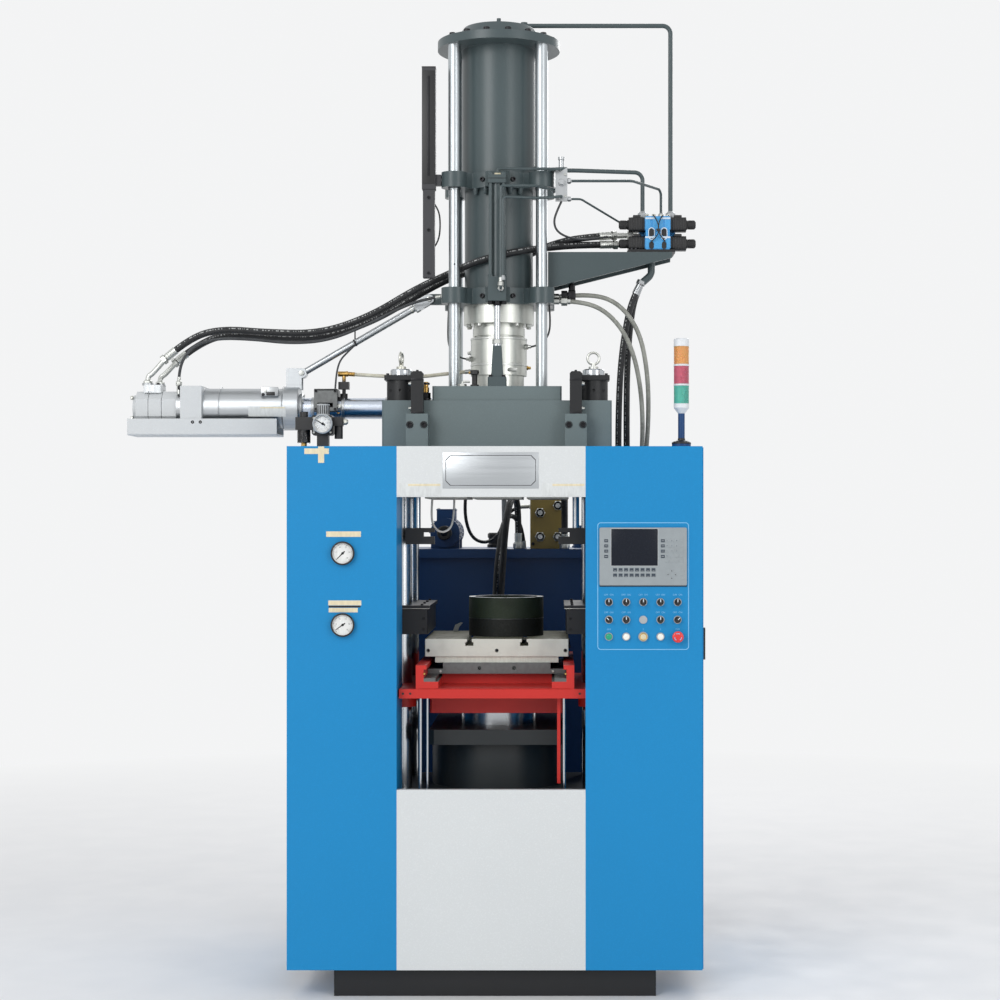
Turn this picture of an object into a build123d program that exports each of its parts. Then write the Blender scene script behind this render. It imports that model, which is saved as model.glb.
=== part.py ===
from build123d import *
import math
import os

# Vertical rubber injection moulding machine.
# Millimetres. The origin lies on the floor under the injection axis, +X to the right seen from the
# operator's side, +Y away from the operator, +Z up.

# Fits and gaps
running_gap = 0.05      # radial clearance of a shaft in its hole
hole_gap = 0.5          # radial clearance of a bar that only passes through a hole
body_gap = 0.3          # between faces that move past each other
sheet = 3.0             # folded sheet metal
fold = 25.0             # width of a folded edge

# Base and enclosure
base_half_width = 570.0
base_front = -470.0
base_rear = 1290.0
base_height = 100.0
base_wall = 14.0
base_pocket = 300.0
enclosure_half_width = 732.0
enclosure_front = -510.0
enclosure_height = 1845.0
enclosure_top = base_height + enclosure_height
guard_rear = 490.0
box_rear = -260.0
left_panel_edge = -345.0
right_panel_edge = 320.0
right_box_inner = 345.0
lower_panel_height = 635.0
lower_panel_top = base_height + lower_panel_height
header_height = 179.0
header_bottom = enclosure_top - header_height
door_depth = 14.0
door_edge = 8.0
door_handle_length = 113.0
door_handle_width = 20.0
door_handle_top = 1305.0
door_handle_y = -478.0
door_pin_diameter = 14.0
hinge_places = (300.0, 1020.0, 1740.0)
hinge_knuckle = 12.0
hinge_knuckle_length = 40.0
hinge_pin = 6.0
hinge_leaf = 26.0
hinge_y = box_rear - 2.0
hinge_x = enclosure_half_width + body_gap + hinge_knuckle / 2

# Clamp frame
tie_bar_diameter = 80.0
tie_bar_x = 354.0
tie_bar_y = 185.0
tie_bar_end = 24.0
tie_bar_lower_end = 10.0
tie_nut_diameter = 106.0
tie_nut_height = 75.0
lock_plate_width = 117.0
lock_plate_height = 18.0
beam_half_width = 420.0
beam_half_depth = 248.0
lower_beam_bottom = 430.0
lower_beam_height = 270.0
lower_beam_top = lower_beam_bottom + lower_beam_height
beam_spacing = 1150.0
upper_beam_bottom = lower_beam_top + beam_spacing
upper_beam_height = 272.0
upper_beam_top = upper_beam_bottom + upper_beam_height
tie_bar_bottom = lower_beam_bottom - tie_nut_height - tie_bar_lower_end
tie_bar_top = upper_beam_top + tie_nut_height + lock_plate_height + tie_bar_end
beam_edge = 6.0
raised_block_half_width = 237.0
raised_block_half_depth = 234.0
raised_block_height = 53.0
raised_block_top = upper_beam_top + raised_block_height
channel_half_width = 60.0
channel_depth = 82.0
channel_floor = upper_beam_top - channel_depth
pedestal_inner = 215.0
pedestal_outer = 285.0

# Clamp cylinder, ram and moving table
ram_diameter = 280.0
ram_foot = 30.0
ram_bottom = lower_beam_bottom + ram_foot
ram_bore_depth = 25.0
ram_bore_bottom = lower_beam_bottom - ram_bore_depth
ram_boss_diameter = 400.0
ram_boss_height = 130.0
ram_boss_bottom = lower_beam_bottom - ram_boss_height
clamp_body_diameter = 500.0
clamp_body_height = 169.0
head_plate_bottom = lower_beam_top + clamp_body_height
head_plate_thickness = 55.0
head_plate_top = head_plate_bottom + head_plate_thickness
head_plate_half_width = 245.0
head_plate_half_depth = 300.0
table_rest_gap = 54.0
table_block_bottom = head_plate_top + table_rest_gap
table_block_height = 75.0
table_top = table_block_bottom + table_block_height
table_half_width = 246.0
table_half_depth = 230.0
slide_plate_thickness = 33.0
slide_plate_top = table_top + slide_plate_thickness
slide_plate_half_width = 340.0
slide_plate_front = -470.0
slide_plate_wide_front = -240.0
slide_plate_rear = 262.0
guide_boss_diameter = 112.0
guide_boss_height = 53.0
guide_boss_bottom = table_top - guide_boss_height
rail_outer = 281.0
rail_height = 84.0
rail_top = slide_plate_top + rail_height
rail_web = 28.0
rail_upper_lip = 15.0
rail_lower_lip = 26.0
rail_upper_reach = 38.0
rail_lower_reach = 80.0
rail_front = -466.0
cross_member_y = -220.0
cross_member_depth = 60.0
liner_width = 42.0
liner_thickness = 12.0
liner_top = slide_plate_top + rail_lower_lip + liner_thickness
guide_rod_places = ((-268.0, 12.0), (-243.0, 9.0), (245.0, 12.0))
guide_rod_y = -410.0
guide_rod_foot = 150.0
guide_rod_bottom = base_height + guide_rod_foot
rod_shelf_drop = 10.0
rod_shelf_top = lower_beam_top - rod_shelf_drop
rod_shelf_thickness = 25.0
hanging_bar_x = 226.0
hanging_bar_length = 308.0
hanging_bar_bottom = table_top - hanging_bar_length

# Shuttle carriage, heating platens and mould
carriage_rise = 39.0
carriage_bottom = slide_plate_top + carriage_rise
carriage_thickness = 40.0
carriage_top = carriage_bottom + carriage_thickness
carriage_wing = 18.0
carriage_half_width = 196.0
carriage_front = -262.0
carriage_rear = 255.0
carriage_stop_hole = 14.0
carriage_stop_x = 63.0
platen_half_width = 262.0
platen_thickness = 64.0
lower_insulation_thickness = 22.0
lower_platen_bottom = carriage_top + lower_insulation_thickness
insulation_half_width = 225.0
upper_insulation_thickness = 23.0
slot_x = 100.0
slot_neck = 18.0
slot_foot = 30.0
slot_depth = 25.0
slot_neck_depth = 12.0
heater_hole = 10.0
heater_hole_depth = 60.0
heater_hole_x = 250.0
heater_hole_z = 22.0
mould_x = 28.0
mould_diameter = 281.0
mould_height = 145.0
mould_bore = 236.0
mould_bore_depth = 40.0
mould_joint_height = 66.0
mould_joint_groove = 1.5
sprue_hole = 60.0

# Upper and lower ejectors
upper_ejector_x = 288.0
upper_ejector_y = -284.0
upper_ejector_width = 44.0
upper_ejector_seat = 52.0
upper_ejector_bottom = upper_beam_top - upper_ejector_seat
upper_ejector_length = 155.0
upper_ejector_top = upper_ejector_bottom + upper_ejector_length
upper_ejector_wall = 5.0
upper_ejector_taper = 7.0
upper_rod_diameter = 25.0
upper_rod_engagement = 25.0
upper_rod_top = upper_ejector_bottom + upper_rod_engagement
mount_block_width = 80.0
mount_block_front = -312.0
hook_drop = 253.0
hook_bottom = upper_beam_bottom - hook_drop
hook_height = 59.0
hook_top = hook_bottom + hook_height
hook_depth = 40.0
hook_outer = 330.0
hook_inner = 225.0
hook_lip_height = 28.0
hook_lip_reach = 40.0
lower_ejector_rise = 181.0
lower_ejector_bottom = slide_plate_top + lower_ejector_rise
lower_ejector_height = 105.0
lower_ejector_top = lower_ejector_bottom + lower_ejector_height
lower_ejector_inner = 253.0
lower_ejector_outer = 425.0
lower_ejector_half_depth = 240.0
lower_ejector_cap = 12.0
lower_ejector_overhang = 7.0
lower_cylinder_x = 401.0
lower_cylinder_diameter = 46.0
lower_cylinder_height = 164.0
lower_cylinder_floor = 20.0
lower_rod_diameter = 22.0

# Injection unit
lower_yoke_rise = 313.0
lower_yoke_height = 59.0
upper_yoke_rise = 371.0
upper_yoke_height = 57.0
cylinder_length = 905.0
lower_yoke_bottom = raised_block_top + lower_yoke_rise
cylinder_bottom = lower_yoke_bottom + lower_yoke_height
upper_yoke_bottom = cylinder_bottom + upper_yoke_rise
upper_yoke_top = upper_yoke_bottom + upper_yoke_height
cylinder_top = cylinder_bottom + cylinder_length
column_x = 162.0
column_y = 120.0
column_diameter = 42.0
column_sleeve = 46.0
column_end_height = 40.0
column_bottom = upper_beam_bottom + column_end_height
column_bore_floor = 10.0
column_bore_bottom = upper_beam_bottom + column_bore_floor
cylinder_diameter = 280.0
cylinder_lower_diameter = 257.0
cylinder_bore = 200.0
cylinder_head_thickness = 60.0
flange_diameter = 460.0
flange_thickness = 32.0
cover_diameter = 343.0
cover_top_diameter = 264.0
cover_height = 52.0
piston_top_gap = 52.0
piston_height = 80.0
piston_bottom = cylinder_top - piston_top_gap - piston_height
plunger_diameter = 80.0
plunger_reach = 188.0
plunger_bottom = lower_yoke_bottom - plunger_reach
yoke_ear_diameter = 96.0
yoke_disc_diameter = 300.0
yoke_arm = 74.0
lower_yoke_bore = 120.0
strut_lug_x = -262.0
strut_lug_width = 24.0
lift_y = -200.0
lift_cap = 68.0
lift_cap_height = 30.0
lift_cylinder_bottom = cylinder_bottom
lift_cylinder_length = 403.0
lift_cylinder_top = lift_cylinder_bottom + lift_cylinder_length
lift_tube_diameter = 46.0
lift_tube_bore = 36.0
lift_tie_rod_diameter = 14.0
lift_tie_rod_offset = 24.0
lift_rod_diameter = 23.0
lift_rod_engagement = 233.0
lift_rod_top = lift_cylinder_bottom + lift_rod_engagement
lift_anchor_height = 150.0
lift_anchor_top = raised_block_top + lift_anchor_height
lift_anchor_width = 32.0
lift_anchor_foot = 68.0
lift_foot_height = 34.0
barrel_diameter = 190.0
barrel_bore_in_beam = 204.0
barrel_steps = ((69.0, 265.0), (13.0, 186.0), (30.0, 196.0))
barrel_groove_diameter = 180.0
barrel_groove = 10.0
barrel_jacket_diameter = 211.0
barrel_jacket_foot = 52.0
barrel_jacket_bottom = raised_block_top + barrel_jacket_foot
barrel_end_height = 55.0
barrel_bottom = upper_beam_bottom + barrel_end_height
nozzle_diameter = 50.0
nozzle_cone_height = 35.0
nozzle_reach = 52.0
nozzle_bottom = upper_beam_bottom - nozzle_reach
nozzle_tip_height = 14.0
plunger_bore_floor = 100.0
plunger_bore_bottom = upper_beam_bottom + plunger_bore_floor
sprue_diameter = 8.0
feed_channel_diameter = 20.0

# Valve bracket and directional valves
bracket_left = 186.0
bracket_right = 651.0
bracket_rise = 141.0
bracket_top = cylinder_bottom + bracket_rise
bracket_foot_gap = 4.0
bracket_bottom = cylinder_bottom + bracket_foot_gap
bracket_half_depth = 70.0
bracket_plate = 12.0
bracket_tip_height = 21.0
subplate_left = 484.0
subplate_right = 662.0
subplate_thickness = 10.0
subplate_top = bracket_top + subplate_thickness
manifold_left = 530.0
manifold_right = 668.0
manifold_front = 24.0
manifold_height = 130.0
manifold_top = subplate_top + manifold_height
valve_left = 549.0
valve_right = 645.0
valve_height = 53.0
valve_y = -24.0
sandwich_height = 18.0
solenoid_diameter = 54.0
solenoid_length = 60.0
solenoid_knob_diameter = 32.0
solenoid_knob_length = 34.0
elbow_x = 577.0
elbow_places = (6.0, 42.0)
elbow_diameter = 26.0
bracket_web_right = 204.0
tank_fittings = ((-26.0, lower_yoke_bottom + 20), (4.0, lower_yoke_bottom + 40))
fitting_length = 24.0
fitting_diameter = 24.0

# Painted steel pipes
main_pipe_diameter = 17.0
yoke_pipe_diameter = 16.0
pipe_nut = 26.0
small_pipe_diameter = 10.0
pipe_bend = 30.0
main_pipe_x = 95.0
main_pipe_rise = 27.0
main_pipe_right = 651.0
yoke_pipe_rise = 30.0
yoke_pipe_z = upper_yoke_top + yoke_pipe_rise
yoke_pipe_right = 545.0
small_pipe_rise = 21.0
small_pipe_z = upper_yoke_bottom + small_pipe_rise
small_pipe_right = 615.0
check_block_left = 214.0
check_block_right = 258.0
check_block_y = -155.0
riser_pipe_drop = 13.0
riser_pipe_z = upper_yoke_bottom - riser_pipe_drop

# Feeder
feeder_rise = 65.5
feeder_z = channel_floor + feeder_rise
feeder_barrel_diameter = 79.0
feeder_bore = 50.0
feeder_seat = -62.0
feeder_barrel_length = 688.0
feeder_barrel_left = feeder_seat - feeder_barrel_length
housing_diameter = 166.0
housing_length = 358.0
housing_left = feeder_barrel_left - housing_length
housing_neck_diameter = 150.0
housing_neck = 60.0
saddle_thickness = 80.0
saddle_left = housing_left - saddle_thickness
saddle_half_width = 88.0
saddle_drop = 98.5
saddle_bottom = feeder_z - saddle_drop
saddle_rise = 80.5
saddle_top = feeder_z + saddle_rise
gear_flange_thickness = 20.0
gear_flange_left = saddle_left - gear_flange_thickness
gear_flange_diameter = 140.0
motor_length = 152.0
motor_left = gear_flange_left - motor_length
motor_width = 124.0
motor_corner = 30.0
port_block_inset = 28.0
port_block_left = motor_left + port_block_inset
port_block_length = 64.0
port_block_right = port_block_left + port_block_length
port_block_rise = 86.5
port_block_top = feeder_z + port_block_rise
tray_overhang = 24.0
tray_left = motor_left - tray_overhang
tray_length = 558.0
tray_right = tray_left + tray_length
tray_half_width = 95.0
tray_height = 62.0
tray_plate = 6.0
tray_bottom = saddle_bottom - tray_plate
throat_inset = 59.0
throat_left = feeder_barrel_left + throat_inset
throat_length = 87.0
throat_right = throat_left + throat_length
throat_drop = 15.5
throat_bottom = feeder_z - throat_drop
throat_rise = 68.5
throat_top = feeder_z + throat_rise
throat_front = -62.0
throat_slot_left = throat_left + 12.0
throat_slot_right = throat_right - 16.0
throat_slot_bottom = feeder_z + 1.5
throat_slot_height = 17.0
throat_slot_top = throat_slot_bottom + throat_slot_height
riser_x = feeder_barrel_left + 165.0
riser_rise = 130.5
riser_top = feeder_z + riser_rise
screw_root = 32.0
screw_left = saddle_left - 7.0
screw_right = feeder_seat - 18.0
screw_flight_left = feeder_barrel_left + 40.0
screw_pitch = 80.0
screw_turns = 6
screw_flight_width = 7.0
strut_diameter = 25.0
strut_eye = 36.0
strut_pin = 14.0
strut_lower_x = feeder_barrel_left + 8.0
strut_lower_rise = 132.5
strut_lower_z = feeder_z + strut_lower_rise
strut_lug_rise = 29.0
strut_upper_z = lower_yoke_bottom + strut_lug_rise
post_x = -256.0
post_y = -120.0
post_foot = 37.0
post_bottom = cylinder_bottom + post_foot
post_step_drop = 7.0
post_step = upper_yoke_bottom - post_step_drop
post_top_drop = 87.0
post_top = cylinder_top - post_top_drop
post_width = 50.0
post_lower_width = 43.0

# Hoses, as points of their centre lines
hose_sides = 8
feeder_hose_diameter = 26.0
front_hose_route = (
    (430, 44, 2731), (300, 14, 2726), (174, -30, 2708), (75, -150, 2680), (-75, -150, 2645),
    (-172, -30, 2617), (-310, -30, 2556), (-480, -30, 2452), (-670, -30, 2386), (-870, -30, 2390),
    (-1040, -30, 2404), (-1160, -30, 2372), (-1250, -30, 2295),
)
back_hose_route = (
    (425, 44, 2765), (300, -2, 2752), (174, 33, 2722), (75, 150, 2686), (-75, 150, 2646),
    (-172, 30, 2610), (-310, 30, 2536), (-480, 30, 2436), (-670, 30, 2374), (-850, 30, 2376),
    (-1010, 30, 2392), (-1130, 30, 2362), (-1220, 30, 2288),
)
drain_hose_diameter = 11.0
drain_hose_route = (
    (-1198, -56, 2200), (-1198, -56, 2262), (-1150, -58, 2336), (-1060, -58, 2366),
    (-920, -58, 2362), (-780, -58, 2346), (-640, -58, 2356), (-500, -58, 2412),
    (-380, -60, 2474), (-290, -72, 2508), (-213, -100, 2518),
)
temperature_hose_route = (
    (-568, 0, 2236), (-450, 0, 2228), (-310, 4, 2224), (-190, 2, 2238), (-107, 0, 2246),
)
tank_hose_diameters = (24.0, 24.0, 17.0, 17.0)
tank_hose_routes = (
    (
        (534, 6, 2574), (508, 6, 2525), (482, 6, 2430), (460, 6, 2270), (452, 6, 2070),
        (452, 16, 1860), (458, 110, 1660), (456, 290, 1520), (446, 480, 1450), (436, 610, 1434),
        (432, 700, 1430),
    ),
    (
        (534, 42, 2574), (514, 43, 2525), (498, 44, 2430), (486, 44, 2270), (484, 46, 2070),
        (486, 60, 1860), (490, 150, 1665), (484, 320, 1530), (470, 500, 1462), (464, 610, 1444),
        (460, 700, 1442),
    ),
    (
        (230, -26, 2508), (330, -30, 2508), (430, -44, 2450), (500, -46, 2340), (536, -44, 2180),
        (544, -34, 2000), (530, 12, 1820), (520, 130, 1655), (506, 300, 1585), (456, 480, 1515),
        (410, 600, 1478), (398, 700, 1470),
    ),
    (
        (230, 4, 2528), (340, -4, 2540), (450, -20, 2506), (530, -22, 2400), (562, -20, 2240),
        (566, -10, 2060), (552, 30, 1880), (542, 140, 1710), (528, 300, 1625), (484, 480, 1548),
        (448, 600, 1510), (436, 700, 1500),
    ),
)
rear_hose_diameter = 27.0
clamp_hose_route = (
    (60, 720, 1594), (60, 720, 1672), (57, 680, 1742), (50, 610, 1783), (40, 529, 1783),
    (28, 459, 1742), (16, 418, 1672), (4, 420, 1520), (-6, 430, 1352), (-12, 446, 1184),
    (-16, 453, 1040), (-19, 456, 917), (-20, 416, 847), (-20, 346, 806), (-20, 266, 806),
)
beam_hose_route = (
    (252, 720, 1594), (252, 702, 1690), (250, 625, 1785), (246, 500, 1850), (238, 380, 1900),
    (230, 290, 1944),
)

# Operator panel
hmi_left = 368.6
hmi_right = 676.7
hmi_bottom = 1454.4
hmi_top = 1658.6
hmi_thickness = 9.0
hmi_screen_left = 410.0
hmi_screen_right = 574.0
hmi_screen_bottom = 1524.0
hmi_screen_top = 1654.0
control_columns = (402.0, 463.0, 523.0, 583.5, 644.0)
control_rows = (1396.0, 1334.0, 1274.5)
control_sides = 16
bezel_diameter = 28.0
bezel_thickness = 4.0
lamp_bezel_diameter = 34.0
button_diameter = 22.0
button_height = 9.0
button_stem = 14.0
button_travel = 4.0
stop_head_diameter = 40.0
stop_head_height = 16.0
knob_length = 24.0
knob_width = 8.0
knob_height = 14.0
button_stem_length = 30.0
gauge_diameter = 82.0
gauge_x = -534.0
gauge_heights = (1568.0, 1316.0)
gauge_depth = 16.0
gauge_rim = 4.0
gauge_recess = 8.0
needle_spindle = 3.0
needle_length = 30.0
needle_thickness = 1.5
needle_hub = 9.0

# Lights and air service unit on the cabinet tops
tower_x = 665.0
tower_y = -391.0
tower_diameter = 55.0
tower_lamp_bottom = 2100.0
tower_lamp_height = 66.0
tower_lamp_gap = 4.5
tower_cap_height = 28.0
tower_pole_diameter = 24.0
tower_foot_diameter = 68.0
regulator_x = -624.0
regulator_y = -300.0
regulator_gauge_z = 2031.0
regulator_gauge_diameter = 70.0

# Hydraulic power unit
power_half_width = 480.0
power_front = 730.0
power_lip = 30.0
power_height = 1464.0
power_top = base_height + power_height
power_lip_height = 37.0
louvre_count = 9
louvre_pitch = 46.0
motor_x = -248.0
motor_diameter = 124.0
motor_front = 790.0
motor_rear = 1060.0
valve_block_left = 108.0
valve_block_right = 266.0
valve_block_front = 790.0
valve_block_depth = 110.0
valve_block_height = 236.0

# Lifting eyes
eye_outer_radius = 26.0
eye_inner_radius = 17.0
eye_shank = 16.0
eye_collar_diameter = 36.0
eye_collar_height = 10.0
top_eye_collar_height = 29.5
eye_sides = 8

os.makedirs("parts", exist_ok=True)


def block(x0, x1, y0, y1, z0, z1):
    """A box between two corners."""
    return Pos((x0 + x1) / 2, (y0 + y1) / 2, (z0 + z1) / 2) * Box(x1 - x0, y1 - y0, z1 - z0)


def post(x, y, z0, z1, diameter):
    """A round bar along Z."""
    return Pos(x, y, (z0 + z1) / 2) * Cylinder(diameter / 2, z1 - z0)


def bar_x(x0, x1, y, z, diameter):
    """A round bar along X."""
    return Pos((x0 + x1) / 2, y, z) * Rot(0, 90, 0) * Cylinder(diameter / 2, x1 - x0)


def bar_y(y0, y1, x, z, diameter):
    """A round bar along Y."""
    return Pos(x, (y0 + y1) / 2, z) * Rot(90, 0, 0) * Cylinder(diameter / 2, y1 - y0)


def prism_y(y0, y1, x, z, diameter):
    """A small bar along Y with flats, its width over the flats given."""
    flats = RegularPolygon(diameter / 2, control_sides, major_radius=False)
    return extrude(Plane(origin=(x, y0, z), z_dir=(0, 1, 0)) * flats, amount=y1 - y0)


def cone(x, y, z0, z1, lower_diameter, upper_diameter):
    """A taper along Z."""
    return Pos(x, y, (z0 + z1) / 2) * Cone(lower_diameter / 2, upper_diameter / 2, z1 - z0)


def save(name, *solids):
    """Writes one node; the solids in it stay apart."""
    pieces = [piece for shape in solids for piece in shape.solids()]
    export_step(Compound(pieces), "parts/" + name + ".step")


def four(x, y):
    """The four places at plus and minus x and y."""
    return [(sx * x, sy * y) for sx in (-1, 1) for sy in (-1, 1)]


def pipe(points, diameter, bend):
    """A bent steel pipe with the same bend at each corner."""
    path = FilletPolyline(*points, radius=bend)
    return sweep(Plane(origin=path @ 0, z_dir=path % 0) * Circle(diameter / 2), path=path)


def thin_pipe(points, diameter, bend):
    """A thin bent pipe, drawn with flats to stay light."""
    path = FilletPolyline(*points, radius=bend)
    section = Plane(origin=path @ 0, z_dir=path % 0) * flat_sided(diameter, hose_sides)
    return sweep(section, path=path)


def flat_sided(diameter, sides):
    """A regular section with a circle's area, for bent tubes that should stay light."""
    radius = diameter / 2 * math.sqrt(2 * math.pi / (sides * math.sin(2 * math.pi / sides)))
    return RegularPolygon(radius, sides)


def hose_radii(points):
    """The bend radius at each corner: as large as the two runs beside it allow."""
    radii = []
    for before, corner, after in zip(points, points[1:], points[2:]):
        first = Vector(*corner) - Vector(*before)
        second = Vector(*after) - Vector(*corner)
        turn = math.radians(first.get_angle(second))
        radii.append(0.45 * min(first.length, second.length) / math.tan(turn / 2))
    return radii


def hose(name, points, diameter):
    """A hose along straight runs and tangent arcs, with its radii and length printed."""
    radii = hose_radii(points)
    path = FilletPolyline(*points, radius=radii)
    section = Plane(origin=path @ 0, z_dir=path % 0) * flat_sided(diameter, hose_sides)
    tube = sweep(section, path=path)
    true_volume = math.pi * diameter**2 / 4 * path.length
    print(name, "length", round(path.length), "radii", [round(r) for r in radii])
    print(name, "volume over section times length", round(tube.volume / true_volume, 4))
    return tube


def lifting_eye(x, y, z, turned, collar_height):
    """An eye bolt standing on z, its ring turned about the vertical."""
    ring_radius = (eye_outer_radius + eye_inner_radius) / 2
    wire = eye_outer_radius - eye_inner_radius
    collar = post(0, 0, 0, collar_height, eye_collar_diameter)
    shank_top = collar_height + wire * 1.5
    neck = post(0, 0, collar_height, shank_top, eye_shank)
    ring_z = shank_top + eye_inner_radius
    section = Pos(ring_radius, 0) * flat_sided(wire, eye_sides)
    ring = Pos(0, 0, ring_z) * revolve(Plane.XZ * section, Axis.Y)
    return Pos(x, y, z) * Rot(0, 0, turned) * (collar + neck + ring)


# Base, beams and tie bars


def base_frame():
    """A welded frame with a top plate, ribbed underneath, and two pedestals under the lower beam."""
    frame = block(-base_half_width, base_half_width, base_front, base_rear, 0, base_height)
    columns = math.ceil((2 * base_half_width - base_wall) / (base_pocket + base_wall))
    rows = math.ceil((base_rear - base_front - base_wall) / (base_pocket + base_wall))
    width = (2 * base_half_width - base_wall) / columns - base_wall
    depth = (base_rear - base_front - base_wall) / rows - base_wall
    for column in range(columns):
        for row in range(rows):
            x = -base_half_width + base_wall + column * (width + base_wall)
            y = base_front + base_wall + row * (depth + base_wall)
            frame -= block(x, x + width, y, y + depth, 0, base_height - base_wall)
    for side in (-1, 1):
        inner, outer = sorted((side * pedestal_inner, side * pedestal_outer))
        depth = beam_half_depth - beam_edge
        frame += block(inner, outer, -depth, depth, base_height, lower_beam_bottom)
    save("base_frame", frame)


def lower_beam():
    """The lower crosshead with the clamp cylinder in one casting, and the head plate on it."""
    beam = block(
        -beam_half_width, beam_half_width, -beam_half_depth, beam_half_depth,
        lower_beam_bottom, lower_beam_top,
    )
    beam = chamfer(beam.edges().filter_by(Axis.Z), beam_edge * 3)
    boss = post(0, 0, ram_boss_bottom, lower_beam_bottom, ram_boss_diameter)
    body = post(0, 0, lower_beam_top, head_plate_bottom, clamp_body_diameter)
    head = block(
        -head_plate_half_width, head_plate_half_width,
        -head_plate_half_depth, head_plate_half_depth, head_plate_bottom, head_plate_top,
    )
    head = chamfer(head.edges().filter_by(Axis.Z), beam_edge * 3)
    bore = ram_diameter + 2 * running_gap
    head -= post(0, 0, head_plate_bottom, head_plate_top, bore)
    casting = beam + boss + body
    casting -= post(0, 0, ram_bore_bottom, head_plate_bottom, bore)
    for x, y in four(tie_bar_x, tie_bar_y):
        casting -= post(x, y, lower_beam_bottom, lower_beam_top, tie_bar_diameter + 2 * hole_gap)
    # A shelf on the beam's front guides the rods under the table.
    left = guide_rod_places[0][0] - fold
    right = guide_rod_places[-1][0] + fold
    bottom = rod_shelf_top - rod_shelf_thickness
    back = -beam_half_depth
    shelf = block(left, right, guide_rod_y - fold, back, bottom, rod_shelf_top)
    shelf -= block(left + 60, right - 60, guide_rod_y + fold, back - fold, bottom, rod_shelf_top)
    for x, diameter in guide_rod_places:
        shelf -= post(x, guide_rod_y, bottom, rod_shelf_top, diameter + 2 * running_gap)
    save("lower_beam", casting + shelf, head)


def tie_bars():
    """Four tie bars with a turned edge at both ends."""
    bars = []
    for x, y in four(tie_bar_x, tie_bar_y):
        bar = post(x, y, tie_bar_bottom, tie_bar_top, tie_bar_diameter)
        bars.append(chamfer(bar.edges().group_by(Axis.Z)[-1], 4))
    save("tie_bars", *bars)


def tie_bar_nuts():
    """Round nuts under and over the beams, a lock plate over each upper one, and two lifting eyes."""
    solids = []
    hole = tie_bar_diameter + 2 * running_gap
    plate_bottom = upper_beam_top + tie_nut_height
    plate_top = plate_bottom + lock_plate_height
    half = lock_plate_width / 2
    for x, y in four(tie_bar_x, tie_bar_y):
        for bottom in (lower_beam_bottom - tie_nut_height, upper_beam_top):
            nut = post(x, y, bottom, bottom + tie_nut_height, tie_nut_diameter)
            if bottom == upper_beam_top:
                front = y - tie_nut_diameter / 2
                nut -= bar_y(front, front + 9, x, bottom + tie_nut_height / 2, 10)
            solids.append(nut - post(x, y, bottom, bottom + tie_nut_height, hole))
        plate = block(x - half, x + half, y - half, y + half, plate_bottom, plate_top)
        plate = chamfer(plate.edges().filter_by(Axis.Z), 8)
        solids.append(plate - post(x, y, plate_bottom, plate_top, hole))
    solids.append(lifting_eye(-tie_bar_x, -tie_bar_y, tie_bar_top, 80, eye_collar_height))
    solids.append(lifting_eye(tie_bar_x, -tie_bar_y, tie_bar_top, 0, eye_collar_height))
    save("tie_bar_nuts", *solids)


def upper_beam():
    """The upper crosshead with its raised block, the feeder's channel and the ejector mounts."""
    beam = block(
        -beam_half_width, beam_half_width, -beam_half_depth, beam_half_depth,
        upper_beam_bottom, upper_beam_top,
    )
    beam = chamfer(beam.edges().filter_by(Axis.Z), beam_edge)
    raised = block(
        -raised_block_half_width, raised_block_half_width,
        -raised_block_half_depth, raised_block_half_depth, upper_beam_top, raised_block_top,
    )
    beam += chamfer(raised.edges().filter_by(Axis.Z), beam_edge)
    beam -= block(
        -beam_half_width, 0, -channel_half_width, channel_half_width,
        channel_floor, raised_block_top,
    )
    beam -= post(0, 0, upper_beam_bottom, raised_block_top, barrel_bore_in_beam)
    for x, y in four(column_x, column_y):
        beam -= post(x, y, column_bore_bottom, raised_block_top, column_diameter + 2 * running_gap)
    for x, y in four(tie_bar_x, tie_bar_y):
        beam -= post(x, y, upper_beam_bottom, upper_beam_top, tie_bar_diameter + 2 * hole_gap)
    half = mount_block_width / 2
    mounts = []
    for side in (-1, 1):
        x = side * upper_ejector_x
        mount = block(
            x - half, x + half, mount_block_front, -beam_half_depth,
            upper_beam_bottom, upper_ejector_bottom,
        )
        hole = upper_rod_diameter + 2 * running_gap
        mounts.append(
            mount - post(x, upper_ejector_y, upper_beam_bottom, upper_ejector_bottom, hole)
        )
    save("upper_beam", beam, *mounts)


def t_slots(plate_face, opens_up, front, rear):
    """Two T-slots along Y, cut from a platen's face."""
    way = 1 if opens_up else -1
    slots = []
    for x in (-slot_x, slot_x):
        face, neck_end = sorted((plate_face, plate_face - way * slot_depth))
        slots.append(block(x - slot_neck / 2, x + slot_neck / 2, front, rear, face, neck_end))
        foot_near = plate_face - way * slot_neck_depth
        foot_far = plate_face - way * slot_depth
        low, high = sorted((foot_near, foot_far))
        slots.append(block(x - slot_foot / 2, x + slot_foot / 2, front, rear, low, high))
    return slots


def heater_holes(platen_bottom, front):
    """Blind holes for the heaters and the sensor in a platen's front."""
    z = platen_bottom + heater_hole_z
    places = (-heater_hole_x, 0, heater_hole_x)
    return [bar_y(front, front + heater_hole_depth, x, z, heater_hole) for x in places]


def upper_platen():
    """The fixed heating platen and the insulation board between it and the beam."""
    top = upper_beam_bottom - upper_insulation_thickness
    bottom = top - platen_thickness
    half = platen_half_width
    platen = block(-half, half, -half, half, bottom, top)
    platen = chamfer(platen.edges().filter_by(Axis.Z), 2)
    for cut in t_slots(bottom, False, -half, half) + heater_holes(bottom + 20, -half):
        platen -= cut
    platen -= post(0, 0, bottom, top, sprue_hole)
    board = block(-half, half, -half, half, top, upper_beam_bottom)
    board -= post(0, 0, top, upper_beam_bottom, sprue_hole + 20)
    save("upper_platen", platen, board)


# Enclosure


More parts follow.
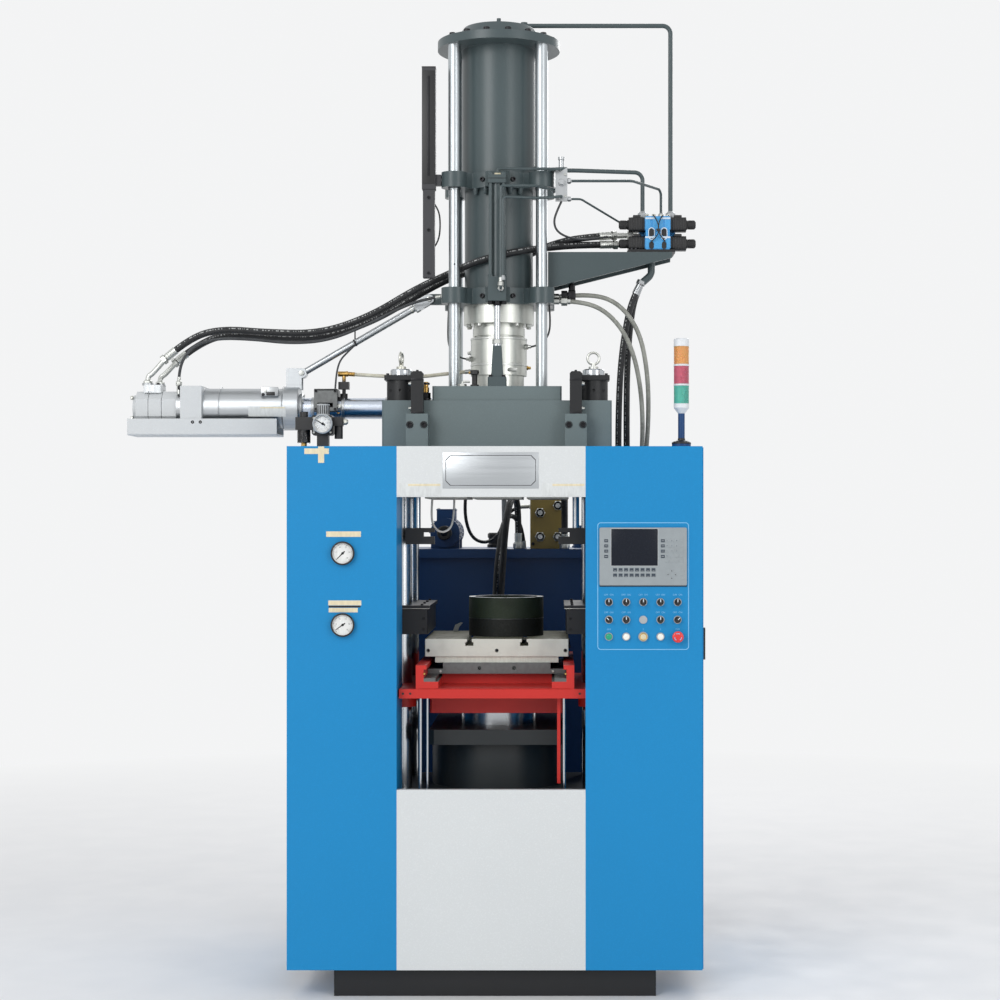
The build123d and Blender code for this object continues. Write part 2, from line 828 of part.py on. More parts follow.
def left_cabinet():
    """A folded enclosure for the gauge lines, open at the back, with the side guard behind it."""
    outer = -enclosure_half_width
    inner = left_panel_edge
    y0, y1 = enclosure_front, box_rear
    z0, z1 = base_height, enclosure_top
    skin = block(outer, inner, y0, y0 + sheet, z0, z1)
    skin += block(outer, outer + sheet, y0, guard_rear, z0, z1)
    skin += block(inner - sheet, inner, y0, y1, z0, z1)
    skin += block(outer, inner, y0, y1, z0, z0 + sheet)
    skin += block(outer, inner, y0, y1, z1 - sheet, z1)
    skin += block(outer, outer + fold, y1, guard_rear, z1 - sheet, z1)
    skin += block(outer, outer + fold, y1, guard_rear, z0, z0 + sheet)
    skin += block(outer, outer + fold, guard_rear - sheet, guard_rear, z0, z1)
    for height in gauge_heights:
        skin -= bar_y(y0, y0 + sheet, gauge_x, height, needle_hub * 2)
    save("left_cabinet", skin)


def right_cabinet():
    """The electrical cabinet with a door opening in its side, and its mounting plate."""
    inner, outer = right_box_inner, enclosure_half_width
    y0, y1 = enclosure_front, box_rear
    z0, z1 = base_height, enclosure_top
    skin = block(right_panel_edge, outer, y0, y0 + sheet, z0, z1)
    skin += block(inner, inner + sheet, y0, y1, z0, z1)
    skin += block(inner, outer, y1 - sheet, y1, z0, z1)
    skin += block(inner, outer, y0, y1, z0, z0 + sheet)
    skin += block(inner, outer, y0, y1, z1 - sheet, z1)
    side = block(outer - sheet, outer, y0, guard_rear, z0, z1)
    edge = door_edge + 4
    side -= block(outer - sheet, outer, y0 + edge, y1 - edge, z0 + edge, z1 - edge)
    skin += side
    skin += block(outer - fold, outer, y1, guard_rear, z1 - sheet, z1)
    skin += block(outer - fold, outer, y1, guard_rear, z0, z0 + sheet)
    skin += block(outer - fold, outer, guard_rear - sheet, guard_rear, z0, z1)
    for z in control_rows:
        for x in control_columns:
            skin -= bar_y(y0, y0 + sheet, x, z, button_stem + 2 * hole_gap)
    for z in hinge_places:
        skin += hinge_half(z, 1)
    plate_front = y1 - sheet - 30
    plate = block(inner + 20, outer - 30, plate_front, plate_front + sheet, z0 + 90, z1 - 120)
    for x in (inner + 40, outer - 50):
        for z in (z0 + 130, z1 - 160):
            plate += bar_y(plate_front + sheet, y1 - sheet, x, z, 14)
    bottom = z0 + 160
    for height, depth, count in ((190, 110, 2), (90, 70, 6), (110, 75, 4), (150, 90, 3)):
        width = (outer - inner - 90) / count
        for place in range(count):
            x = inner + 40 + place * width
            module = block(x, x + width - 8, plate_front - depth, plate_front, bottom, bottom + height)
            plate += module
        bottom += height + 120
    save("right_cabinet", skin, plate)


def front_panels():
    """The header and the lower front panel, folded trays between the two cabinets."""
    panels = []
    x0, x1 = left_panel_edge, right_panel_edge
    for z0, z1 in ((base_height, lower_panel_top), (header_bottom, enclosure_top)):
        y0 = enclosure_front
        panel = block(x0, x1, y0, y0 + sheet, z0, z1)
        for low, high in ((z0, z0 + sheet), (z1 - sheet, z1)):
            panel += block(x0, x1, y0, y0 + fold, low, high)
        panels.append(panel)
    save("front_panels", *panels)


def hinge_half(z, side):
    """Half a lift-off hinge on the door's axis: side is 1 for the cabinet's half and -1 for the door's."""
    bottom, top = sorted((z - side * body_gap / 2, z - side * hinge_knuckle_length))
    knuckle = post(hinge_x, hinge_y, bottom, top, hinge_knuckle)
    if side < 0:
        return knuckle - post(hinge_x, hinge_y, bottom, top, hinge_pin + 2 * running_gap)
    face = enclosure_half_width
    knuckle += block(face, face + sheet, hinge_y, hinge_y + hinge_leaf, bottom, top)
    return knuckle + post(hinge_x, hinge_y, top, z + hinge_knuckle_length - 4, hinge_pin)


def cabinet_door():
    """The electrical cabinet's side door: a skin and a shallow folded tray behind it."""
    outer = enclosure_half_width
    y0, y1 = enclosure_front + 4, box_rear - 4
    z0, z1 = base_height + 4, enclosure_top - 4
    x0 = outer + body_gap
    door = block(x0, x0 + sheet, y0, y1, z0, z1)
    edge = door_edge + 6
    tray = block(outer - door_depth, x0, y0 + edge, y1 - edge, z0 + edge, z1 - edge)
    tray -= block(
        outer - door_depth, x0, y0 + edge + sheet, y1 - edge - sheet,
        z0 + edge + sheet, z1 - edge - sheet,
    )
    door += tray
    for z in hinge_places:
        room = hinge_knuckle + 2 * body_gap
        low = z - hinge_knuckle_length - body_gap
        door -= post(hinge_x, hinge_y, low, z + body_gap / 2, room)
        door += hinge_half(z, -1)
        low = z + body_gap / 2
        door -= post(hinge_x, hinge_y, low, low + hinge_knuckle_length, hinge_pin + 2 * running_gap)
    z = door_handle_top - door_handle_width / 2
    door -= bar_x(x0, x0 + sheet, door_handle_y, z, door_pin_diameter + 2 * running_gap)
    save("cabinet_door", door)


def door_handle():
    """A turning handle and its pin, flat on the door."""
    x0 = enclosure_half_width + body_gap + sheet
    z = door_handle_top - door_handle_width / 2
    half = door_handle_width / 2
    lever_bottom = door_handle_top - door_handle_length
    lever = block(x0 + body_gap, x0 + 8, door_handle_y - half, door_handle_y + half, lever_bottom, z)
    lever += bar_x(x0 + body_gap, x0 + 8, door_handle_y, z, door_handle_width)
    pin = bar_x(x0 - 12, x0 + body_gap, door_handle_y, z, door_pin_diameter)
    save("door_handle", lever + pin)


# Clamp ram, table and shuttle


def clamp_ram():
    """The clamp ram and the three rods under the table's front."""
    ram = post(0, 0, ram_bottom, table_block_bottom, ram_diameter)
    ram = chamfer(ram.edges().group_by(Axis.Z)[0], 5)
    rods = []
    for x, diameter in guide_rod_places:
        rods.append(post(x, guide_rod_y, guide_rod_bottom, table_top, diameter))
    save("clamp_ram", ram, *rods)


def c_rail(side):
    """One C-shaped rail of the slide frame; side is -1 on the left and 1 on the right."""
    bottom = slide_plate_top
    web = rail_outer - rail_web
    upper = rail_outer - rail_upper_reach
    lower = rail_outer - rail_lower_reach
    outline = [
        (rail_outer, bottom), (rail_outer, rail_top), (upper, rail_top),
        (upper, rail_top - rail_upper_lip), (web, rail_top - rail_upper_lip),
        (web, bottom + rail_lower_lip), (lower, bottom + rail_lower_lip), (lower, bottom),
    ]
    face = make_face(Polyline(*[(side * x, z) for x, z in outline], close=True))
    placed = Plane.XZ.offset(-slide_plate_rear) * face
    return extrude(placed, amount=slide_plate_rear - rail_front, dir=(0, -1, 0))


def moving_platen():
    """The table block and slide frame, welded, with rail liners and two ejector cylinders."""
    table = block(
        -table_half_width, table_half_width, -table_half_depth, table_half_depth,
        table_block_bottom, table_top,
    )
    table = chamfer(table.edges().filter_by(Axis.Z), beam_edge)
    table += block(
        -slide_plate_half_width, slide_plate_half_width,
        slide_plate_front, slide_plate_rear, table_top, slide_plate_top,
    )
    table += block(
        -beam_half_width, beam_half_width,
        slide_plate_wide_front, slide_plate_rear, table_top, slide_plate_top,
    )
    for side in (-1, 1):
        table += c_rail(side)
    table += block(
        -rail_outer + rail_lower_reach, rail_outer - rail_lower_reach,
        cross_member_y, cross_member_y + cross_member_depth, slide_plate_top, liner_top,
    )
    table += block(
        hanging_bar_x - 6, hanging_bar_x + 6, guide_rod_y - 4, guide_rod_y + 4,
        hanging_bar_bottom, table_top,
    )
    for x, y in four(tie_bar_x, tie_bar_y):
        table += post(x, y, guide_boss_bottom, table_top, guide_boss_diameter)
    for x, y in four(tie_bar_x, tie_bar_y):
        hole = tie_bar_diameter + 2 * running_gap
        table -= post(x, y, guide_boss_bottom, slide_plate_top, hole)
    web = rail_outer - rail_web
    liners = []
    for side in (-1, 1):
        near, far = sorted((side * web, side * (web - liner_width)))
        liners.append(
            block(near, far, rail_front, slide_plate_rear, slide_plate_top + rail_lower_lip, liner_top)
        )
    cylinders = []
    top = slide_plate_top + lower_cylinder_height
    for side in (-1, 1):
        x = side * lower_cylinder_x
        barrel = post(x, 0, slide_plate_top, top, lower_cylinder_diameter)
        bore = lower_rod_diameter + 2 * running_gap
        floor = slide_plate_top + lower_cylinder_floor
        cylinders.append(barrel - post(x, 0, floor, top, bore))
    save("moving_platen", table, *liners, *cylinders)


def carriage():
    """The shuttle's sliding plate, with wings that run in the C-rails."""
    wing_half = rail_outer - rail_web - 2
    plate = block(
        -carriage_half_width, carriage_half_width,
        carriage_front, carriage_rear, carriage_bottom, carriage_top,
    )
    plate += block(
        -wing_half, wing_half, carriage_front, carriage_rear,
        liner_top + body_gap, liner_top + body_gap + carriage_wing,
    )
    for x in (-carriage_stop_x, carriage_stop_x):
        z = (carriage_bottom + carriage_top) / 2
        plate -= bar_y(carriage_front, carriage_front + 30, x, z, carriage_stop_hole)
    save("carriage", plate)


def lower_platen():
    """The lower heating platen on its insulation board."""
    half = platen_half_width
    top = lower_platen_bottom + platen_thickness
    platen = block(-half, half, -half, half, lower_platen_bottom, top)
    platen = chamfer(platen.edges().filter_by(Axis.Z), 2)
    for cut in t_slots(top, True, -half, half) + heater_holes(lower_platen_bottom, -half):
        platen -= cut
    inner = insulation_half_width
    board = block(
        -inner, inner, carriage_front + 6, carriage_rear, carriage_top, lower_platen_bottom
    )
    save("lower_platen", platen, board)


def mould():
    """A round two-plate mould with a dished top and a parting groove."""
    bottom = lower_platen_bottom + platen_thickness
    top = bottom + mould_height
    body = post(mould_x, 0, bottom, top, mould_diameter)
    body -= cone(mould_x, 0, top - mould_bore_depth, top, mould_bore - 24, mould_bore)
    joint = bottom + mould_joint_height
    ring = post(mould_x, 0, joint, joint + mould_joint_groove, mould_diameter)
    ring -= post(mould_x, 0, joint, joint + mould_joint_groove, mould_diameter - 6)
    body -= ring
    save("mould", body)


# Ejectors


def upper_ejector_cylinders():
    """Two slim square cylinders with tapered tops, bored for their rods."""
    cylinders = []
    half = upper_ejector_width / 2
    y = upper_ejector_y
    for side in (-1, 1):
        x = side * upper_ejector_x
        body = block(x - half, x + half, y - half, y + half, upper_ejector_bottom, upper_ejector_top)
        body = chamfer(body.edges().group_by(Axis.Z)[-1], upper_ejector_taper)
        bore = upper_ejector_width - 2 * upper_ejector_wall
        body -= post(x, y, upper_ejector_bottom, upper_ejector_top - 15, bore)
        cylinders.append(body)
    save("upper_ejector_cylinders", *cylinders)


def upper_hook(name, side):
    """An ejector rod with the hook that takes the mould's upper plate."""
    x = side * upper_ejector_x
    y = upper_ejector_y
    rod = post(x, y, hook_top, upper_rod_top, upper_rod_diameter)
    low, high = sorted((side * hook_outer, side * hook_inner))
    hook = block(low, high, y - hook_depth / 2, y + hook_depth / 2, hook_bottom, hook_top)
    near, far = sorted((side * hook_inner, side * (hook_inner + hook_lip_reach)))
    hook -= block(
        near, far, y - hook_depth / 2, y + hook_depth / 2,
        hook_bottom + hook_lip_height, hook_top - 16,
    )
    save(name, hook + rod)


def lower_ejector(name, side):
    """A lifting bar guided on two tie bars, with its cap plate and lift rod."""
    low, high = sorted((side * lower_ejector_inner, side * lower_ejector_outer))
    depth = lower_ejector_half_depth
    cap_bottom = lower_ejector_top - lower_ejector_cap
    bar = block(low, high, -depth, depth, lower_ejector_bottom, cap_bottom - 2)
    bar = chamfer(bar.edges().filter_by(Axis.Z), 3)
    cap_inner = side * (lower_ejector_inner - lower_ejector_overhang)
    low, high = sorted((cap_inner, side * lower_ejector_outer))
    bar += block(low, high, -depth, depth, cap_bottom, lower_ejector_top)
    low, high = sorted((side * (lower_ejector_inner + 4), side * (lower_ejector_outer - 4)))
    bar += block(low, high, -depth + 4, depth - 4, cap_bottom - 2, cap_bottom)
    for y in (-tie_bar_y, tie_bar_y):
        hole = tie_bar_diameter + 2 * running_gap
        bar -= post(side * tie_bar_x, y, lower_ejector_bottom, lower_ejector_top, hole)
    rod_bottom = slide_plate_top + lower_cylinder_floor + 4
    rod = post(side * lower_cylinder_x, 0, rod_bottom, lower_ejector_bottom, lower_rod_diameter)
    save(name, bar + rod)


# Injection unit


def guide_columns():
    """Four columns from the top flange down into the beam, sleeved above the upper yoke."""
    columns = []
    for x, y in four(column_x, column_y):
        column = post(x, y, column_bottom, upper_yoke_top, column_diameter)
        column += post(x, y, upper_yoke_top, cylinder_top, column_sleeve)
        column = chamfer(column.edges().group_by(Axis.Z)[0], 3)
        columns.append(column)
    save("guide_columns", *columns)


def injection_cylinder():
    """The injection cylinder with its flange, tapered cover and lifting eye."""
    body = post(0, 0, upper_yoke_top, cylinder_top, cylinder_diameter)
    body += post(0, 0, cylinder_bottom, upper_yoke_top, cylinder_lower_diameter)
    flange_top = cylinder_top + flange_thickness
    flange = post(0, 0, cylinder_top, flange_top, flange_diameter)
    body += flange
    cover_top = flange_top + cover_height
    body += cone(0, 0, flange_top, cover_top, cover_diameter, cover_top_diameter)
    head_top = cylinder_bottom + cylinder_head_thickness
    body -= post(0, 0, head_top, cylinder_top, cylinder_bore)
    body -= post(0, 0, cylinder_bottom, head_top, plunger_diameter + 2 * running_gap)
    save("injection_cylinder", body, lifting_eye(0, 0, cover_top, 62, top_eye_collar_height))


def injection_plunger():
    """The hydraulic piston with the injection plunger as its rod."""
    piston_diameter = cylinder_bore - 2 * running_gap
    body = post(0, 0, piston_bottom, piston_bottom + piston_height, piston_diameter)
    body += post(0, 0, plunger_bottom, piston_bottom, plunger_diameter)
    save("injection_plunger", body)


def yoke(bottom, top, bore):
    """A cast yoke: a disc and four ears joined by two crossed arms."""
    height = top - bottom
    middle = (bottom + top) / 2
    body = post(0, 0, bottom, top, yoke_disc_diameter)
    span = 2 * math.hypot(column_x, column_y)
    angle = math.degrees(math.atan2(column_y, column_x))
    for turn in (angle, -angle):
        body += Pos(0, 0, middle) * Rot(0, 0, turn) * Box(span, yoke_arm, height)
    for x, y in four(column_x, column_y):
        body += post(x, y, bottom, top, yoke_ear_diameter)
    for x, y in four(column_x, column_y):
        body -= post(x, y, bottom, top, column_diameter + 2 * running_gap)
    return body - post(0, 0, bottom, top, bore)


def valve_bracket():
    """The folded bracket that carries the valves: two gussets, top, back and foot."""
    plate = bracket_plate
    outline = Polyline(
        (bracket_left, bracket_bottom), (bracket_left, bracket_top), (bracket_right, bracket_top),
        (bracket_right, bracket_top - bracket_tip_height), close=True,
    )
    face = make_face(outline)
    half = bracket_half_depth
    bracket = None
    for y in (-half + plate, half):
        gusset = extrude(Plane.XZ.offset(-y) * face, amount=plate, dir=(0, -1, 0))
        bracket = gusset if bracket is None else bracket + gusset
    bracket += block(bracket_left, bracket_right, -half, half, bracket_top - plate, bracket_top)
    bracket += block(bracket_left, bracket_left + plate, -half, half, cylinder_bottom, bracket_top)
    foot = block(
        cylinder_lower_diameter / 2 + 4, bracket_left + plate, -half, half,
        cylinder_bottom, cylinder_bottom + plate,
    )
    return bracket + foot


def yoke_pad(bottom, top):
    """The seat at a yoke's front for the lift cylinder's cap."""
    front = lift_y + lift_cap / 2
    return block(-46, 46, front, -yoke_disc_diameter / 2 + 12, bottom, top)


def injection_yokes():
    """The upper and lower yokes, and the valve bracket that stands on the lower one."""
    bore = cylinder_lower_diameter + 2 * running_gap
    upper = yoke(upper_yoke_bottom, upper_yoke_top, bore)
    upper += yoke_pad(upper_yoke_bottom, upper_yoke_top)
    lower = yoke(lower_yoke_bottom, cylinder_bottom, lower_yoke_bore)
    lower += yoke_pad(lower_yoke_bottom, cylinder_bottom)
    # The web under the valve bracket's foot, with three hose fittings on its end.
    half = bracket_half_depth
    inner = yoke_disc_diameter / 2 - 20
    lower += block(inner, bracket_web_right, -half, half, lower_yoke_bottom, cylinder_bottom)
    for y, z in tank_fittings:
        lower += bar_x(bracket_web_right, bracket_web_right + fitting_length, y, z, fitting_diameter)
    # A lug on the left takes the strut's fork.
    z = strut_upper_z
    half = strut_lug_width / 2
    lug = block(strut_lug_x, -yoke_disc_diameter / 2 + 10, -half, half, z - 20, z + 20)
    lower += lug + bar_y(-half, half, strut_lug_x, z, 40)
    lower -= bar_y(-half, half, strut_lug_x, z, strut_pin + 2 * running_gap)
    save("injection_yokes", upper, lower, valve_bracket())


def lift_cylinder():
    """The tie-rod cylinder that raises the injection unit, in front of the two yokes."""
    half = lift_cap / 2
    y = lift_y
    lower_cap_top = lift_cylinder_bottom + lift_cap_height
    upper_cap_bottom = lift_cylinder_top - lift_cap_height
    cap = block(-half, half, y - half, y + half, lower_yoke_bottom, lower_cap_top)
    cap = chamfer(cap.edges().filter_by(Axis.Z), 4)
    cap -= post(0, y, lower_yoke_bottom, lower_cap_top, lift_rod_diameter + 2 * running_gap)
    top = block(-half, half, y - half, y + half, upper_cap_bottom, lift_cylinder_top)
    body = cap + chamfer(top.edges().filter_by(Axis.Z), 4)
    tube = post(0, y, lower_cap_top, upper_cap_bottom, lift_tube_diameter)
    body += tube - post(0, y, lower_cap_top, upper_cap_bottom, lift_tube_bore)
    for dx, dy in four(lift_tie_rod_offset, lift_tie_rod_offset):
        body += post(dx, y + dy, lower_cap_top, upper_cap_bottom, lift_tie_rod_diameter)
    save("lift_cylinder", body)


def lift_rod():
    """The lift cylinder's rod, locked in a tapered anchor on the beam."""
    y = lift_y
    half = lift_anchor_foot / 2
    foot_top = raised_block_top + lift_foot_height
    foot = block(-half, half, y - half, y + half, raised_block_top, foot_top)
    foot = chamfer(foot.edges().filter_by(Axis.Z), 4)
    width = lift_anchor_foot * 2 / 3
    lower = Plane.XY.offset(foot_top) * Rectangle(width, width)
    upper = Plane.XY.offset(lift_anchor_top) * Rectangle(lift_anchor_width, lift_anchor_width)
    anchor = Pos(0, y, 0) * loft([lower, upper])
    rod = post(0, y, lift_anchor_top, lift_rod_top, lift_rod_diameter)
    nut = post(0, y, lift_anchor_top, lift_anchor_top + 16, lift_anchor_width)
    save("lift_rod", foot + anchor + rod + nut)


def injection_barrel():
    """The heated injection barrel with its nozzle, bored for the plunger and the feeder."""
    steps = []
    jacket_top = lower_yoke_bottom
    for height, diameter in barrel_steps:
        steps.append((jacket_top, jacket_top - height, diameter))
        jacket_top -= height
    groove_bottom = jacket_top - barrel_groove
    cone_bottom = barrel_bottom - nozzle_cone_height
    tip_top = nozzle_bottom + nozzle_tip_height
    steps.append((jacket_top, groove_bottom, barrel_groove_diameter))
    steps.append((barrel_jacket_bottom, barrel_bottom, barrel_diameter))
    steps.append((cone_bottom, tip_top, nozzle_diameter))
    body = cone(0, 0, cone_bottom, barrel_bottom, nozzle_diameter, barrel_diameter)
    for top, bottom, diameter in steps:
        body += post(0, 0, bottom, top, diameter)
    jacket = post(0, 0, barrel_jacket_bottom, groove_bottom, barrel_jacket_diameter)
    body += jacket
    body += cone(0, 0, nozzle_bottom, tip_top, nozzle_diameter / 2, nozzle_diameter)
    bore = plunger_diameter + 2 * running_gap
    body -= post(0, 0, plunger_bore_bottom, lower_yoke_bottom, bore)
    body -= post(0, 0, nozzle_bottom, plunger_bore_bottom, sprue_diameter)
    seat = feeder_barrel_diameter + 2 * running_gap
    body -= bar_x(-barrel_diameter, feeder_seat, 0, feeder_z, seat)
    body -= bar_x(feeder_seat, 0, 0, feeder_z, feed_channel_diameter)
    save("injection_barrel", body)


def solenoid(x, side, z):
    """A solenoid and its end knob, on the left or right end of a valve."""
    y = valve_y
    end = x + side * solenoid_length
    half = solenoid_diameter / 2
    x0, x1 = sorted((x, end))
    coil = block(x0, x1, y - half, y + half, z - half, z + half)
    coil = fillet(coil.edges().filter_by(Axis.X), half / 2)
    x0, x1 = sorted((end, end + side * solenoid_knob_length))
    return coil + bar_x(x0, x1, y, z, solenoid_knob_diameter)


def directional_valves():
    """Two stacked directional valves in front of a manifold, with a solenoid at each end."""
    half = bracket_half_depth
    subplate = block(subplate_left, subplate_right, -half, half, bracket_top, subplate_top)
    subplate = chamfer(subplate.edges().filter_by(Axis.Z), 4)
    manifold = block(manifold_left, manifold_right, manifold_front, half, subplate_top, manifold_top)
    solids = [subplate, manifold]
    low, high = -half, manifold_front
    middle = (valve_left + valve_right) / 2
    bottom = subplate_top
    for place in range(2):
        top = bottom + valve_height
        valve = block(valve_left, valve_right, low, high, bottom, top)
        valve = chamfer(valve.edges().filter_by(Axis.Y), 5)
        z = (bottom + top) / 2
        for x, side in ((valve_left, -1), (valve_right, 1)):
            valve += solenoid(x, side, z)
        solids.append(valve)
        if place == 0:
            bottom = top + sandwich_height
            sandwich = block(valve_left + 3, valve_right - 3, low, high, top, bottom)
            for x in (middle - 23, middle + 23):
                sandwich -= block(x - 9, x + 9, low, low + 25, top + 3, bottom - 3)
            solids.append(sandwich)
    # Two elbows under the bracket lead to the thick hoses.
    for y in elbow_places:
        under = bracket_top - bracket_plate
        points = ((elbow_x, y, under), (elbow_x, y, under - 62), (elbow_x - 38, y, under - 96))
        solids.append(pipe(points, elbow_diameter, 30))
    save("directional_valves", *solids)


def steel_pipes():
    """Painted steel pipes from the cylinder to the manifold, and the lift cylinder's pipes."""
    cover_top = cylinder_top + flange_thickness + cover_height
    run_z = cover_top + main_pipe_rise
    y = (manifold_front + bracket_half_depth) / 2
    top = manifold_top
    points = ((main_pipe_x, y, run_z), (main_pipe_right, y, run_z), (main_pipe_right, y, top))
    main = pipe(points, main_pipe_diameter, pipe_bend)
    main += post(main_pipe_x, y, cover_top, run_z + 12, pipe_nut)
    main += post(main_pipe_right, y, top, top + 24, pipe_nut)
    start = cylinder_diameter / 2 + body_gap
    x = yoke_pipe_right
    z = yoke_pipe_z
    points = ((start, 0, z), (start + 150, 0, z), (x, y, z), (x, y, top))
    middle = pipe(points, yoke_pipe_diameter, pipe_bend)
    middle += bar_x(start, start + 24, 0, z, pipe_nut)
    middle += post(x, y, top, top + 24, pipe_nut)
    # A check valve block beside the upper yoke, carried by a foot on the yoke.
    x0, x1 = check_block_left, check_block_right
    check_y = check_block_y
    foot_top = upper_yoke_top + 12
    check = block(x0, x1, check_y - 17, check_y + 17, riser_pipe_z - 40, foot_top)
    check += block(x0 - 26, x1, check_y - 5, check_y + 35, upper_yoke_top, foot_top)
    d = small_pipe_diameter
    z = small_pipe_z
    x = small_pipe_right
    points = ((x1, check_y, z), (x1 + 240, check_y, z), (x, y, z), (x, y, top))
    check += thin_pipe(points, d, 22)
    z = riser_pipe_z - 33
    low = manifold_top - 18
    points = ((x1, check_y, z), (x1 + 50, check_y, z), (x1 + 210, y, low), (manifold_left, y, low))
    check += thin_pipe(points, 8, 20)
    cap_front = lift_y - lift_cap / 2
    front = cap_front - 20
    z0 = lower_yoke_bottom + 44
    z1 = riser_pipe_z
    points = (
        (14, cap_front, z0), (14, front, z0), (14, front, z1),
        (x0 - 74, front, z1), (x0, check_y, z1),
    )
    check += thin_pipe(points, d, 9)
    z = lift_cylinder_top
    points = ((0, lift_y, z), (0, lift_y, z + 26), (x0 + 16, lift_y, z + 26), (x0 + 16, check_y - 17, z + 26))
    check += thin_pipe(points, d, 12)
    save("steel_pipes", main, middle, check)


# Feeder


def feeder_body():
    """The feeder's barrel, throat, gearbox housing, saddle and strut clevis, bored for the screw."""
    z = feeder_z
    body = bar_x(feeder_barrel_left, feeder_seat, 0, z, feeder_barrel_diameter)
    left = feeder_barrel_left
    neck = left - housing_neck
    body += bar_x(housing_left, neck, 0, z, housing_neck_diameter)
    housing = bar_x(neck, left, 0, z, housing_diameter)
    body += chamfer(housing.edges().filter_by(GeomType.CIRCLE), 3)
    body += block(
        saddle_left, housing_left, -saddle_half_width, saddle_half_width, saddle_bottom, saddle_top
    )
    body += bar_x(gear_flange_left, saddle_left, 0, z, gear_flange_diameter)
    half = feeder_barrel_diameter / 2 + 8
    throat = block(throat_left, throat_right, throat_front, half, throat_bottom, throat_top)
    body += chamfer(throat.edges().filter_by(Axis.X), 4)
    body -= bar_x(screw_flight_left - 4, feeder_seat, 0, z, feeder_bore + 2 * running_gap)
    body -= bar_x(gear_flange_left, feeder_seat, 0, z, screw_root + 2 * running_gap)
    body -= block(
        throat_slot_left, throat_slot_right, throat_front, 0, throat_slot_bottom, throat_slot_top
    )
    # A clevis on the housing takes the strut's lower eye.
    pin_x, pin_z = strut_lower_x, strut_lower_z
    half = strut_eye / 2
    for y0 in (-half - 10, half):
        cheek = block(pin_x - 58, pin_x, y0, y0 + 10, z + housing_diameter / 2 - 12, pin_z + half)
        body += cheek + bar_y(y0, y0 + 10, pin_x, pin_z, strut_eye)
    hole = strut_pin + 2 * running_gap
    body -= bar_y(-half - 10, half + 10, pin_x, pin_z, hole)
    # A fitting on the barrel carries the temperature hose.
    top = riser_top
    riser = post(riser_x, 0, z + feeder_barrel_diameter / 2 - 4, top, 14)
    riser += post(riser_x, 0, z + feeder_barrel_diameter / 2 - 2, z + 56, 28)
    riser += block(riser_x - 20, riser_x + 20, -16, 16, z + 72, z + 100)
    riser += bar_x(riser_x - 22, riser_x + 16, 0, top, 20)
    save("feeder_body", body + riser)


def feeder_motor():
    """The hydraulic motor of the feeder: a body with cut corners, an end cap and a port block."""
    z = feeder_z
    half = motor_width / 2
    body = block(motor_left, gear_flange_left, -half, half, z - half, z + half)
    body = chamfer(body.edges().filter_by(Axis.X), motor_corner)
    body += bar_x(motor_left - 14, motor_left, 0, z, motor_width - 24)
    top = port_block_top
    body += block(port_block_left, port_block_right, -50, 50, z + half - 6, top)
    for joint in (motor_left + 46, motor_left + 96):
        ring = block(joint, joint + 2, -half, half, z - half, z + half)
        body -= ring - bar_x(joint, joint + 2, 0, z, motor_width - 8)
    save("feeder_motor", body)


def feeder_tray():
    """The folded tray under the feeder, and the strut that holds it from the lower yoke."""
    half = tray_half_width
    top = tray_bottom + tray_height
    tray = block(tray_left, tray_right, -half, half, tray_bottom, top)
    tray -= block(
        tray_left, tray_right, -half + tray_plate, half - tray_plate, tray_bottom + tray_plate, top
    )
    tray = fillet(tray.edges().filter_by(Axis.X).group_by(Axis.Z)[0], tray_plate)
    dx = strut_lug_x - strut_lower_x
    dz = strut_upper_z - strut_lower_z
    length = math.hypot(dx, dz)
    half = strut_eye / 2
    strut = bar_x(half - 4, length - 58, 0, 0, strut_diameter)
    strut += bar_y(-half, half, 0, 0, strut_eye) - bar_y(-half, half, 0, 0, strut_pin)
    lug = strut_lug_width / 2 + body_gap
    fork = block(length - 62, length, -lug - 10, lug + 10, -half, half)
    fork += bar_y(-lug - 10, lug + 10, length, 0, strut_eye)
    fork -= block(length - 32, length + half, -lug, lug, -half, half)
    strut += fork
    strut += bar_y(-lug - 14, lug + 14, length, 0, strut_pin)
    strut += bar_y(-half - 14, half + 14, 0, 0, strut_pin)
    slope = Plane(origin=(strut_lower_x, 0, strut_lower_z), x_dir=(dx, 0, dz), z_dir=(-dz, 0, dx))
    save("feeder_tray", tray, slope.location * strut)


def feed_screw():
    """The feed screw: a shaft with one helical flight."""
    height = screw_turns * screw_pitch
    depth = (feeder_bore - screw_root) / 2 + 2
    middle = screw_root / 2 - 2 + depth / 2
    path = Helix(pitch=screw_pitch, height=height, radius=middle)
    section = Plane(origin=path @ 0, z_dir=path % 0, x_dir=(1, 0, 0)) * Rectangle(
        depth, screw_flight_width
    )
    flight = sweep(section, path=path, is_frenet=True)
    outer = Pos(0, 0, height / 2) * Cylinder(feeder_bore / 2, height + 4 * screw_flight_width)
    flight = flight & outer
    flight = Pos(screw_flight_left + screw_flight_width, 0, feeder_z) * Rot(0, 90, 0) * flight
    save("feed_screw", bar_x(screw_left, screw_right, 0, feeder_z, screw_root) + flight)


def sensor_post():
    """The square post beside the cylinder that carries its position sensor."""
    x, y = post_x, post_y
    half = post_width / 2
    lower = post_lower_width / 2
    body = block(x - half, x + half, y - half, y + half, post_step, post_top)
    body += block(x - lower, x + lower, y - lower, y + lower, post_bottom, post_step)
    ear = -column_x - yoke_ear_diameter / 2 - body_gap
    middle = (upper_yoke_bottom + upper_yoke_top) / 2
    body += block(x, ear, y - 14, y + 14, middle - 20, middle + 20)
    save("sensor_post", body)


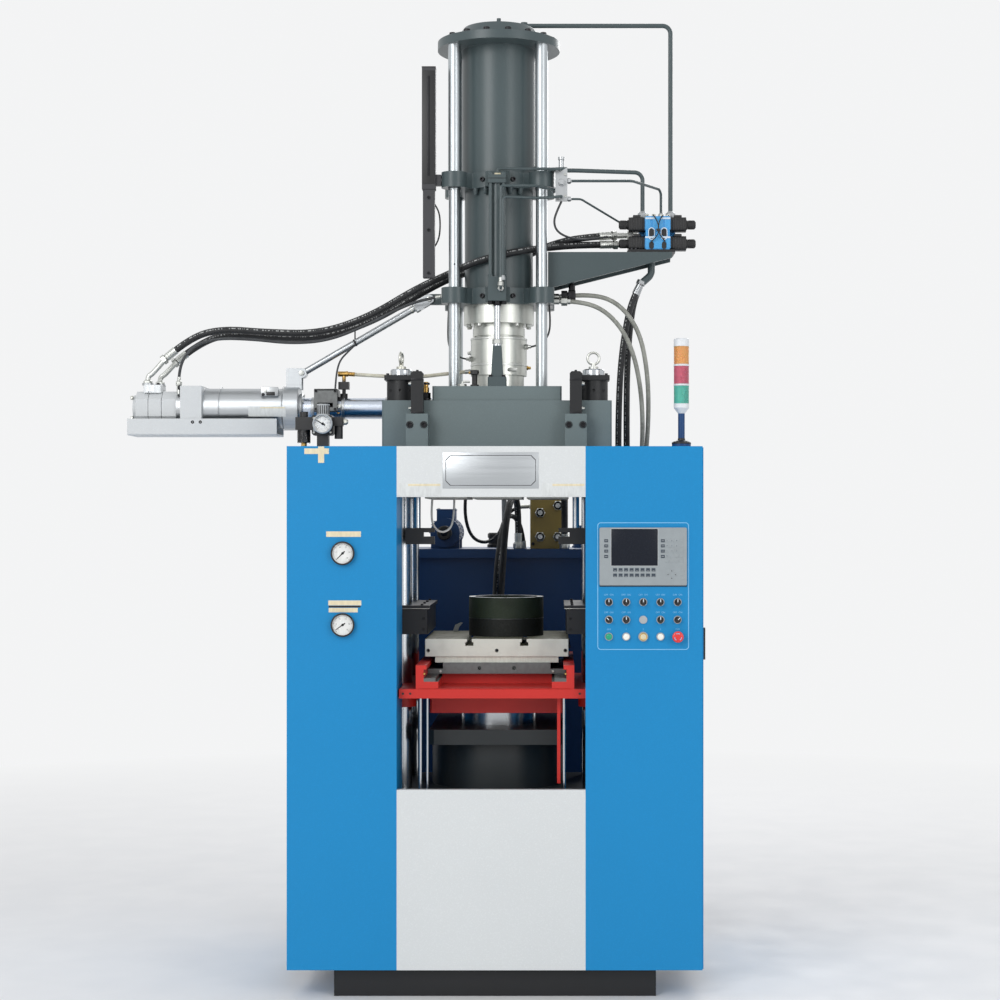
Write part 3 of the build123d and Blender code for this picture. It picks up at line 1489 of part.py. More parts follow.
def feeder_hoses():
    """Two pressure hoses, a drain hose and a temperature hose between the unit and the feeder."""
    solids = []
    for name, points in (("front hose", front_hose_route), ("back hose", back_hose_route)):
        solids.append(hose(name, points, feeder_hose_diameter))
    for route, reach in ((front_hose_route, 70), (back_hose_route, 66)):
        x, y, z = route[-1]
        foot = port_block_top
        points = ((x - 1, y, z - 1), (x - reach, y, foot + 34), (x - reach, y, foot))
        solids.append(thin_pipe(points, 20, 16))
        x, y, z = route[0]
        solids.append(bar_x(x + body_gap, manifold_left, y, z, 24))
    solids.append(hose("drain hose", drain_hose_route, drain_hose_diameter))
    x, y, z = drain_hose_route[0]
    solids.append(post(x, y, feeder_z + gear_flange_diameter / 2 - 18, z, 16))
    solids.append(hose("temperature hose", temperature_hose_route, drain_hose_diameter + 3))
    save("feeder_hoses", *solids)


# Hydraulic power unit and its hoses


def hydraulic_unit():
    """The tank with a tray top, the pump motor, the valve block and a louvred rear door."""
    y0, y1 = power_front, base_rear
    tank_top = power_top - power_lip_height
    tank = block(-power_half_width, power_half_width, y0, y1, base_height, tank_top)
    tank = chamfer(tank.edges().filter_by(Axis.Z), 8)
    tank += block(-power_half_width, power_half_width, y0 - power_lip, y1, tank_top, power_top)
    door = power_half_width - 70
    frame = block(-door, door, y1 - 4, y1, base_height + 80, tank_top - 60)
    frame -= block(-door + 3, door - 3, y1 - 4, y1, base_height + 83, tank_top - 63)
    tank -= frame
    for row in range(louvre_count):
        z = base_height + 200 + row * louvre_pitch
        for x in (-door / 2, door / 2):
            tank -= block(x - 130, x + 130, y1 - 12, y1, z, z + 14)
    motor_z = power_top + motor_diameter / 2 + 4
    motor = bar_y(motor_front, motor_rear, motor_x, motor_z, motor_diameter)
    for step in range(6):
        y = motor_front + 50 + step * 28
        ring = bar_y(y, y + 10, motor_x, motor_z, motor_diameter)
        motor -= ring - bar_y(y, y + 10, motor_x, motor_z, motor_diameter - 16)
    for y in (motor_front + 20, motor_rear - 50):
        motor += block(motor_x - 60, motor_x + 60, y, y + 26, power_top, motor_z - 20)
    box_z = motor_z + motor_diameter / 2 - 14
    motor += block(motor_x - 40, motor_x + 40, motor_front + 90, motor_front + 190, box_z, box_z + 50)
    y0 = valve_block_front
    y1 = y0 + valve_block_depth
    top = power_top + valve_block_height
    valves = block(valve_block_left, valve_block_right, y0, y1, power_top, top)
    valves = chamfer(valves.edges().filter_by(Axis.Z), 4)
    fittings = []
    for x, z in ((150, 50), (224, 50), (150, 150), (224, 180)):
        fittings.append(bar_y(y0 - 34, y0, x, power_top + z, 34))
    save("hydraulic_unit", tank, motor, valves, *fittings)


def rear_hoses():
    """Hoses from the power unit to the clamp cylinder and the upper beam."""
    solids = [hose("clamp hose", clamp_hose_route, rear_hose_diameter)]
    solids.append(hose("beam hose", beam_hose_route, rear_hose_diameter))
    x, y, z = clamp_hose_route[-1]
    inner = clamp_body_diameter / 2 + body_gap
    solids.append(bar_y(inner, y - body_gap, x, z, rear_hose_diameter + 10))
    x, y, z = clamp_hose_route[0]
    solids.append(post(x, y, power_top, z - body_gap, rear_hose_diameter + 8))
    x, y, z = beam_hose_route[-1]
    solids.append(bar_y(beam_half_depth, y - body_gap, x, z, rear_hose_diameter + 8))
    x, y, z = beam_hose_route[0]
    solids.append(post(x, y, power_top, z - body_gap, rear_hose_diameter + 8))
    save("rear_hoses", *solids)


def tank_hoses():
    """Hoses from the moving injection unit down to the tank, in a bundle inside the guard."""
    solids = []
    for place, route in enumerate(tank_hose_routes):
        diameter = tank_hose_diameters[place]
        name = "tank hose " + str(place + 1)
        solids.append(hose(name, route, diameter))
        x, y, z = route[-1]
        solids.append(bar_y(y + body_gap, power_front, x, z, diameter + 8))
    save("tank_hoses", *solids)


# Operator panel, gauges, lights and air service unit


def control_bezels():
    """Rings round each control, a blind plug, and the two pressure gauges' cases."""
    y = enclosure_front
    solids = []
    blank = (control_columns[2], control_rows[1])
    for z in control_rows:
        for x in control_columns:
            large = (x, z) == (control_columns[2], control_rows[2])
            outer = lamp_bezel_diameter if large else bezel_diameter
            ring = prism_y(y - bezel_thickness, y, x, z, outer)
            if (x, z) != blank:
                inner = outer - bezel_diameter + button_diameter + 2 * body_gap
                ring -= prism_y(y - bezel_thickness, y, x, z, inner)
            solids.append(ring)
    for z in gauge_heights:
        solids.append(gauge_case(gauge_x, z, y, gauge_diameter, gauge_depth))
    save("panel_bezels", *solids)


def gauge_case(x, z, back, diameter, depth):
    """A gauge's case: a cup with its dial at the bottom and a hole for the needle's spindle."""
    case = bar_y(back - depth, back, x, z, diameter)
    case -= bar_y(back - depth, back - depth + gauge_recess, x, z, diameter - 2 * gauge_rim)
    spindle = needle_spindle + 2 * running_gap
    return case - bar_y(back - depth, back - 2, x, z, spindle)


def needle(name, x, z, back, depth, angle):
    """A gauge needle on its spindle; the angle is clockwise from straight up, seen from the front."""
    dial = back - depth + gauge_recess
    y1 = dial - body_gap
    y0 = y1 - needle_thickness
    pointer = Polyline(
        (-needle_hub / 4, -needle_length / 3), (-1, needle_length), (1, needle_length),
        (needle_hub / 4, -needle_length / 3), close=True,
    )
    arm = extrude(Plane.XZ.offset(-y0) * make_face(pointer), amount=needle_thickness, dir=(0, 1, 0))
    arm += bar_y(y0 - 1, y1, 0, 0, needle_hub)
    arm += bar_y(y1, y1 + 6, 0, 0, needle_spindle)
    save(name, Pos(x, 0, z) * Rot(0, angle, 0) * arm)


def push_button(name, column, row, head, height):
    """A push button: its stem passes the panel and its head stands in the bezel."""
    x, z = control_columns[column], control_rows[row]
    y = enclosure_front - body_gap - button_travel
    mushroom = head == stop_head_diameter
    button = bar_y(y - height, y, x, z, button_diameter if mushroom else head)
    if mushroom:
        button += bar_y(y - height - stop_head_height, y - height, x, z, head)
        button = chamfer(button.edges().group_by(Axis.Y)[0], 3)
    button += bar_y(y, enclosure_front + button_stem_length, x, z, button_stem)
    save(name, button)


def selector(name, column, row, angle):
    """A selector switch with a bar knob, turned clockwise from straight up."""
    y = enclosure_front - body_gap
    knob = prism_y(y - bezel_thickness - 2, y, 0, 0, button_diameter)
    bottom = y - bezel_thickness - 2
    bar = block(
        -knob_width / 2, knob_width / 2, bottom - knob_height, bottom,
        -knob_length / 2, knob_length / 2,
    )
    knob += bar
    knob += prism_y(y, enclosure_front + button_stem_length, 0, 0, button_stem - 2)
    x, z = control_columns[column], control_rows[row]
    save(name, Pos(x, 0, z) * Rot(0, angle, 0) * knob)


def hmi_unit():
    """The operator display: a flat housing with a recessed screen and a raised key field."""
    y = enclosure_front
    front = y - hmi_thickness
    unit = block(hmi_left, hmi_right, front, y, hmi_bottom, hmi_top)
    unit = fillet(unit.edges().filter_by(Axis.Y), 6)
    unit = chamfer(unit.edges().group_by(Axis.Y)[0], 1.5)
    unit -= block(hmi_screen_left, hmi_screen_right, front, front + 2, hmi_screen_bottom, hmi_screen_top)
    save("hmi_unit", unit)


def tower_light():
    """The signal tower: foot, pole, three lenses and a cap."""
    x, y = tower_x, tower_y
    z = enclosure_top
    bottom = tower_lamp_bottom
    pole = post(x, y, z, z + 12, tower_foot_diameter) + post(x, y, z, bottom - 14, tower_pole_diameter)
    pole += cone(x, y, bottom - 34, bottom - 14, tower_pole_diameter, tower_diameter)
    pole += post(x, y, bottom - 14, bottom, tower_diameter)
    solids = [pole]
    for lens in range(3):
        top = bottom + tower_lamp_height
        solids.append(post(x, y, bottom, top, tower_diameter - 1))
        if lens < 2:
            solids.append(post(x, y, top, top + tower_lamp_gap, tower_diameter))
        bottom = top + tower_lamp_gap
    bottom -= tower_lamp_gap
    cap = post(x, y, bottom, bottom + tower_cap_height, tower_diameter)
    solids.append(chamfer(cap.edges().group_by(Axis.Z)[-1], 5))
    save("tower_light", *solids)


def air_regulator():
    """The air service unit: a filter with a bowl, a regulator with its gauge, and a lubricator."""
    x, y, z = regulator_x, regulator_y, enclosure_top
    body = block(x - 42, x + 34, y - 32, y + 32, z + 46, z + 118)
    body = chamfer(body.edges().filter_by(Axis.Y), 6)
    body += post(x - 4, y, z + 118, z + 160, 46)
    body += block(x - 24, x + 16, y - 26, y + 26, z, z + 46)
    filter_x = x - 74
    unit = post(filter_x, y, z + 20, z + 84, 46)
    unit += block(filter_x - 28, x - 42, y - 26, y + 26, z + 66, z + 112)
    unit += post(filter_x, y, z + 112, z + 132, 30)
    body += unit
    body += post(x + 52, y, z + 34, z + 90, 30) + block(x + 30, x + 68, y - 20, y + 20, z + 80, z + 112)
    body += bar_y(y - 44, y - 32, x, regulator_gauge_z, 26)
    case = gauge_case(x, regulator_gauge_z, y - 44, regulator_gauge_diameter, gauge_depth)
    save("air_regulator", body, case)


if __name__ == "__main__":
    base_frame()
    lower_beam()
    tie_bars()
    tie_bar_nuts()
    upper_beam()
    upper_platen()
    left_cabinet()
    right_cabinet()
    front_panels()
    cabinet_door()
    door_handle()
    clamp_ram()
    moving_platen()
    carriage()
    lower_platen()
    mould()
    upper_ejector_cylinders()
    upper_hook("left_upper_hook", -1)
    upper_hook("right_upper_hook", 1)
    lower_ejector("left_lower_ejector", -1)
    lower_ejector("right_lower_ejector", 1)
    guide_columns()
    injection_cylinder()
    injection_plunger()
    injection_yokes()
    lift_cylinder()
    lift_rod()
    injection_barrel()
    directional_valves()
    steel_pipes()
    feeder_body()
    feeder_motor()
    feeder_tray()
    feed_screw()
    sensor_post()
    feeder_hoses()
    hydraulic_unit()
    rear_hoses()
    tank_hoses()
    control_bezels()
    hmi_unit()
    tower_light()
    air_regulator()
    push_button("start_button", 0, 2, button_diameter, button_height)
    push_button("reset_button", 1, 2, button_diameter, button_height)
    push_button("lamp_button", 2, 2, button_diameter + 6, button_height)
    push_button("cycle_button", 3, 2, button_diameter, button_height)
    push_button("emergency_stop", 4, 2, stop_head_diameter, button_height)
    for column in range(5):
        selector("top_selector_" + str(column + 1), column, 0, 0)
    selector("lower_selector_1", 0, 1, -45)
    selector("lower_selector_2", 1, 1, 0)
    selector("lower_selector_3", 3, 1, 0)
    selector("lower_selector_4", 4, 1, 45)
    needle("upper_gauge_needle", gauge_x, gauge_heights[0], enclosure_front, gauge_depth, 225)
    needle("lower_gauge_needle", gauge_x, gauge_heights[1], enclosure_front, gauge_depth, 235)
    needle(
        "air_gauge_needle", regulator_x, regulator_gauge_z, regulator_y - 44, gauge_depth, 300
    )
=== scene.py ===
import math

import bmesh
import bpy
from mathutils import Matrix, Vector


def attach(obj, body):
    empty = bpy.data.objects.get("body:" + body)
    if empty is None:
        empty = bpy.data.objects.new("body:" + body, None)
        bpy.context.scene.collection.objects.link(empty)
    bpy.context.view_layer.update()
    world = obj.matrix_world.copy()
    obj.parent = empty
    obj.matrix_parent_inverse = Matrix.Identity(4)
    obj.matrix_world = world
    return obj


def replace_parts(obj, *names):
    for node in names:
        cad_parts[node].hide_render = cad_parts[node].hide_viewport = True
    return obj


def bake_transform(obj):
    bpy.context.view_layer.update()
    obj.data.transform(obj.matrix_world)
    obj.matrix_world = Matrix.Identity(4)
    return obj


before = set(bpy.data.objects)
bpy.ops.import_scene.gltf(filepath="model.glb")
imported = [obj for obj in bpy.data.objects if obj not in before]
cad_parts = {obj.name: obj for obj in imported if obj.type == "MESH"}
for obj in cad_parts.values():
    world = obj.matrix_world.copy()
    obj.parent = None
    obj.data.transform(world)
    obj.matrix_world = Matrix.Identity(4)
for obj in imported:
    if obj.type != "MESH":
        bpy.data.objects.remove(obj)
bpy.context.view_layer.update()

# Sizes and places, in metres, in the part's own frame
panel_front = -0.51
control_columns = (0.402, 0.463, 0.523, 0.5835, 0.644)
control_rows = (1.396, 1.334, 1.2745)
gauge_x = -0.534
gauge_heights = (1.568, 1.316)
gauge_dial = -0.518
gauge_radius = 0.037
air_gauge = (-0.624, -0.352, 2.031)
air_gauge_radius = 0.031
display_front = -0.519
tower_axis = (0.665, -0.391)
beam_top = 2.122
raised_top = 2.175
lift_y = -0.2
feeder_z = 2.1055
lower_yoke = (2.488, 2.547)
upper_yoke = (2.918, 2.975)
flange_top = 3.484
mount_x = 0.288
mount_front = -0.312
valve_left, valve_right = 0.549, 0.645
valve_front, valve_back = -0.07, 0.024
valve_levels = ((2.698, 2.751), (2.769, 2.822))
manifold_top = 2.828
tank_top, tank_rear = 1.564, 1.29
tie_bar_x, tie_bar_y = 0.354, 0.185
column_x, column_y = 0.162, 0.12
yoke_radius, cylinder_radius = 0.14, 0.15

# Directions, and the signs of the four corners round a middle
upward, downward = (0, 0, 1), (0, 0, -1)
forward, backward = (0, -1, 0), (0, 1, 0)
rightward, leftward = (1, 0, 0), (-1, 0, 0)
four_signs = ((-1, -1), (-1, 1), (1, -1), (1, 1))

# Hose routes, the control points of their smooth centre lines
front_hose_route = (
    (0.43, 0.044, 2.731), (0.3, 0.014, 2.726), (0.174, -0.03, 2.708), (0.075, -0.15, 2.68),
    (-0.075, -0.15, 2.645), (-0.172, -0.03, 2.617), (-0.31, -0.03, 2.556), (-0.48, -0.03, 2.452),
    (-0.67, -0.03, 2.386), (-0.87, -0.03, 2.39), (-1.04, -0.03, 2.404), (-1.16, -0.03, 2.372),
    (-1.25, -0.03, 2.295),
)
back_hose_route = (
    (0.425, 0.044, 2.765), (0.3, -0.002, 2.752), (0.174, 0.033, 2.722), (0.075, 0.15, 2.686),
    (-0.075, 0.15, 2.646), (-0.172, 0.03, 2.61), (-0.31, 0.03, 2.536), (-0.48, 0.03, 2.436),
    (-0.67, 0.03, 2.374), (-0.85, 0.03, 2.376), (-1.01, 0.03, 2.392), (-1.13, 0.03, 2.362),
    (-1.22, 0.03, 2.288),
)
drain_hose_route = (
    (-1.198, -0.056, 2.2), (-1.198, -0.056, 2.262), (-1.15, -0.058, 2.336), (-1.06, -0.058, 2.366),
    (-0.92, -0.058, 2.362), (-0.78, -0.058, 2.346), (-0.64, -0.058, 2.356), (-0.5, -0.058, 2.412),
    (-0.38, -0.06, 2.474), (-0.29, -0.072, 2.508), (-0.213, -0.1, 2.518),
)
temperature_hose_route = (
    (-0.568, 0.0, 2.236), (-0.45, 0.0, 2.228), (-0.31, 0.004, 2.224), (-0.19, 0.002, 2.238),
    (-0.107, 0.0, 2.246),
)
tank_hose_routes = (
    (
        (0.534, 0.006, 2.574), (0.508, 0.006, 2.525), (0.482, 0.006, 2.43), (0.46, 0.006, 2.27),
        (0.452, 0.006, 2.07), (0.452, 0.016, 1.86), (0.458, 0.11, 1.66), (0.456, 0.29, 1.52),
        (0.446, 0.48, 1.45), (0.436, 0.61, 1.434), (0.432, 0.7, 1.43),
    ),
    (
        (0.534, 0.042, 2.574), (0.514, 0.043, 2.525), (0.498, 0.044, 2.43), (0.486, 0.044, 2.27),
        (0.484, 0.046, 2.07), (0.486, 0.06, 1.86), (0.49, 0.15, 1.665), (0.484, 0.32, 1.53),
        (0.47, 0.5, 1.462), (0.464, 0.61, 1.444), (0.46, 0.7, 1.442),
    ),
    (
        (0.23, -0.026, 2.508), (0.33, -0.03, 2.508), (0.43, -0.044, 2.45), (0.5, -0.046, 2.34),
        (0.536, -0.044, 2.18), (0.544, -0.034, 2.0), (0.53, 0.012, 1.82), (0.52, 0.13, 1.655),
        (0.506, 0.3, 1.585), (0.456, 0.48, 1.515), (0.41, 0.6, 1.478), (0.398, 0.7, 1.47),
    ),
    (
        (0.23, 0.004, 2.528), (0.34, -0.004, 2.54), (0.45, -0.02, 2.506), (0.53, -0.022, 2.4),
        (0.562, -0.02, 2.24), (0.566, -0.01, 2.06), (0.552, 0.03, 1.88), (0.542, 0.14, 1.71),
        (0.528, 0.3, 1.625), (0.484, 0.48, 1.548), (0.448, 0.6, 1.51), (0.436, 0.7, 1.5),
    ),
)
clamp_hose_route = (
    (0.06, 0.72, 1.594), (0.06, 0.72, 1.672), (0.057, 0.68, 1.742), (0.05, 0.61, 1.783),
    (0.04, 0.529, 1.783), (0.028, 0.459, 1.742), (0.016, 0.418, 1.672), (0.004, 0.42, 1.52),
    (-0.006, 0.43, 1.352), (-0.012, 0.446, 1.184), (-0.016, 0.453, 1.04), (-0.019, 0.456, 0.917),
    (-0.02, 0.416, 0.847), (-0.02, 0.346, 0.806), (-0.02, 0.266, 0.806),
)
interior_routes = (
    (
        "valve_conduit",
        (
            (0.0, 0.84, 1.568), (0.0, 0.84, 1.65), (-0.002, 0.835, 1.78), (-0.004, 0.76, 1.9),
            (-0.008, 0.6, 1.96), (-0.01, 0.42, 1.975), (-0.01, 0.262, 1.975),
        ),
        0.022, "conduit",
    ),
    (
        "return_hose",
        (
            (0.1, 0.85, 1.74), (0.046, 0.85, 1.74), (-0.002, 0.846, 1.69), (-0.022, 0.84, 1.622),
            (-0.076, 0.828, 1.584), (-0.136, 0.806, 1.606), (-0.164, 0.766, 1.69), (-0.158, 0.7, 1.8),
            (-0.132, 0.56, 1.916), (-0.108, 0.4, 1.96), (-0.098, 0.262, 1.96),
        ),
        0.014, "hose",
    ),
    (
        "suction_hose",
        (
            (0.08, 0.8, 1.568), (0.078, 0.79, 1.62), (0.052, 0.72, 1.7), (0.01, 0.56, 1.7),
            (-0.018, 0.45, 1.56), (-0.03, 0.42, 1.36), (-0.034, 0.42, 1.16), (-0.046, 0.42, 1.0),
            (-0.052, 0.38, 0.9), (-0.052, 0.31, 0.87), (-0.052, 0.262, 0.87),
        ),
        0.02, "hose",
    ),
    (
        "platen_lead",
        (
            (-0.236, -0.236, 1.764), (-0.24, -0.24, 1.72), (-0.236, -0.24, 1.664), (-0.206, -0.222, 1.636),
            (-0.17, -0.19, 1.652), (-0.16, -0.168, 1.71), (-0.16, -0.16, 1.764),
        ),
        0.008, "white_lead",
    ),
)
beam_hose_route = (
    (0.252, 0.72, 1.594), (0.252, 0.702, 1.69), (0.25, 0.625, 1.785), (0.246, 0.5, 1.85),
    (0.238, 0.38, 1.9), (0.23, 0.29, 1.944),
)


# Materials


def seen(red, green, blue):
    """A colour as the eye reads it, in steps of 255, as the linear values that a shader takes."""
    parts = [value / 255 for value in (red, green, blue)]
    return tuple(p / 12.92 if p <= 0.04045 else ((p + 0.055) / 1.055) ** 2.4 for p in parts)


def shade(colour, factor):
    """A lighter or darker form of a colour."""
    return tuple(min(1.0, part * factor) for part in colour)


class Finish:
    """A material in the making: its shader, and short ways to add texture nodes."""

    def __init__(self, name, **values):
        self.material = bpy.data.materials.new(name)
        self.material.use_nodes = True
        self.nodes = self.material.node_tree.nodes
        self.links = self.material.node_tree.links
        self.shader = self.nodes["Principled BSDF"]
        self.place = self.nodes.new("ShaderNodeTexCoord").outputs["Object"]
        self.constant(values)

    def constant(self, values):
        """Sets the shader's own sockets; the underscores in a name stand for spaces."""
        for name, value in values.items():
            self.shader.inputs[name.replace("_", " ")].default_value = value

    def noise(self, scale, detail=3.0, stretch=None, place=None):
        """A noise over the piece, drawn out along an axis if stretch says so."""
        place = place or self.place
        if stretch:
            mapping = self.nodes.new("ShaderNodeMapping")
            mapping.inputs["Scale"].default_value = stretch
            self.links.new(place, mapping.inputs["Vector"])
            place = mapping.outputs["Vector"]
        noise = self.nodes.new("ShaderNodeTexNoise")
        noise.inputs["Scale"].default_value = scale
        noise.inputs["Detail"].default_value = detail
        self.links.new(place, noise.inputs["Vector"])
        return noise.outputs[0]

    def spread(self, factor, low, high, start=0.35, end=0.65):
        """Maps a factor between start and end to a value between low and high."""
        node = self.nodes.new("ShaderNodeMapRange")
        for name, value in (("From Min", start), ("From Max", end), ("To Min", low), ("To Max", high)):
            node.inputs[name].default_value = value
        self.links.new(factor, node.inputs["Value"])
        return node.outputs[0]

    def combine(self, kind, first, second):
        """A sum, product or greatest of two factors."""
        node = self.nodes.new("ShaderNodeMath")
        node.operation = kind
        for value, socket in ((first, node.inputs[0]), (second, node.inputs[1])):
            if isinstance(value, (int, float)):
                socket.default_value = value
            else:
                self.links.new(value, socket)
        return node.outputs[0]

    def mixed(self, factor, first, second):
        """A colour between two others, each a colour or a node's output."""
        node = self.nodes.new("ShaderNodeMix")
        node.data_type = "RGBA"
        self.links.new(factor, node.inputs[0])
        for value, socket in ((first, node.inputs[6]), (second, node.inputs[7])):
            if isinstance(value, tuple):
                socket.default_value = (*value[:3], 1)
            else:
                self.links.new(value, socket)
        return node.outputs[2]

    def axis(self, name, place=None):
        """One coordinate of the place."""
        split = self.nodes.new("ShaderNodeSeparateXYZ")
        self.links.new(place or self.place, split.inputs[0])
        return split.outputs[name]

    def facing_up(self):
        """1 on faces that look up, 0 on the others."""
        geometry = self.nodes.new("ShaderNodeNewGeometry")
        return self.spread(self.axis("Z", geometry.outputs["Normal"]), 0, 1, 0.5, 0.9)

    def rounded(self, radius):
        """The normal with each edge rounded to that radius."""
        bevel = self.nodes.new("ShaderNodeBevel")
        bevel.samples = 4
        bevel.inputs["Radius"].default_value = radius
        return bevel.outputs["Normal"]

    def edges(self, normal):
        """1 on the edges that a rounded normal finds, 0 on the flats."""
        geometry = self.nodes.new("ShaderNodeNewGeometry")
        product = self.nodes.new("ShaderNodeVectorMath")
        product.operation = "DOT_PRODUCT"
        self.links.new(normal, product.inputs[0])
        self.links.new(geometry.outputs["Normal"], product.inputs[1])
        return self.spread(product.outputs["Value"], 1, 0, 0.8, 0.97)

    def bump(self, height, distance, normal=None, strength=1.0):
        """A surface relief of that depth in metres."""
        node = self.nodes.new("ShaderNodeBump")
        node.inputs["Strength"].default_value = strength
        node.inputs["Distance"].default_value = distance
        self.links.new(height, node.inputs["Height"])
        if normal:
            self.links.new(normal, node.inputs["Normal"])
        return node.outputs["Normal"]

    def finish(self, colour=None, roughness=None, normal=None):
        """Joins the outputs to the shader and returns the material."""
        for value, name in ((colour, "Base Color"), (roughness, "Roughness"), (normal, "Normal")):
            if value is not None:
                self.links.new(value, self.shader.inputs[name])
        return self.material


def painted(name, colour, shine, grain=0.00012, dust=0.25, chips=None, gloss=0.4):
    """Sprayed paint on metal: a fine orange peel, soft dirt, and chipped edges, or else edges lightened
    evenly as thin paint and as a painted highlight.
    """
    finish = Finish(name, Specular_IOR_Level=gloss)
    broad = finish.noise(2.0, 3)
    body = finish.mixed(finish.spread(broad, 0, dust, 0.4, 0.75), colour, shade(colour, 0.72))
    specks = finish.noise(240, 2)
    body = finish.mixed(finish.spread(specks, 0, 0.3, 0.52, 0.72), body, shade(colour, 1.22))
    normal = finish.rounded(0.0015)
    edge = finish.edges(normal)
    if chips:
        worn = finish.combine("MULTIPLY", edge, finish.spread(finish.noise(38, 4), 0, 1, 0.5, 0.58))
        body = finish.mixed(worn, body, chips)
    else:
        # Without chips every edge is lightened evenly: partly thin paint, partly a painted highlight.
        body = finish.mixed(finish.combine("MULTIPLY", edge, 0.35), body, shade(colour, 1.35))
    roughness = finish.spread(finish.noise(3, 3), shine - 0.02, shine + 0.05)
    peel = finish.bump(finish.noise(330, 2), grain, normal)
    return finish.finish(body, roughness, peel)


def metal(name, colour, shine, stretch=(1, 1, 1), scale=60, marks=0.25, relief=0.00003, stain=None):
    """Bare metal with machining marks drawn out along one axis, and faint stains."""
    finish = Finish(name, Metallic=1.0)
    lines = finish.noise(scale, 4, stretch)
    cloud = finish.noise(6, 4)
    body = finish.mixed(finish.spread(lines, 0, marks), colour, shade(colour, 0.7))
    body = finish.mixed(finish.spread(cloud, 0, 0.5, 0.5, 0.8), body, stain or shade(colour, 0.82))
    roughness = finish.spread(lines, shine - 0.06, shine + 0.1)
    normal = finish.bump(lines, relief, finish.rounded(0.001), 0.5)
    return finish.finish(body, roughness, normal)


def cast(name, colour, shine):
    """Cast iron with a sandy skin, darker in its hollows."""
    finish = Finish(name, Metallic=0.35)
    sand = finish.noise(160, 5)
    broad = finish.noise(9, 5)
    body = finish.mixed(finish.spread(broad, 0, 0.8), colour, shade(colour, 0.55))
    body = finish.mixed(finish.spread(sand, 0, 0.4, 0.5, 0.7), body, shade(colour, 1.7))
    return finish.finish(body, finish.spread(sand, shine, shine + 0.2), finish.bump(sand, 0.0004))


def plastic(name, colour, shine, grain=0.00008, gloss=0.5):
    """Moulded plastic with a fine spark-eroded grain."""
    finish = Finish(name, Specular_IOR_Level=gloss)
    grains = finish.noise(520, 2)
    cloud = finish.noise(30, 3)
    body = finish.mixed(finish.spread(cloud, 0, 0.35), colour, shade(colour, 0.82))
    body = finish.mixed(finish.spread(grains, 0, 0.25, 0.5, 0.7), body, shade(colour, 1.25))
    roughness = finish.spread(grains, shine, shine + 0.12)
    return finish.finish(body, roughness, finish.bump(grains, grain, finish.rounded(0.0006)))


def rubber(name, colour, stripe=None):
    """A hose cover: cloth-wrapped rubber with a spiral lay, and a broken ink line where it has one."""
    finish = Finish(name)
    uv = finish.nodes.new("ShaderNodeUVMap").outputs["UV"]
    length, turn = finish.axis("X", uv), finish.axis("Y", uv)
    # Radians for each metre of length and for one turn round the hose, of the lay and of the cloth.
    lay_length, lay_turn, cloth_length, cloth_turn = 5600, 6.2832, 2600, 75.4
    along = finish.combine("MULTIPLY", length, lay_length)
    lay = finish.combine("ADD", along, finish.combine("MULTIPLY", turn, lay_turn))
    weave = finish.combine("SINE", lay, 0)
    along = finish.combine("MULTIPLY", length, cloth_length)
    cross = finish.combine("SUBTRACT", along, finish.combine("MULTIPLY", turn, cloth_turn))
    cloth = finish.combine("MULTIPLY", weave, finish.combine("SINE", cross, 0))
    body = finish.mixed(finish.spread(finish.noise(14, 4), 0, 0.7), colour, shade(colour, 1.9))
    body = finish.mixed(finish.spread(finish.noise(120, 3), 0, 0.25, 0.5, 0.75), body, shade(colour, 3.0))
    if stripe:
        beside = finish.combine("ABSOLUTE", finish.combine("SUBTRACT", turn, 0.57), 0)
        inside = finish.spread(beside, 1, 0, 0.022, 0.03)
        dashes = finish.spread(finish.noise(140, 2, (1, 0.01, 1), uv), 0, 1, 0.5, 0.54)
        ink = finish.combine("MULTIPLY", finish.combine("MULTIPLY", inside, dashes), 0.75)
        body = finish.mixed(ink, body, stripe)
    roughness = finish.spread(finish.noise(40, 3), 0.36, 0.56)
    return finish.finish(body, roughness, finish.bump(cloth, 0.00022))


def steel_turned(name, colour, shine, axis):
    """Bright turned or ground bar: fine rings round its axis and long soft streaks along it."""
    along = tuple(0.02 if place == axis else 1 for place in "XYZ")
    rings = tuple(1 if place == axis else 0.02 for place in "XYZ")
    finish = Finish(name, Metallic=1.0)
    streaks = finish.noise(26, 3, along)
    turning = finish.noise(300, 2, rings)
    film = finish.noise(5, 4)
    body = finish.mixed(finish.spread(streaks, 0, 0.3), colour, shade(colour, 0.78))
    body = finish.mixed(finish.spread(turning, 0, 0.35), body, shade(colour, 0.86))
    body = finish.mixed(finish.spread(film, 0, 0.25, 0.5, 0.8), body, shade(colour, 0.84))
    roughness = finish.spread(film, shine - 0.02, shine + 0.05)
    return finish.finish(body, roughness)


def ground_plate(name, colour, top, shine):
    """A painted or ground plate whose upper face is stained by heat and rubber."""
    finish = Finish(name, Metallic=0.25)
    stain = finish.noise(22, 5)
    marks = finish.noise(70, 4, (1, 0.05, 1))
    side = finish.mixed(finish.spread(stain, 0, 0.3, 0.45, 0.75), colour, shade(colour, 0.72))
    upper = finish.mixed(finish.spread(stain, 0, 0.9), top, shade(top, 0.55))
    upper = finish.mixed(finish.spread(marks, 0, 0.4), upper, shade(top, 1.3))
    body = finish.mixed(finish.facing_up(), side, upper)
    normal = finish.rounded(0.0012)
    body = finish.mixed(finish.combine("MULTIPLY", finish.edges(normal), 0.6), body, shade(colour, 0.55))
    return finish.finish(body, finish.spread(stain, shine, shine + 0.2), finish.bump(marks, 0.00006, normal))


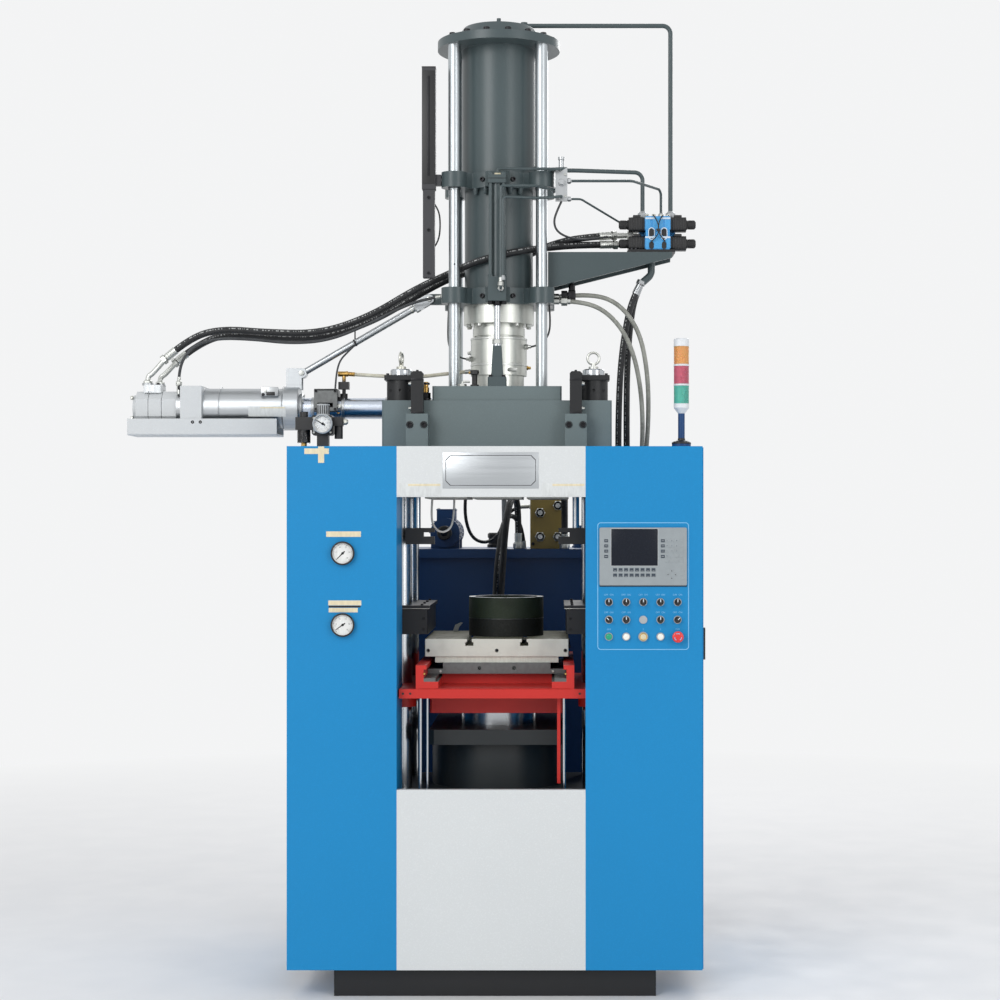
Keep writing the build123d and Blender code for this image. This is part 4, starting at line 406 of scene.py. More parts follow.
def lens(name, colour):
    """A ribbed translucent lens of a signal lamp, hazy with dust."""
    finish = Finish(name, Transmission_Weight=0.25, Subsurface_Weight=0.2, Subsurface_Scale=0.02, IOR=1.49)
    haze = finish.noise(24, 4)
    body = finish.mixed(finish.spread(haze, 0.0, 0.5), colour, shade(colour, 1.5))
    ribs = finish.combine("SINE", finish.combine("MULTIPLY", finish.axis("Z"), 1900), 0)
    return finish.finish(body, finish.spread(haze, 0.22, 0.42), finish.bump(ribs, 0.0003))


def glass(name):
    """Clear instrument glass, a little dusty."""
    finish = Finish(name, Transmission_Weight=1.0, IOR=1.1, Specular_IOR_Level=0.6)
    dust = finish.noise(45, 4)
    body = finish.mixed(finish.spread(dust, 0, 0.2), (1, 1, 1), (0.86, 0.87, 0.87))
    return finish.finish(body, finish.spread(dust, 0.0, 0.05))


def paper(name, colour, crease=0.0003):
    """Crepe tape, plain labels and boards: a fibrous matt surface."""
    finish = Finish(name)
    fibres = finish.noise(150, 5, (1, 1, 0.25))
    body = finish.mixed(finish.spread(fibres, 0, 0.5), colour, shade(colour, 0.78))
    folds = finish.noise(60, 3, (0.4, 1, 1))
    return finish.finish(body, finish.spread(fibres, 0.55, 0.75), finish.bump(folds, crease))


white = seen(211, 214, 214)
blue = painted("blue_enclosure_paint", seen(18, 132, 190), 0.4, 0.0001, 0.08, gloss=0.3)
white_panel = painted("white_panel_paint", white, 0.4, 0.00008, 0.1)
beam_green = painted("grey_green_machine_paint", seen(104, 117, 118), 0.42, 0.0003, 0.45, seen(70, 78, 79))
unit_green = painted("dark_grey_machine_paint", seen(72, 84, 86), 0.32, 0.0002, 0.45, seen(140, 146, 146))
red = painted("red_table_paint", seen(196, 40, 33), 0.42, 0.0002, 0.3, seen(110, 30, 26))
dark_paint = painted("dark_clamp_paint", seen(38, 43, 45), 0.4, 0.00025, 0.5, seen(80, 83, 83))
black_paint = painted("black_steel_paint", seen(27, 28, 30), 0.42, 0.0002, 0.5, seen(96, 96, 94))
tank_blue = painted("blue_tank_paint", seen(28, 66, 112), 0.38, 0.0002, 0.4, gloss=0.3)
ochre = painted("ochre_valve_block_paint", seen(150, 128, 66), 0.4, 0.0002, 0.5, seen(130, 120, 94))
pale_grey = painted("pale_grey_feeder_paint", seen(200, 203, 204), 0.4, 0.00012, 0.18)
post_black = painted("dark_sensor_post_paint", seen(58, 58, 61), 0.45, 0.0002, 0.3)
chrome = steel_turned("chromed_bar_finish", seen(196, 200, 204), 0.2, "Z")
column_chrome = steel_turned("ground_column_finish", seen(190, 196, 199), 0.34, "Z")
barrel_steel = steel_turned("turned_barrel_finish", seen(204, 206, 200), 0.36, "Z")
polished_tube = steel_turned("polished_feeder_tube", seen(206, 214, 226), 0.22, "X")
brushed = metal("brushed_steel_finish", seen(186, 190, 193), 0.34, (0.03, 1, 1), 80, 0.2)
machined = metal("machined_steel_finish", seen(184, 187, 189), 0.34, (1, 1, 0.1), 70)
dark_steel = metal("dark_ground_steel", seen(112, 114, 114), 0.42, (1, 0.05, 1), 60, 0.4)
zinc = metal(
    "zinc_plated_steel", seen(206, 208, 204), 0.36, (1, 1, 1), 40, 0.35, 0.00005, seen(190, 184, 160)
)
brass = metal("brass_fitting_finish", seen(196, 158, 92), 0.3, (1, 1, 1), 60)
black_oxide = metal("black_oxide_finish", seen(52, 52, 54), 0.38, (1, 1, 1), 90, 0.3)
iron = cast("dark_mould_iron", seen(22, 24, 20), 0.56)
green_iron = cast("greenish_mould_iron", seen(36, 46, 31), 0.54)
platen_cream = ground_plate("cream_platen_finish", seen(204, 205, 195), seen(126, 124, 104), 0.42)
# The upper platen takes the lower platen's cream painted darker and greyer: painted shade under the beam and
# the header.
upper_platen_shaded = ground_plate("upper_platen_painted_shade", seen(176, 176, 168), seen(150, 148, 128), 0.42)
board = paper("insulation_board", seen(206, 208, 196), 0.0002)
tape = paper("masking_tape", seen(226, 214, 182), 0.0005)
label_paper = paper("bare_label_strip", seen(214, 217, 216), 0.0001)
black_hose = rubber("black_hydraulic_hose", seen(26, 27, 29), seen(200, 202, 200))
grey_hose = rubber("grey_braided_hose", seen(128, 129, 122))
thin_hose = rubber("dark_drain_hose", seen(52, 54, 56))
beige_hose = rubber("beige_temperature_hose", seen(196, 190, 172))
steel_conduit = rubber("braided_conduit", seen(128, 132, 134))
white_lead = rubber("white_heater_lead", seen(206, 206, 198))
black_plastic = plastic("black_moulded_plastic", seen(30, 30, 31), 0.38)
grey_plastic = plastic("grey_display_plastic", seen(148, 155, 158), 0.46)
key_plastic = plastic("dark_key_plastic", seen(46, 58, 70), 0.42)
silver_plastic = plastic("silver_bezel_plastic", seen(170, 174, 176), 0.34)
white_plastic = plastic("white_button_plastic", seen(240, 240, 232), 0.25)
beige_plastic = plastic("beige_lamp_plastic", seen(214, 204, 172), 0.25)
green_plastic = plastic("green_button_plastic", seen(20, 158, 120), 0.24)
red_plastic = plastic("red_button_plastic", seen(222, 54, 52), 0.28)
light_blue = plastic("light_blue_valve_lacquer", seen(70, 158, 216), 0.34)
valve_white = plastic("pale_valve_plate", seen(206, 220, 232), 0.36)
dial_white = paper("white_dial_card", seen(244, 245, 243), 0.00002)
ink_black = plastic("black_dial_ink", seen(24, 24, 26), 0.5)
ink_white = plastic("white_panel_ink", seen(226, 238, 246), 0.45)
ink_pale = plastic("pale_panel_ink", seen(128, 192, 230), 0.45)
screen_dark = plastic("dark_display_screen", seen(16, 22, 34), 0.16, 0.00001, gloss=0.25)
amber_lens = lens("amber_lamp_lens", seen(232, 160, 96))
red_lens = lens("red_lamp_lens", seen(196, 92, 112))
green_lens = lens("green_lamp_lens", seen(84, 178, 160))
clear_glass = glass("instrument_glass")
pole_white = plastic("pale_tower_plastic", seen(224, 227, 230), 0.35)


# Mesh forms


class Shape:
    """Gathers solid forms, each with its finish, into one piece."""

    def __init__(self, name):
        self.name = name
        self.mesh = bmesh.new()
        self.materials = []

    def take(self, part, material):
        """Adds a finished form."""
        if material not in self.materials:
            self.materials.append(material)
        bmesh.ops.recalc_face_normals(part, faces=part.faces)
        for face in part.faces:
            face.material_index = self.materials.index(material)
            face.smooth = True
        store = bpy.data.meshes.new("form")
        part.to_mesh(store)
        part.free()
        self.mesh.from_mesh(store)
        bpy.data.meshes.remove(store)

    def box(self, low, high, material, edge=0.001):
        """A block between two corners, its edges rounded."""
        part = bmesh.new()
        size = [abs(b - a) for a, b in zip(low, high)]
        middle = [(a + b) / 2 for a, b in zip(low, high)]
        bmesh.ops.create_cube(part, size=1, matrix=Matrix.Translation(middle) @ Matrix.Diagonal((*size, 1)))
        width = min(edge, min(size) * 0.45)
        if width > 0:
            bmesh.ops.bevel(part, geom=part.edges[:], offset=width, segments=2, profile=0.5, affect="EDGES")
        self.take(part, material)

    def turned(self, outline, place, axis, material, sides=24):
        """A turned form; an outline point is (radius, height) or, with flats, (radius, height, flats)."""
        part = bmesh.new()
        turn = Vector(upward).rotation_difference(Vector(axis)).to_matrix().to_4x4()
        move = Matrix.Translation(place) @ turn
        rings = []
        for radius, height, *flats in outline:
            if radius == 0:
                rings.append([part.verts.new(move @ Vector((0, 0, height)))])
                continue
            ring = []
            for step in range(sides):
                angle = 2 * math.pi * step / sides
                reach = radius
                if flats:
                    share = 2 * math.pi / flats[0]
                    reach = radius / math.cos(angle % share - share / 2)
                corner = Vector((reach * math.cos(angle), reach * math.sin(angle), height))
                ring.append(part.verts.new(move @ corner))
            rings.append(ring)
        for low, high in zip(rings, rings[1:]):
            for step in range(sides):
                after = (step + 1) % sides
                corners = [low[step % len(low)], low[after % len(low)]]
                corners += [high[after % len(high)], high[step % len(high)]]
                part.faces.new(list(dict.fromkeys(corners)))
        self.take(part, material)

    def prism(self, outline, place, across, up, depth, material):
        """A flat outline pushed out along across x up."""
        part = bmesh.new()
        across, up = Vector(across), Vector(up)
        out = across.cross(up).normalized() * depth
        base = [part.verts.new(Vector(place) + across * x + up * z) for x, z in outline]
        top = [part.verts.new(corner.co + out) for corner in base]
        part.faces.new(base)
        part.faces.new(top)
        for step in range(len(base)):
            after = (step + 1) % len(base)
            part.faces.new((base[step], base[after], top[after], top[step]))
        self.take(part, material)

    def band(self, outer, inner, front, back, material):
        """A flat closed band that faces -Y, between two loops of (x, z) points."""
        part = bmesh.new()
        loops = []
        for loop, y in ((outer, back), (outer, front), (inner, front), (inner, back)):
            loops.append([part.verts.new((x, y, z)) for x, z in loop])
        for first, second in zip(loops, loops[1:] + loops[:1]):
            for step in range(len(first)):
                after = (step + 1) % len(first)
                part.faces.new((first[step], first[after], second[after], second[step]))
        self.take(part, material)

    def tube(self, points, radius, material, sides=12, wall_uv=False):
        """A round tube along points; with wall_uv its map holds length and turn."""
        points = [Vector(point) for point in points]
        part = bmesh.new()
        layer = part.loops.layers.uv.new("UVMap") if wall_uv else None
        side = None
        rings, lengths, run = [], [], 0.0
        for place, point in enumerate(points):
            ahead = points[min(place + 1, len(points) - 1)] - points[max(place - 1, 0)]
            ahead.normalize()
            if side is None:
                side = ahead.orthogonal().normalized()
                if wall_uv and abs(ahead.z) < 0.99:
                    side = ahead.cross(Vector(upward)).normalized()
            side = (side - ahead * side.dot(ahead)).normalized()
            third = ahead.cross(side)
            ring = []
            for step in range(sides):
                angle = 2 * math.pi * step / sides
                corner = point + radius * (side * math.cos(angle) + third * math.sin(angle))
                ring.append(part.verts.new(corner))
            if place:
                run += (point - points[place - 1]).length
            rings.append(ring)
            lengths.append(run)
        for place in range(len(rings) - 1):
            low, high = rings[place], rings[place + 1]
            for step in range(sides):
                after = (step + 1) % sides
                face = part.faces.new((low[step], low[after], high[after], high[step]))
                if layer:
                    marks = ((lengths[place], step), (lengths[place], step + 1))
                    marks += ((lengths[place + 1], step + 1), (lengths[place + 1], step))
                    for corner, (length, turn) in zip(face.loops, marks):
                        corner[layer].uv = (length, turn / sides)
        part.faces.new(rings[0])
        part.faces.new(rings[-1])
        self.take(part, material)

    def hoop(self, centre, across, up, radius, wire, material):
        """A ring of round wire in the plane of across and up."""
        sides, facets = 40, 14
        part = bmesh.new()
        out = across.cross(up)
        rows = []
        for step in range(sides):
            turn = 2 * math.pi * step / sides
            away = across * math.cos(turn) + up * math.sin(turn)
            row = []
            for facet in range(facets):
                angle = 2 * math.pi * facet / facets
                reach = radius + wire * math.cos(angle)
                row.append(part.verts.new(centre + away * reach + out * wire * math.sin(angle)))
            rows.append(row)
        for step in range(sides):
            first, second = rows[step], rows[(step + 1) % sides]
            for facet in range(facets):
                after = (facet + 1) % facets
                part.faces.new((first[facet], first[after], second[after], second[facet]))
        self.take(part, material)

    def text(self, words, place, size, material, depth=0.0003):
        """Plain characters that face -Y, centred on a place."""
        letters = bpy.data.curves.new("letters", "FONT")
        letters.body = words
        letters.size = size
        letters.align_x = "CENTER"
        letters.align_y = "CENTER"
        letters.extrude = depth / 2
        holder = bpy.data.objects.new("letters", letters)
        made = bpy.data.meshes.new_from_object(holder)
        made.transform(Matrix.Translation(place) @ Matrix.Rotation(math.pi / 2, 4, "X"))
        part = bmesh.new()
        part.from_mesh(made)
        bpy.data.meshes.remove(made)
        bpy.data.objects.remove(holder)
        bpy.data.curves.remove(letters)
        self.take(part, material)

    def piece(self, body, slot, angle=32):
        """Makes the object; it rides on its body, if it has one."""
        made = bpy.data.meshes.new(self.name)
        self.mesh.to_mesh(made)
        self.mesh.free()
        for material in self.materials:
            made.materials.append(material)
        made.set_sharp_from_angle(angle=math.radians(angle))
        thing = bpy.data.objects.new(self.name, made)
        bpy.context.scene.collection.objects.link(thing)
        if body:
            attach(thing, body)
        return thing


def disc(radius, top, bottom=0):
    """A round plate's or pin's outline."""
    return (radius, bottom), (radius, top), (0, top)


def sleeve(first, top, second):
    """A ring's outline, open below."""
    return (first, 0), (first, top), (second, top), (second, 0)


def hexagon(radius, top):
    """A hexagon bar's outline."""
    return (radius, 0, 6), (radius, top, 6), (0, top)


def recessed(radius, bottom, top, hole, depth):
    """The outline of a flat head with a round hole in it."""
    return (radius, bottom), (radius, top), (hole, top), (hole, depth), (0, depth)


def around(count, radius, first=0):
    """The (x, y) places of a ring of things, the first one at that angle in degrees."""
    angles = [math.radians(first + 360 * step / count) for step in range(count)]
    return [(radius * math.cos(angle), radius * math.sin(angle)) for angle in angles]


def socket_screw(shape, place, axis, size, material=black_oxide):
    """A socket head cap screw's head, seated on place and looking along the axis."""
    outer, key, height = size * 0.75, size * 0.42, size * 0.9
    outline = (
        (0, height * 0.35), (key, height * 0.35, 6), (key, height, 6),
        (outer - size * 0.1, height), (outer, height - size * 0.1), (outer, 0),
    )
    shape.turned(outline, place, axis, material)


def hex_head(shape, place, axis, width, height, material=zinc, washer=True):
    """A hexagon head or nut on a washer."""
    half = width / 2
    base = 0
    if washer:
        base = height * 0.18
        shape.turned(disc(half * 1.25, base), place, axis, material)
    outline = ((half, base, 6), (half, height * 0.85, 6), (half * 0.93, height), (0, height))
    shape.turned(outline, place, axis, material)


def hex_sleeve(shape, place, axis, width, length, bore, material=zinc):
    """A hexagon union nut round a pipe."""
    half = width / 2
    outline = (
        (bore, 0), (half * 0.94, 0), (half, length * 0.12, 6), (half, length * 0.72, 6),
        (half * 0.9, length * 0.8), (bore * 1.12, length), (bore, length), (bore, 0),
    )
    shape.turned(outline, place, axis, material)


def ferrule(shape, place, axis, radius, length, material=zinc):
    """A crimped hose end: a sleeve with rolled grooves, then a hexagon."""
    outline = [(radius * 0.8, 0), (radius * 1.16, 0.001)]
    grooves = 5
    for groove in range(grooves):
        start = length * (0.08 + 0.6 * groove / grooves)
        step = length * 0.6 / grooves
        outline += [(radius * 1.18, start), (radius * 1.18, start + step * 0.62)]
        outline += [(radius * 1.08, start + step * 0.72), (radius * 1.08, start + step * 0.9)]
    outline += [(radius * 1.14, length * 0.7), (radius * 0.95, length * 0.74), (radius * 0.95, length * 0.78)]
    shape.turned(outline, place, axis, material)
    nut = ((radius * 1.25, length * 0.78, 6), (radius * 1.25, length, 6), (0, length))
    shape.turned(nut, place, axis, material)


def rounded_loop(x0, x1, z0, z1, radius, inset=0):
    """A rectangle's loop of (x, z) points with round corners, drawn in by inset."""
    steps = 6
    x0, x1, z0, z1, radius = x0 + inset, x1 - inset, z0 + inset, z1 - inset, radius - inset
    loop = []
    corners = ((x1, z1, 0), (x0, z1, 90), (x0, z0, 180), (x1, z0, 270))
    for x, z, start in corners:
        centre_x = x - radius if x == x1 else x + radius
        centre_z = z - radius if z == z1 else z + radius
        for step in range(steps + 1):
            angle = math.radians(start + 90 * step / steps)
            loop.append((centre_x + radius * math.cos(angle), centre_z + radius * math.sin(angle)))
    return loop


# Hoses


def smooth_line(route):
    """Points on the smooth curve whose control points are the route."""
    curve = bpy.data.curves.new("line", "CURVE")
    curve.dimensions = "3D"
    curve.resolution_u = 10
    spline = curve.splines.new("NURBS")
    spline.points.add(len(route) - 1)
    for point, place in zip(spline.points, route):
        point.co = (*place, 1)
    spline.order_u = 3
    spline.use_endpoint_u = True
    holder = bpy.data.objects.new("line", curve)
    made = bpy.data.meshes.new_from_object(holder)
    points = [vertex.co.copy() for vertex in made.vertices]
    bpy.data.meshes.remove(made)
    bpy.data.objects.remove(holder)
    bpy.data.curves.remove(curve)
    return points


def hose(name, route, diameter, material, body, node=None):
    """A hose of its real length along the route; returns its line."""
    line = smooth_line(route)
    shape = Shape(name)
    shape.tube(line, diameter / 2, material, 20, True)
    thing = shape.piece(body if isinstance(body, str) else None, "hose_rubber", 60)
    if node:
        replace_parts(thing, node)
    if not isinstance(body, str):
        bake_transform(thing)
    return line


def hose_end(shape, line, at_start, radius, length, material=zinc):
    """A crimped ferrule on a hose's end, its nut outward."""
    ends = line[:3] if at_start else line[::-1][:3]
    out = (ends[0] - ends[2]).normalized()
    ferrule(shape, ends[0] - out * length * 0.72, out, radius, length, material)


def feeder_hoses():
    """The hoses that ride with the injection unit, with their fittings."""
    fittings = Shape("feeder_hose_fittings")
    for name, route in (("front_pressure_hose", front_hose_route), ("back_pressure_hose", back_hose_route)):
        line = hose(name, route, 0.026, black_hose, "injection_unit", "feeder_hoses")
        hose_end(fittings, line, True, 0.013, 0.07)
        hose_end(fittings, line, False, 0.013, 0.064)
        x, y, z = route[0]
        outline = (
            (0.0115, 0), (0.0115, 0.06), (0.0165, 0.062, 6), (0.0165, 0.082, 6), (0.012, 0.084),
            (0.012, 0.0995),
        )
        fittings.turned(outline, (x + 0.0005, y, z), rightward, zinc)
        x, y, z = route[-1]
        reach = 0.07 if name.startswith("front") else 0.066
        foot = feeder_z + 0.0865
        elbow = smooth_line((
            (x - 0.001, y, z - 0.001), (x - reach + 0.018, y, foot + 0.042),
            (x - reach + 0.004, y, foot + 0.036),
            (x - reach, y, foot + 0.02), (x - reach, y, foot),
        ))
        fittings.tube(elbow, 0.01, zinc, 20)
        hex_sleeve(fittings, (x - reach, y, foot), upward, 0.03, 0.02, 0.0095)
        fittings.turned(disc(0.021, 0.008), (x - reach, y, foot - 0.0005), upward, machined)
    line = hose(
        "drain_hose", drain_hose_route, 0.011, thin_hose, "injection_unit", "feeder_hoses"
    )
    x, y, z = drain_hose_route[0]
    fittings.turned(disc(0.008, 0.004, -0.042), (x, y, z), upward, zinc)
    hex_sleeve(fittings, (x, y, z - 0.012), upward, 0.02, 0.02, 0.0056)
    hose_end(fittings, line, True, 0.0057, 0.03)
    hose_end(fittings, line, False, 0.0057, 0.03)
    line = hose(
        "temperature_hose", temperature_hose_route, 0.014, beige_hose, "injection_unit", "feeder_hoses",
    )
    hose_end(fittings, line, True, 0.0072, 0.034, brass)
    hose_end(fittings, line, False, 0.0072, 0.03)
    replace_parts(fittings.piece("injection_unit", "machined_steel"), "feeder_hoses")


def tank_hoses():
    """The hoses from the injection unit down to the tank, left fixed in place, with their fittings at both
    ends.
    """
    upper = Shape("tank_hose_upper_fittings")
    lower = Shape("tank_hose_lower_fittings")
    bend = ("injection_unit", "frame", (0.5, 0.0, 2.45), (0.5, 0.0, 1.62))
    for place, route in enumerate(tank_hose_routes):
        thick = place < 2
        diameter = 0.024 if thick else 0.017
        material = black_hose if thick else grey_hose
        line = hose("tank_hose_" + str(place + 1), route, diameter, material, bend, "tank_hoses")
        hose_end(upper, line, True, diameter / 2, 0.056 if thick else 0.046, machined if thick else zinc)
        hose_end(lower, line, False, diameter / 2, 0.05)
        x, y, z = route[-1]
        hex_sleeve(lower, (x, y + 0.01, z), backward, diameter + 0.01, 0.02, diameter / 2 - 0.002)
    for y, z, tone in ((-0.028, 2.508, zinc), (-0.002, 2.5335, black_oxide)):
        outline = ((0.015, 0, 6), (0.015, 0.022, 6), (0.012, 0.024), (0.012, 0.034), (0.0105, 0.035))
        upper.turned(outline, (0.236, y, z), rightward, tone)
    upper.box((0.262, -0.014, 2.514), (0.29, 0.006, 2.552), black_oxide, 0.003)
    upper.turned(
        ((0.0105, 0, 6), (0.0105, 0.02, 6), (0.007, 0.022), (0.007, 0.036), (0, 0.036)),
        (0.276, -0.004, 2.552), upward, black_oxide,
    )
    for shape, body in ((upper, "injection_unit"), (lower, "frame")):
        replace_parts(shape.piece(body, "machined_steel"), "tank_hoses")


def rear_hoses():
    """The fixed hoses behind the clamp, with their fittings."""
    fittings = Shape("rear_hose_fittings")
    for name, route, width, reach in (
        ("clamp_hose", clamp_hose_route, 0.04, 0.016), ("beam_hose", beam_hose_route, 0.038, 0.042),
    ):
        line = hose(name, route, 0.027, black_hose, "frame", "rear_hoses")
        hose_end(fittings, line, True, 0.0135, 0.05)
        hose_end(fittings, line, False, 0.0135, 0.05)
        x, y = route[0][:2]
        hex_sleeve(fittings, (x, y, tank_top), upward, 0.038, 0.03, 0.012)
        hex_sleeve(fittings, route[-1], forward, width, reach, 0.012)
    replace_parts(fittings.piece("frame", "machined_steel"), "rear_hoses")


# Front of the enclosure


def nameplate():
    """A blank silver plate with a dark line that steps in at the corners."""
    plate = Shape("blank_nameplate")
    x0, x1, z0, z1 = -0.183, 0.155, 1.796, 1.923
    plate.box((x0, panel_front - 0.0014, z0), (x1, panel_front, z1), brushed, 0.0005)
    inset, notch, line = 0.01, 0.016, 0.0018

    def loop(step):
        """The dark line's loop, drawn in by a step."""
        left, right, low, high = x0 + step, x1 - step, z0 + step, z1 - step
        return [
            (left + notch, high), (right - notch, high), (right - notch / 2, high - notch / 2),
            (right, high - notch), (right, low + notch), (right - notch / 2, low + notch / 2),
            (right - notch, low), (left + notch, low), (left + notch / 2, low + notch / 2),
            (left, low + notch), (left, high - notch), (left + notch / 2, high - notch / 2),
        ]

    plate.band(loop(inset), loop(inset + line), panel_front - 0.0018, panel_front - 0.0013, ink_black)
    plate.piece("frame", "machined_steel")


def bare_strips():
    """Two bare strips on the header and pieces of tape by the gauges."""
    strips = Shape("bare_label_strips")
    for x0, x1 in ((-0.343, -0.189), (0.165, 0.318)):
        strips.box((x0, panel_front - 0.0007, 1.7695), (x1, panel_front, 1.815), label_paper, 0.0003)
        strips.box(
            (x0 + 0.0385, panel_front - 0.0009, 1.8045), (x1 - 0.002, panel_front - 0.0006, 1.812), tape,
            0.0001,
        )
    strips.piece("frame", "white_paint")

    tapes = Shape("masking_tape_strips")
    for x0, x1, z0, z1 in (
        (-0.5934, -0.47, 1.6255, 1.6449), (-0.586, -0.4686, 1.3845, 1.4017),
        (-0.5847, -0.481, 1.3599, 1.3757),
    ):
        torn_tape(tapes, x0, x1, z0, z1, panel_front)
    torn_tape(tapes, -0.6706, -0.5826, 1.9172, 1.937, panel_front)
    torn_tape(tapes, -0.6213, -0.6, 1.8855, 1.9446, panel_front - 0.0005)
    tapes.box((-0.584, panel_front - 0.0006, 1.377), (-0.472, panel_front, 1.3835), ink_black, 0.0002)
    tapes.piece("frame", "beige_plastic")


def torn_tape(shape, x0, x1, z0, z1, y):
    """A strip of tape with torn short ends."""
    wide = x1 - x0 > z1 - z0
    teeth = 7
    outline = []
    for step in range(teeth + 1):
        jag = 0.0016 if step % 2 else 0.0
        if wide:
            outline.append((x1 - jag, z0 + (z1 - z0) * step / teeth))
        else:
            outline.append((x0 + (x1 - x0) * (1 - step / teeth), z1 - jag))
    for step in range(teeth + 1):
        jag = 0.0014 if step % 2 == 0 else 0.0
        if wide:
            outline.append((x0 + jag, z1 - (z1 - z0) * step / teeth))
        else:
            outline.append((x0 + (x1 - x0) * step / teeth, z0 + jag))
    shape.prism(outline, (0, y, 0), rightward, upward, 0.0005, tape)


def operator_panel():
    """The outline round the controls, the display's screen and keys, and the marks by the controls."""
    lines = Shape("panel_outline")
    edge = (0.3617, 0.6838, 1.228, 1.6765)
    outer, inner = rounded_loop(*edge, 0.012), rounded_loop(*edge, 0.012, 0.0026)
    lines.band(outer, inner, panel_front - 0.0003, panel_front, ink_pale)
    for row, z in enumerate(control_rows):
        for column, x in enumerate(control_columns):
            if row == 2:
                words = ("ON", "1", "2", "3", "OFF")[column]
            elif (row, column) == (1, 2):
                continue
            else:
                words = "OFF  ON"
            lines.text(words, (x, panel_front - 0.0001, z + 0.0255), 0.0085, ink_pale)
    lines.piece("frame", "white_paint")

    display = Shape("display_details")
    y = display_front

    def key(x, z, half_width, half_height, rise, tone, edge, foot=0):
        """A key, or a mark on it, that stands proud of the display."""
        low = (x - half_width, y - rise, z - half_height)
        display.box(low, (x + half_width, y - foot, z + half_height), tone, edge)

    display.box((0.4105, y + 0.0004, 1.5245), (0.5735, y + 0.0016, 1.6535), screen_dark, 0.0004)
    frame_edge = (0.4075, 0.5765, 1.5215, 1.6565)
    display.band(
        rounded_loop(*frame_edge, 0.004), rounded_loop(*frame_edge, 0.004, 0.0028), y - 0.0006, y + 0.0002,
        silver_plastic,
    )
    for x in (0.3925, 0.5915):
        for z in (1.6119, 1.5939, 1.5757, 1.5567):
            key(x, z, 0.0068, 0.0052, 0.001, key_plastic, 0.0006)
            key(x, z, 0.0045, 0.0008, 0.0013, silver_plastic, 0.0001, 0.0009)
    for column in range(8):
        x = 0.4237 + 0.0193 * column
        for z in (1.5099, 1.4909):
            key(x, z, 0.0068, 0.0058, 0.001, key_plastic, 0.0006)
            key(x, z - 0.0036, 0.0042, 0.0006, 0.0013, silver_plastic, 0.0001, 0.0009)
    for column in range(4):
        for row in range(5):
            x, z = 0.606 + 0.0172 * column, 1.612 - 0.0178 * row
            key(x, z, 0.0066, 0.0058, 0.0007, grey_plastic, 0.0005)
            digits = ("789", "456", "123", "0", "")[row]
            if column < len(digits):
                display.text(digits[column], (x, y - 0.0007, z), 0.0065, key_plastic, 0.0002)
    for dx, dz in ((0, 0.013), (0, -0.013), (-0.013, 0), (0.013, 0)):
        x, z = 0.6228 + dx, 1.493 + dz
        key(x, z, 0.0055, 0.0055, 0.0008, grey_plastic, 0.0006)
        display.turned(
            ((0.0019, 0), (0.0016, 0.0004), (0, 0.0004)), (x, y - 0.0007, z), forward, ink_black, 12
        )
    for z in (1.507, 1.493, 1.479):
        key(0.6605, z, 0.006, 0.0045, 0.0007, grey_plastic, 0.0005)
    display.box((0.369, panel_front - 0.0022, 1.4505), (0.6765, panel_front, 1.4544), ink_black, 0.0004)
    display.piece("frame", "grey_plastic")


def control_marks():
    """White marks on the selectors, and rings, domes and marks on the buttons."""
    angles = {(0, 1): -45, (4, 1): 45}
    front = panel_front - 0.0203
    for row, name in ((0, "top_selector_"), (1, "lower_selector_")):
        number = 0
        for column in range(5):
            if (column, row) == (2, 1):
                continue
            number += 1
            x, z = control_columns[column], control_rows[row]
            turn = math.radians(angles.get((column, row), 0))
            mark = Shape(name + str(number) + "_mark")
            across = (math.cos(turn), 0, -math.sin(turn))
            up = (math.sin(turn), 0, math.cos(turn))
            outline = ((-0.0013, 0.0008), (0.0013, 0.0008), (0.0013, 0.0112), (-0.0013, 0.0112))
            mark.prism(outline, (x, front, z), across, up, 0.0004, ink_white)
            mark.piece(name + str(number), "white_plastic")
    for name, column, radius, tone in (
        ("start_button", 0, 0.0095, green_plastic), ("reset_button", 1, 0.0095, white_plastic),
        ("lamp_button", 2, 0.01, beige_plastic), ("cycle_button", 3, 0.0095, white_plastic),
    ):
        cap = Shape(name + "_cap")
        top = panel_front - 0.0133
        place = (control_columns[column], top, control_rows[2])
        dome = (
            (radius, -0.0004), (radius, 0.0006), (radius * 0.86, 0.0014), (radius * 0.5, 0.0019), (0, 0.002),
        )
        cap.turned(dome, place, forward, tone, 32)
        if name == "lamp_button":
            outline = (
                (0.01, -0.0003), (0.013, -0.0003), (0.013, 0.0008), (0.0118, 0.0014), (0.01, 0.0008),
                (0.01, -0.0003),
            )
            cap.turned(outline, place, forward, brass, 32)
        cap.piece(name, "white_plastic")

    stop = Shape("emergency_stop_head")
    place = (control_columns[4], panel_front, control_rows[2])
    outline = (
        (0, 0.0043), (0.011, 0.0043), (0.011, 0.012), (0.0185, 0.0138), (0.02, 0.0165),
        (0.02, 0.0225), (0.019, 0.0262), (0.015, 0.0284), (0.008, 0.029), (0, 0.0291),
    )
    stop.turned(outline, place, forward, red_plastic, 48)
    for turn in range(3):
        arc = []
        for radius, steps in ((0.0134, range(9)), (0.011, range(8, -1, -1))):
            for step in steps:
                at = math.radians(62 + 120 * turn + 7 * step)
                arc.append((radius * math.cos(at), radius * math.sin(at)))
        front = (place[0], place[1] - 0.0284, place[2])
        stop.prism(arc, front, rightward, upward, 0.0008, ink_pale)
    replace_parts(stop.piece("emergency_stop", "red_plastic"), "emergency_stop")


